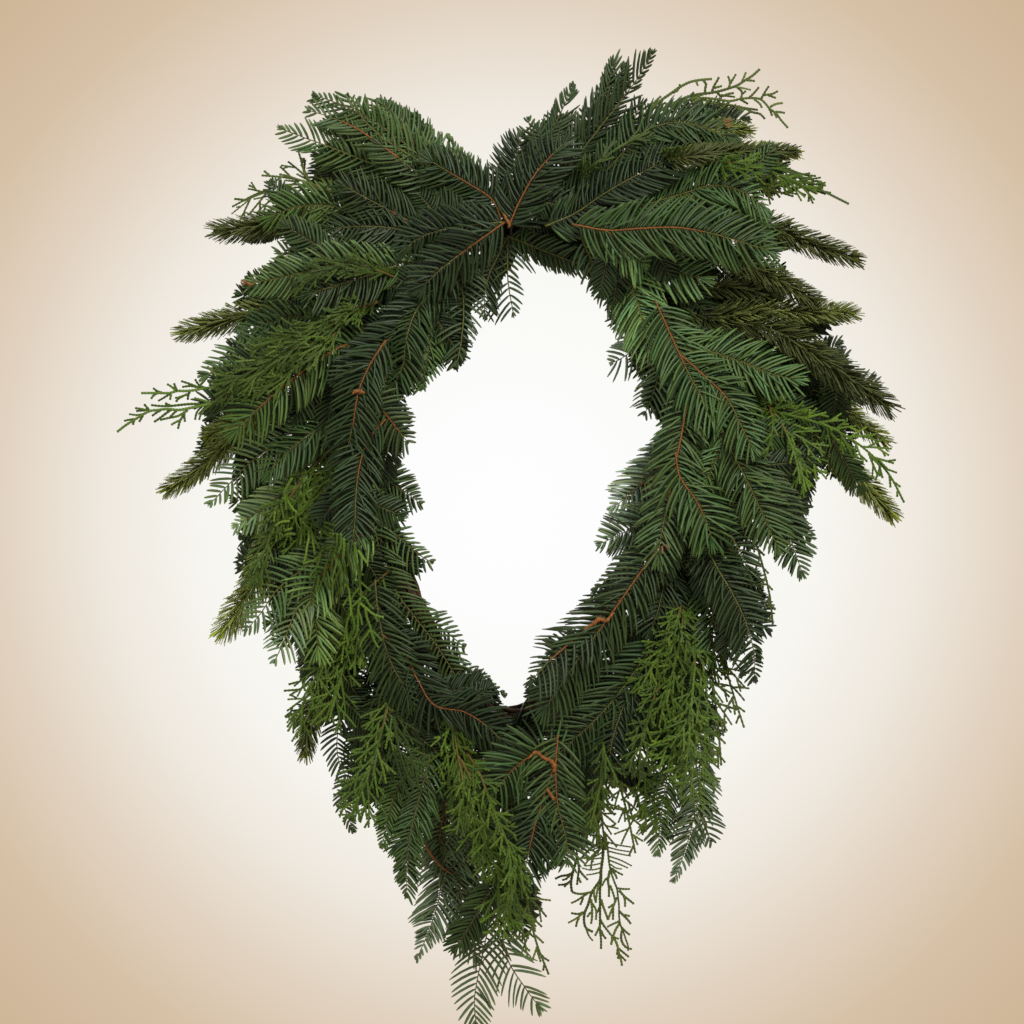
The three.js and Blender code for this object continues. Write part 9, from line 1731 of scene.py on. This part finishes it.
def twig_base():
    soup = Soup()
    rng = np.random.RandomState(77)
    m = len(ring_path)
    u = np.arange(m) / m
    # an inner layer of thicker twigs and an outer one of thin twigs that wind the other way
    layers = ((8, 8, 6.3, 2.45, 0.45), (9, -5, 9.3, 1.55, 0.45))
    for count, turns, offset, radius, drift in layers:
        for k in range(count):
            ph = 2 * math.pi * (k / count) + drift * np.sin(2 * math.pi * (3 * u + k * 0.37)) + 0.18 * np.sin(2 * math.pi * (11 * u + k * 0.61))
            ang = 2 * math.pi * turns * u + ph
            off = offset + 0.55 * np.sin(2 * math.pi * (5 * u + k * 0.21)) + 0.25 * np.sin(2 * math.pi * (17 * u + k * 0.43))
            out = r_side * np.cos(ang)[:, None] + r_front[None] * np.sin(ang)[:, None]
            path = ring_path + out * off[:, None]
            path = path + 0.22 * np.stack([np.sin(2 * math.pi * (41 * u + k)), np.cos(2 * math.pi * (37 * u + k)), np.sin(2 * math.pi * (53 * u + k))], 1)
            rad = radius * (1 + 0.16 * np.sin(2 * math.pi * (19 * u + k * 0.7)) + 0.08 * np.sin(2 * math.pi * (67 * u + k)))
            closed_tube(soup, path, rad, 8, 0, rng, lump=0.07)
            if offset > 8:
                # buds and broken side twigs, lying forward along the ring
                for q in rng.choice(m, 9, replace=False):
                    if out[q][1] > 0.35:
                        continue
                    d = unit(rt[q] * rng.uniform(0.75, 1.0) + out[q] * rng.uniform(0.15, 0.40))
                    ln = rng.uniform(6.0, 13.0)
                    t4 = np.linspace(0, 1, 5)
                    tw = path[q][None] + d[None] * (t4 * ln)[:, None] + out[q][None] * (0.12 * ln * t4 ** 2)[:, None]
                    tube(soup, tw, np.array([0.95, 0.85, 0.75, 0.62, 0.4]), rng, 0, sides=6, lump=0.12, ref=np.array([0.3, 0.2, 0.93]))
    closed_tube(soup, ring_path, 4.6, 10, 0, rng, lump=0.03)
    return soup


TWIG = bark_material("twig_bark", (70, 50, 34), (30, 21, 14), rough=0.85, scale=(420.0, 9.0))
ob = twig_base().build("twig_bundle", [TWIG])
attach(ob, "root")
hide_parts("twig_base_ring")


def metal(name, col, rough, metallic):
    mat = bpy.data.materials.new(name)
    nt, b = nodes_of(mat)
    tc = nt.nodes.new("ShaderNodeTexCoord")
    noise = nt.nodes.new("ShaderNodeTexNoise")
    noise.inputs["Scale"].default_value = 300.0
    noise.inputs["Detail"].default_value = 3.0
    nt.links.new(tc.outputs["Object"], noise.inputs["Vector"])
    c = mix_color(nt, noise.outputs[0], scaled(lin(col), 0.6), scaled(lin(col), 1.3))
    nt.links.new(c, b.inputs["Base Color"])
    nt.links.new(math_node(nt, "MULTIPLY_ADD", noise.outputs[0], 0.3, rough - 0.15), b.inputs["Roughness"])
    b.inputs["Metallic"].default_value = metallic
    return mat


WIRE_GREEN = metal("wire_lacquer", (54, 70, 48), 0.42, 0.3)
WIRE_STEEL = metal("wire_steel", (120, 120, 116), 0.42, 0.9)


def binding_wire():
    soup = Soup()
    rng = np.random.RandomState(5)
    steps = WIRE_TURNS * 28
    u = np.arange(steps) / steps
    idx = u * len(ring_path)
    i0 = np.floor(idx).astype(int) % len(ring_path)
    i1 = (i0 + 1) % len(ring_path)
    f = (idx - np.floor(idx))[:, None]
    c = ring_path[i0] * (1 - f) + ring_path[i1] * f
    sd = unit(r_side[i0] * (1 - f) + r_side[i1] * f)
    ang = 2 * math.pi * WIRE_TURNS * u
    out = sd * np.cos(ang)[:, None] + r_front[None] * np.sin(ang)[:, None]
    path = c + out * 13.0
    closed_tube(soup, path, WIRE_RADIUS, 8, 0, rng, hint=out)
    return soup


ob = binding_wire().build("florist_wire", [WIRE_GREEN])
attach(ob, "root")
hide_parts("binding_wire")


def hanger():
    soup = Soup()
    rng = np.random.RandomState(6)
    c = np.array([ring_path[0][0], RING_DEPTH_Y, ring_path[0][2]])
    a = np.arange(48) * 2 * math.pi / 48
    wrap = c[None] + HANGER_WRAP_RADIUS * np.stack([np.zeros(48), np.cos(a), np.sin(a)], 1)
    closed_tube(soup, wrap, HANGER_WIRE_RADIUS, 10, 0, rng, hint=unit(wrap - c[None]))
    e = np.array([c[0], 0.0, c[2] + HANGER_EYE_RISE])
    eye = e[None] + HANGER_EYE_RADIUS * np.stack([np.cos(a), np.zeros(48), np.sin(a)], 1)
    closed_tube(soup, eye, HANGER_WIRE_RADIUS, 10, 0, rng, hint=unit(eye - e[None]))
    # two wire ends twisted together from the wrap up to the eye
    lo = np.array([c[0], c[1] + HANGER_WRAP_RADIUS, c[2] - 1.0])
    hi = np.array([c[0], 0.0, c[2] + HANGER_EYE_RISE - HANGER_EYE_RADIUS])
    s = np.linspace(0, 1, 60)
    axis = unit(hi - lo)
    p1 = unit(np.cross(axis, np.array([1.0, 0, 0])))
    p2 = np.cross(axis, p1)
    for ph in (0.0, math.pi):
        w = 2 * math.pi * 2.5 * s + ph
        path = lo[None] + (hi - lo)[None] * s[:, None] + 0.95 * (np.cos(w)[:, None] * p1[None] + np.sin(w)[:, None] * p2[None])
        tube(soup, path, np.full(60, 0.95), rng, 0, sides=8, ref=np.array([1.0, 0.0, 0.0]))
    return soup


ob = hanger().build("wire_hanger", [WIRE_STEEL])
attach(ob, "root")
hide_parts("hanging_wire_eye")

# ------------------------------------------------------------------ stage, light, camera
floor_mat = bpy.data.materials.new("floor_paper")
nt2, b2 = nodes_of(floor_mat)
nz = nt2.nodes.new("ShaderNodeTexNoise")
nz.inputs["Scale"].default_value = 4.0
c2 = mix_color(nt2, nz.outputs[0], lin((196, 188, 178)), lin((204, 196, 186)))
nt2.links.new(c2, b2.inputs["Base Color"])
b2.inputs["Roughness"].default_value = 0.9
b2.inputs["Emission Color"].default_value = lin((232, 224, 212))
b2.inputs["Emission Strength"].default_value = 0.5
me = bpy.data.meshes.new("floor")
me.from_pydata([(-7, -7, -1.9), (7, -7, -1.9), (7, 4.5, -1.9), (-7, 4.5, -1.9)], [], [(0, 1, 2, 3)])
me.materials.append(floor_mat)
floor = bpy.data.objects.new("floor", me)
bpy.context.scene.collection.objects.link(floor)

# a studio surround with a painted pool of light, seen only by the camera: white behind the wreath, falling off to warm
# beige around it
world = bpy.data.worlds.new("studio")
bpy.context.scene.world = world
world.use_nodes = True
wt = world.node_tree
wt.nodes.clear()
wout = wt.nodes.new("ShaderNodeOutputWorld")
seen = wt.nodes.new("ShaderNodeBackground")
lit = wt.nodes.new("ShaderNodeBackground")
mixw = wt.nodes.new("ShaderNodeMixShader")
lp = wt.nodes.new("ShaderNodeLightPath")
wt.links.new(lp.outputs["Is Camera Ray"], mixw.inputs[0])
wt.links.new(lit.outputs[0], mixw.inputs[1])
wt.links.new(seen.outputs[0], mixw.inputs[2])
wt.links.new(mixw.outputs[0], wout.inputs[0])
tc = wt.nodes.new("ShaderNodeTexCoord")
sp = wt.nodes.new("ShaderNodeSeparateXYZ")
wt.links.new(tc.outputs["Generated"], sp.inputs[0])
rad = math_node(wt, "SQRT", math_node(wt, "ADD", math_node(wt, "MULTIPLY", sp.outputs[0], sp.outputs[0]), math_node(wt, "MULTIPLY", sp.outputs[2], sp.outputs[2])))
rad = math_node(wt, "DIVIDE", rad, math_node(wt, "MAXIMUM", sp.outputs[1], 0.05))
rad = math_node(wt, "DIVIDE", rad, 0.1536 * 2.0)
rad = math_node(wt, "MAXIMUM", rad, math_node(wt, "LESS_THAN", sp.outputs[1], 0.10), clamp=True)
painted_light_pool = ramp(wt, rad, [(0.0, lin((254, 254, 254))), (0.10, lin((253, 253, 253))), (0.15, lin((251, 251, 249))), (0.30, lin((247, 246, 240))),
                     (0.40, lin((239, 232, 222))), (0.50, lin((226, 211, 193))), (0.60, lin((214, 192, 166))), (0.70, lin((206, 182, 152))), (1.0, lin((222, 206, 186)))])
wt.links.new(painted_light_pool, seen.inputs[0])
seen.inputs[1].default_value = 1.0
lit.inputs[0].default_value = (1.0, 0.99, 0.97, 1.0)
lit.inputs[1].default_value = WORLD_LIGHT


def area(name, loc, target, size, power, color=(1, 1, 1)):
    li = bpy.data.lights.new(name, "AREA")
    li.shape = "RECTANGLE"
    li.size, li.size_y = size
    li.energy = power
    li.color = color
    ob = bpy.data.objects.new(name, li)
    bpy.context.scene.collection.objects.link(ob)
    ob.location = loc
    d = Vector(target) - Vector(loc)
    ob.rotation_euler = d.to_track_quat("-Z", "Y").to_euler()
    return ob


area("key", (1.1, -2.3, 1.5), (0.05, 0, -0.28), (1.0, 1.0), 136, (1.0, 0.99, 0.965))
area("fill", (-1.9, -1.9, 0.3), (0, 0, -0.3), (1.4, 1.6), 24, (0.98, 0.99, 1.0))
area("top", (0.0, -0.3, 1.7), (0, -0.05, 0), (1.4, 0.8), 16)
area("back", (-0.9, 2.5, 0.9), (0, 0, -0.3), (1.8, 1.8), 150, (1.0, 0.985, 0.96))

cam = bpy.data.cameras.new("camera")
cam.sensor_width = 36.0
cam.lens = 36.0 * 3000.0 / 921.6
cam.clip_start = 0.1
cam.clip_end = 30
co = bpy.data.objects.new("camera", cam)
bpy.context.scene.collection.objects.link(co)
co.location = (0.0009, -3.0155, -0.28665)
co.rotation_euler = (math.radians(90), 0, 0)
bpy.context.scene.camera = co

bpy.context.scene.view_settings.view_transform = "Standard"
bpy.context.scene.view_settings.look = "None"
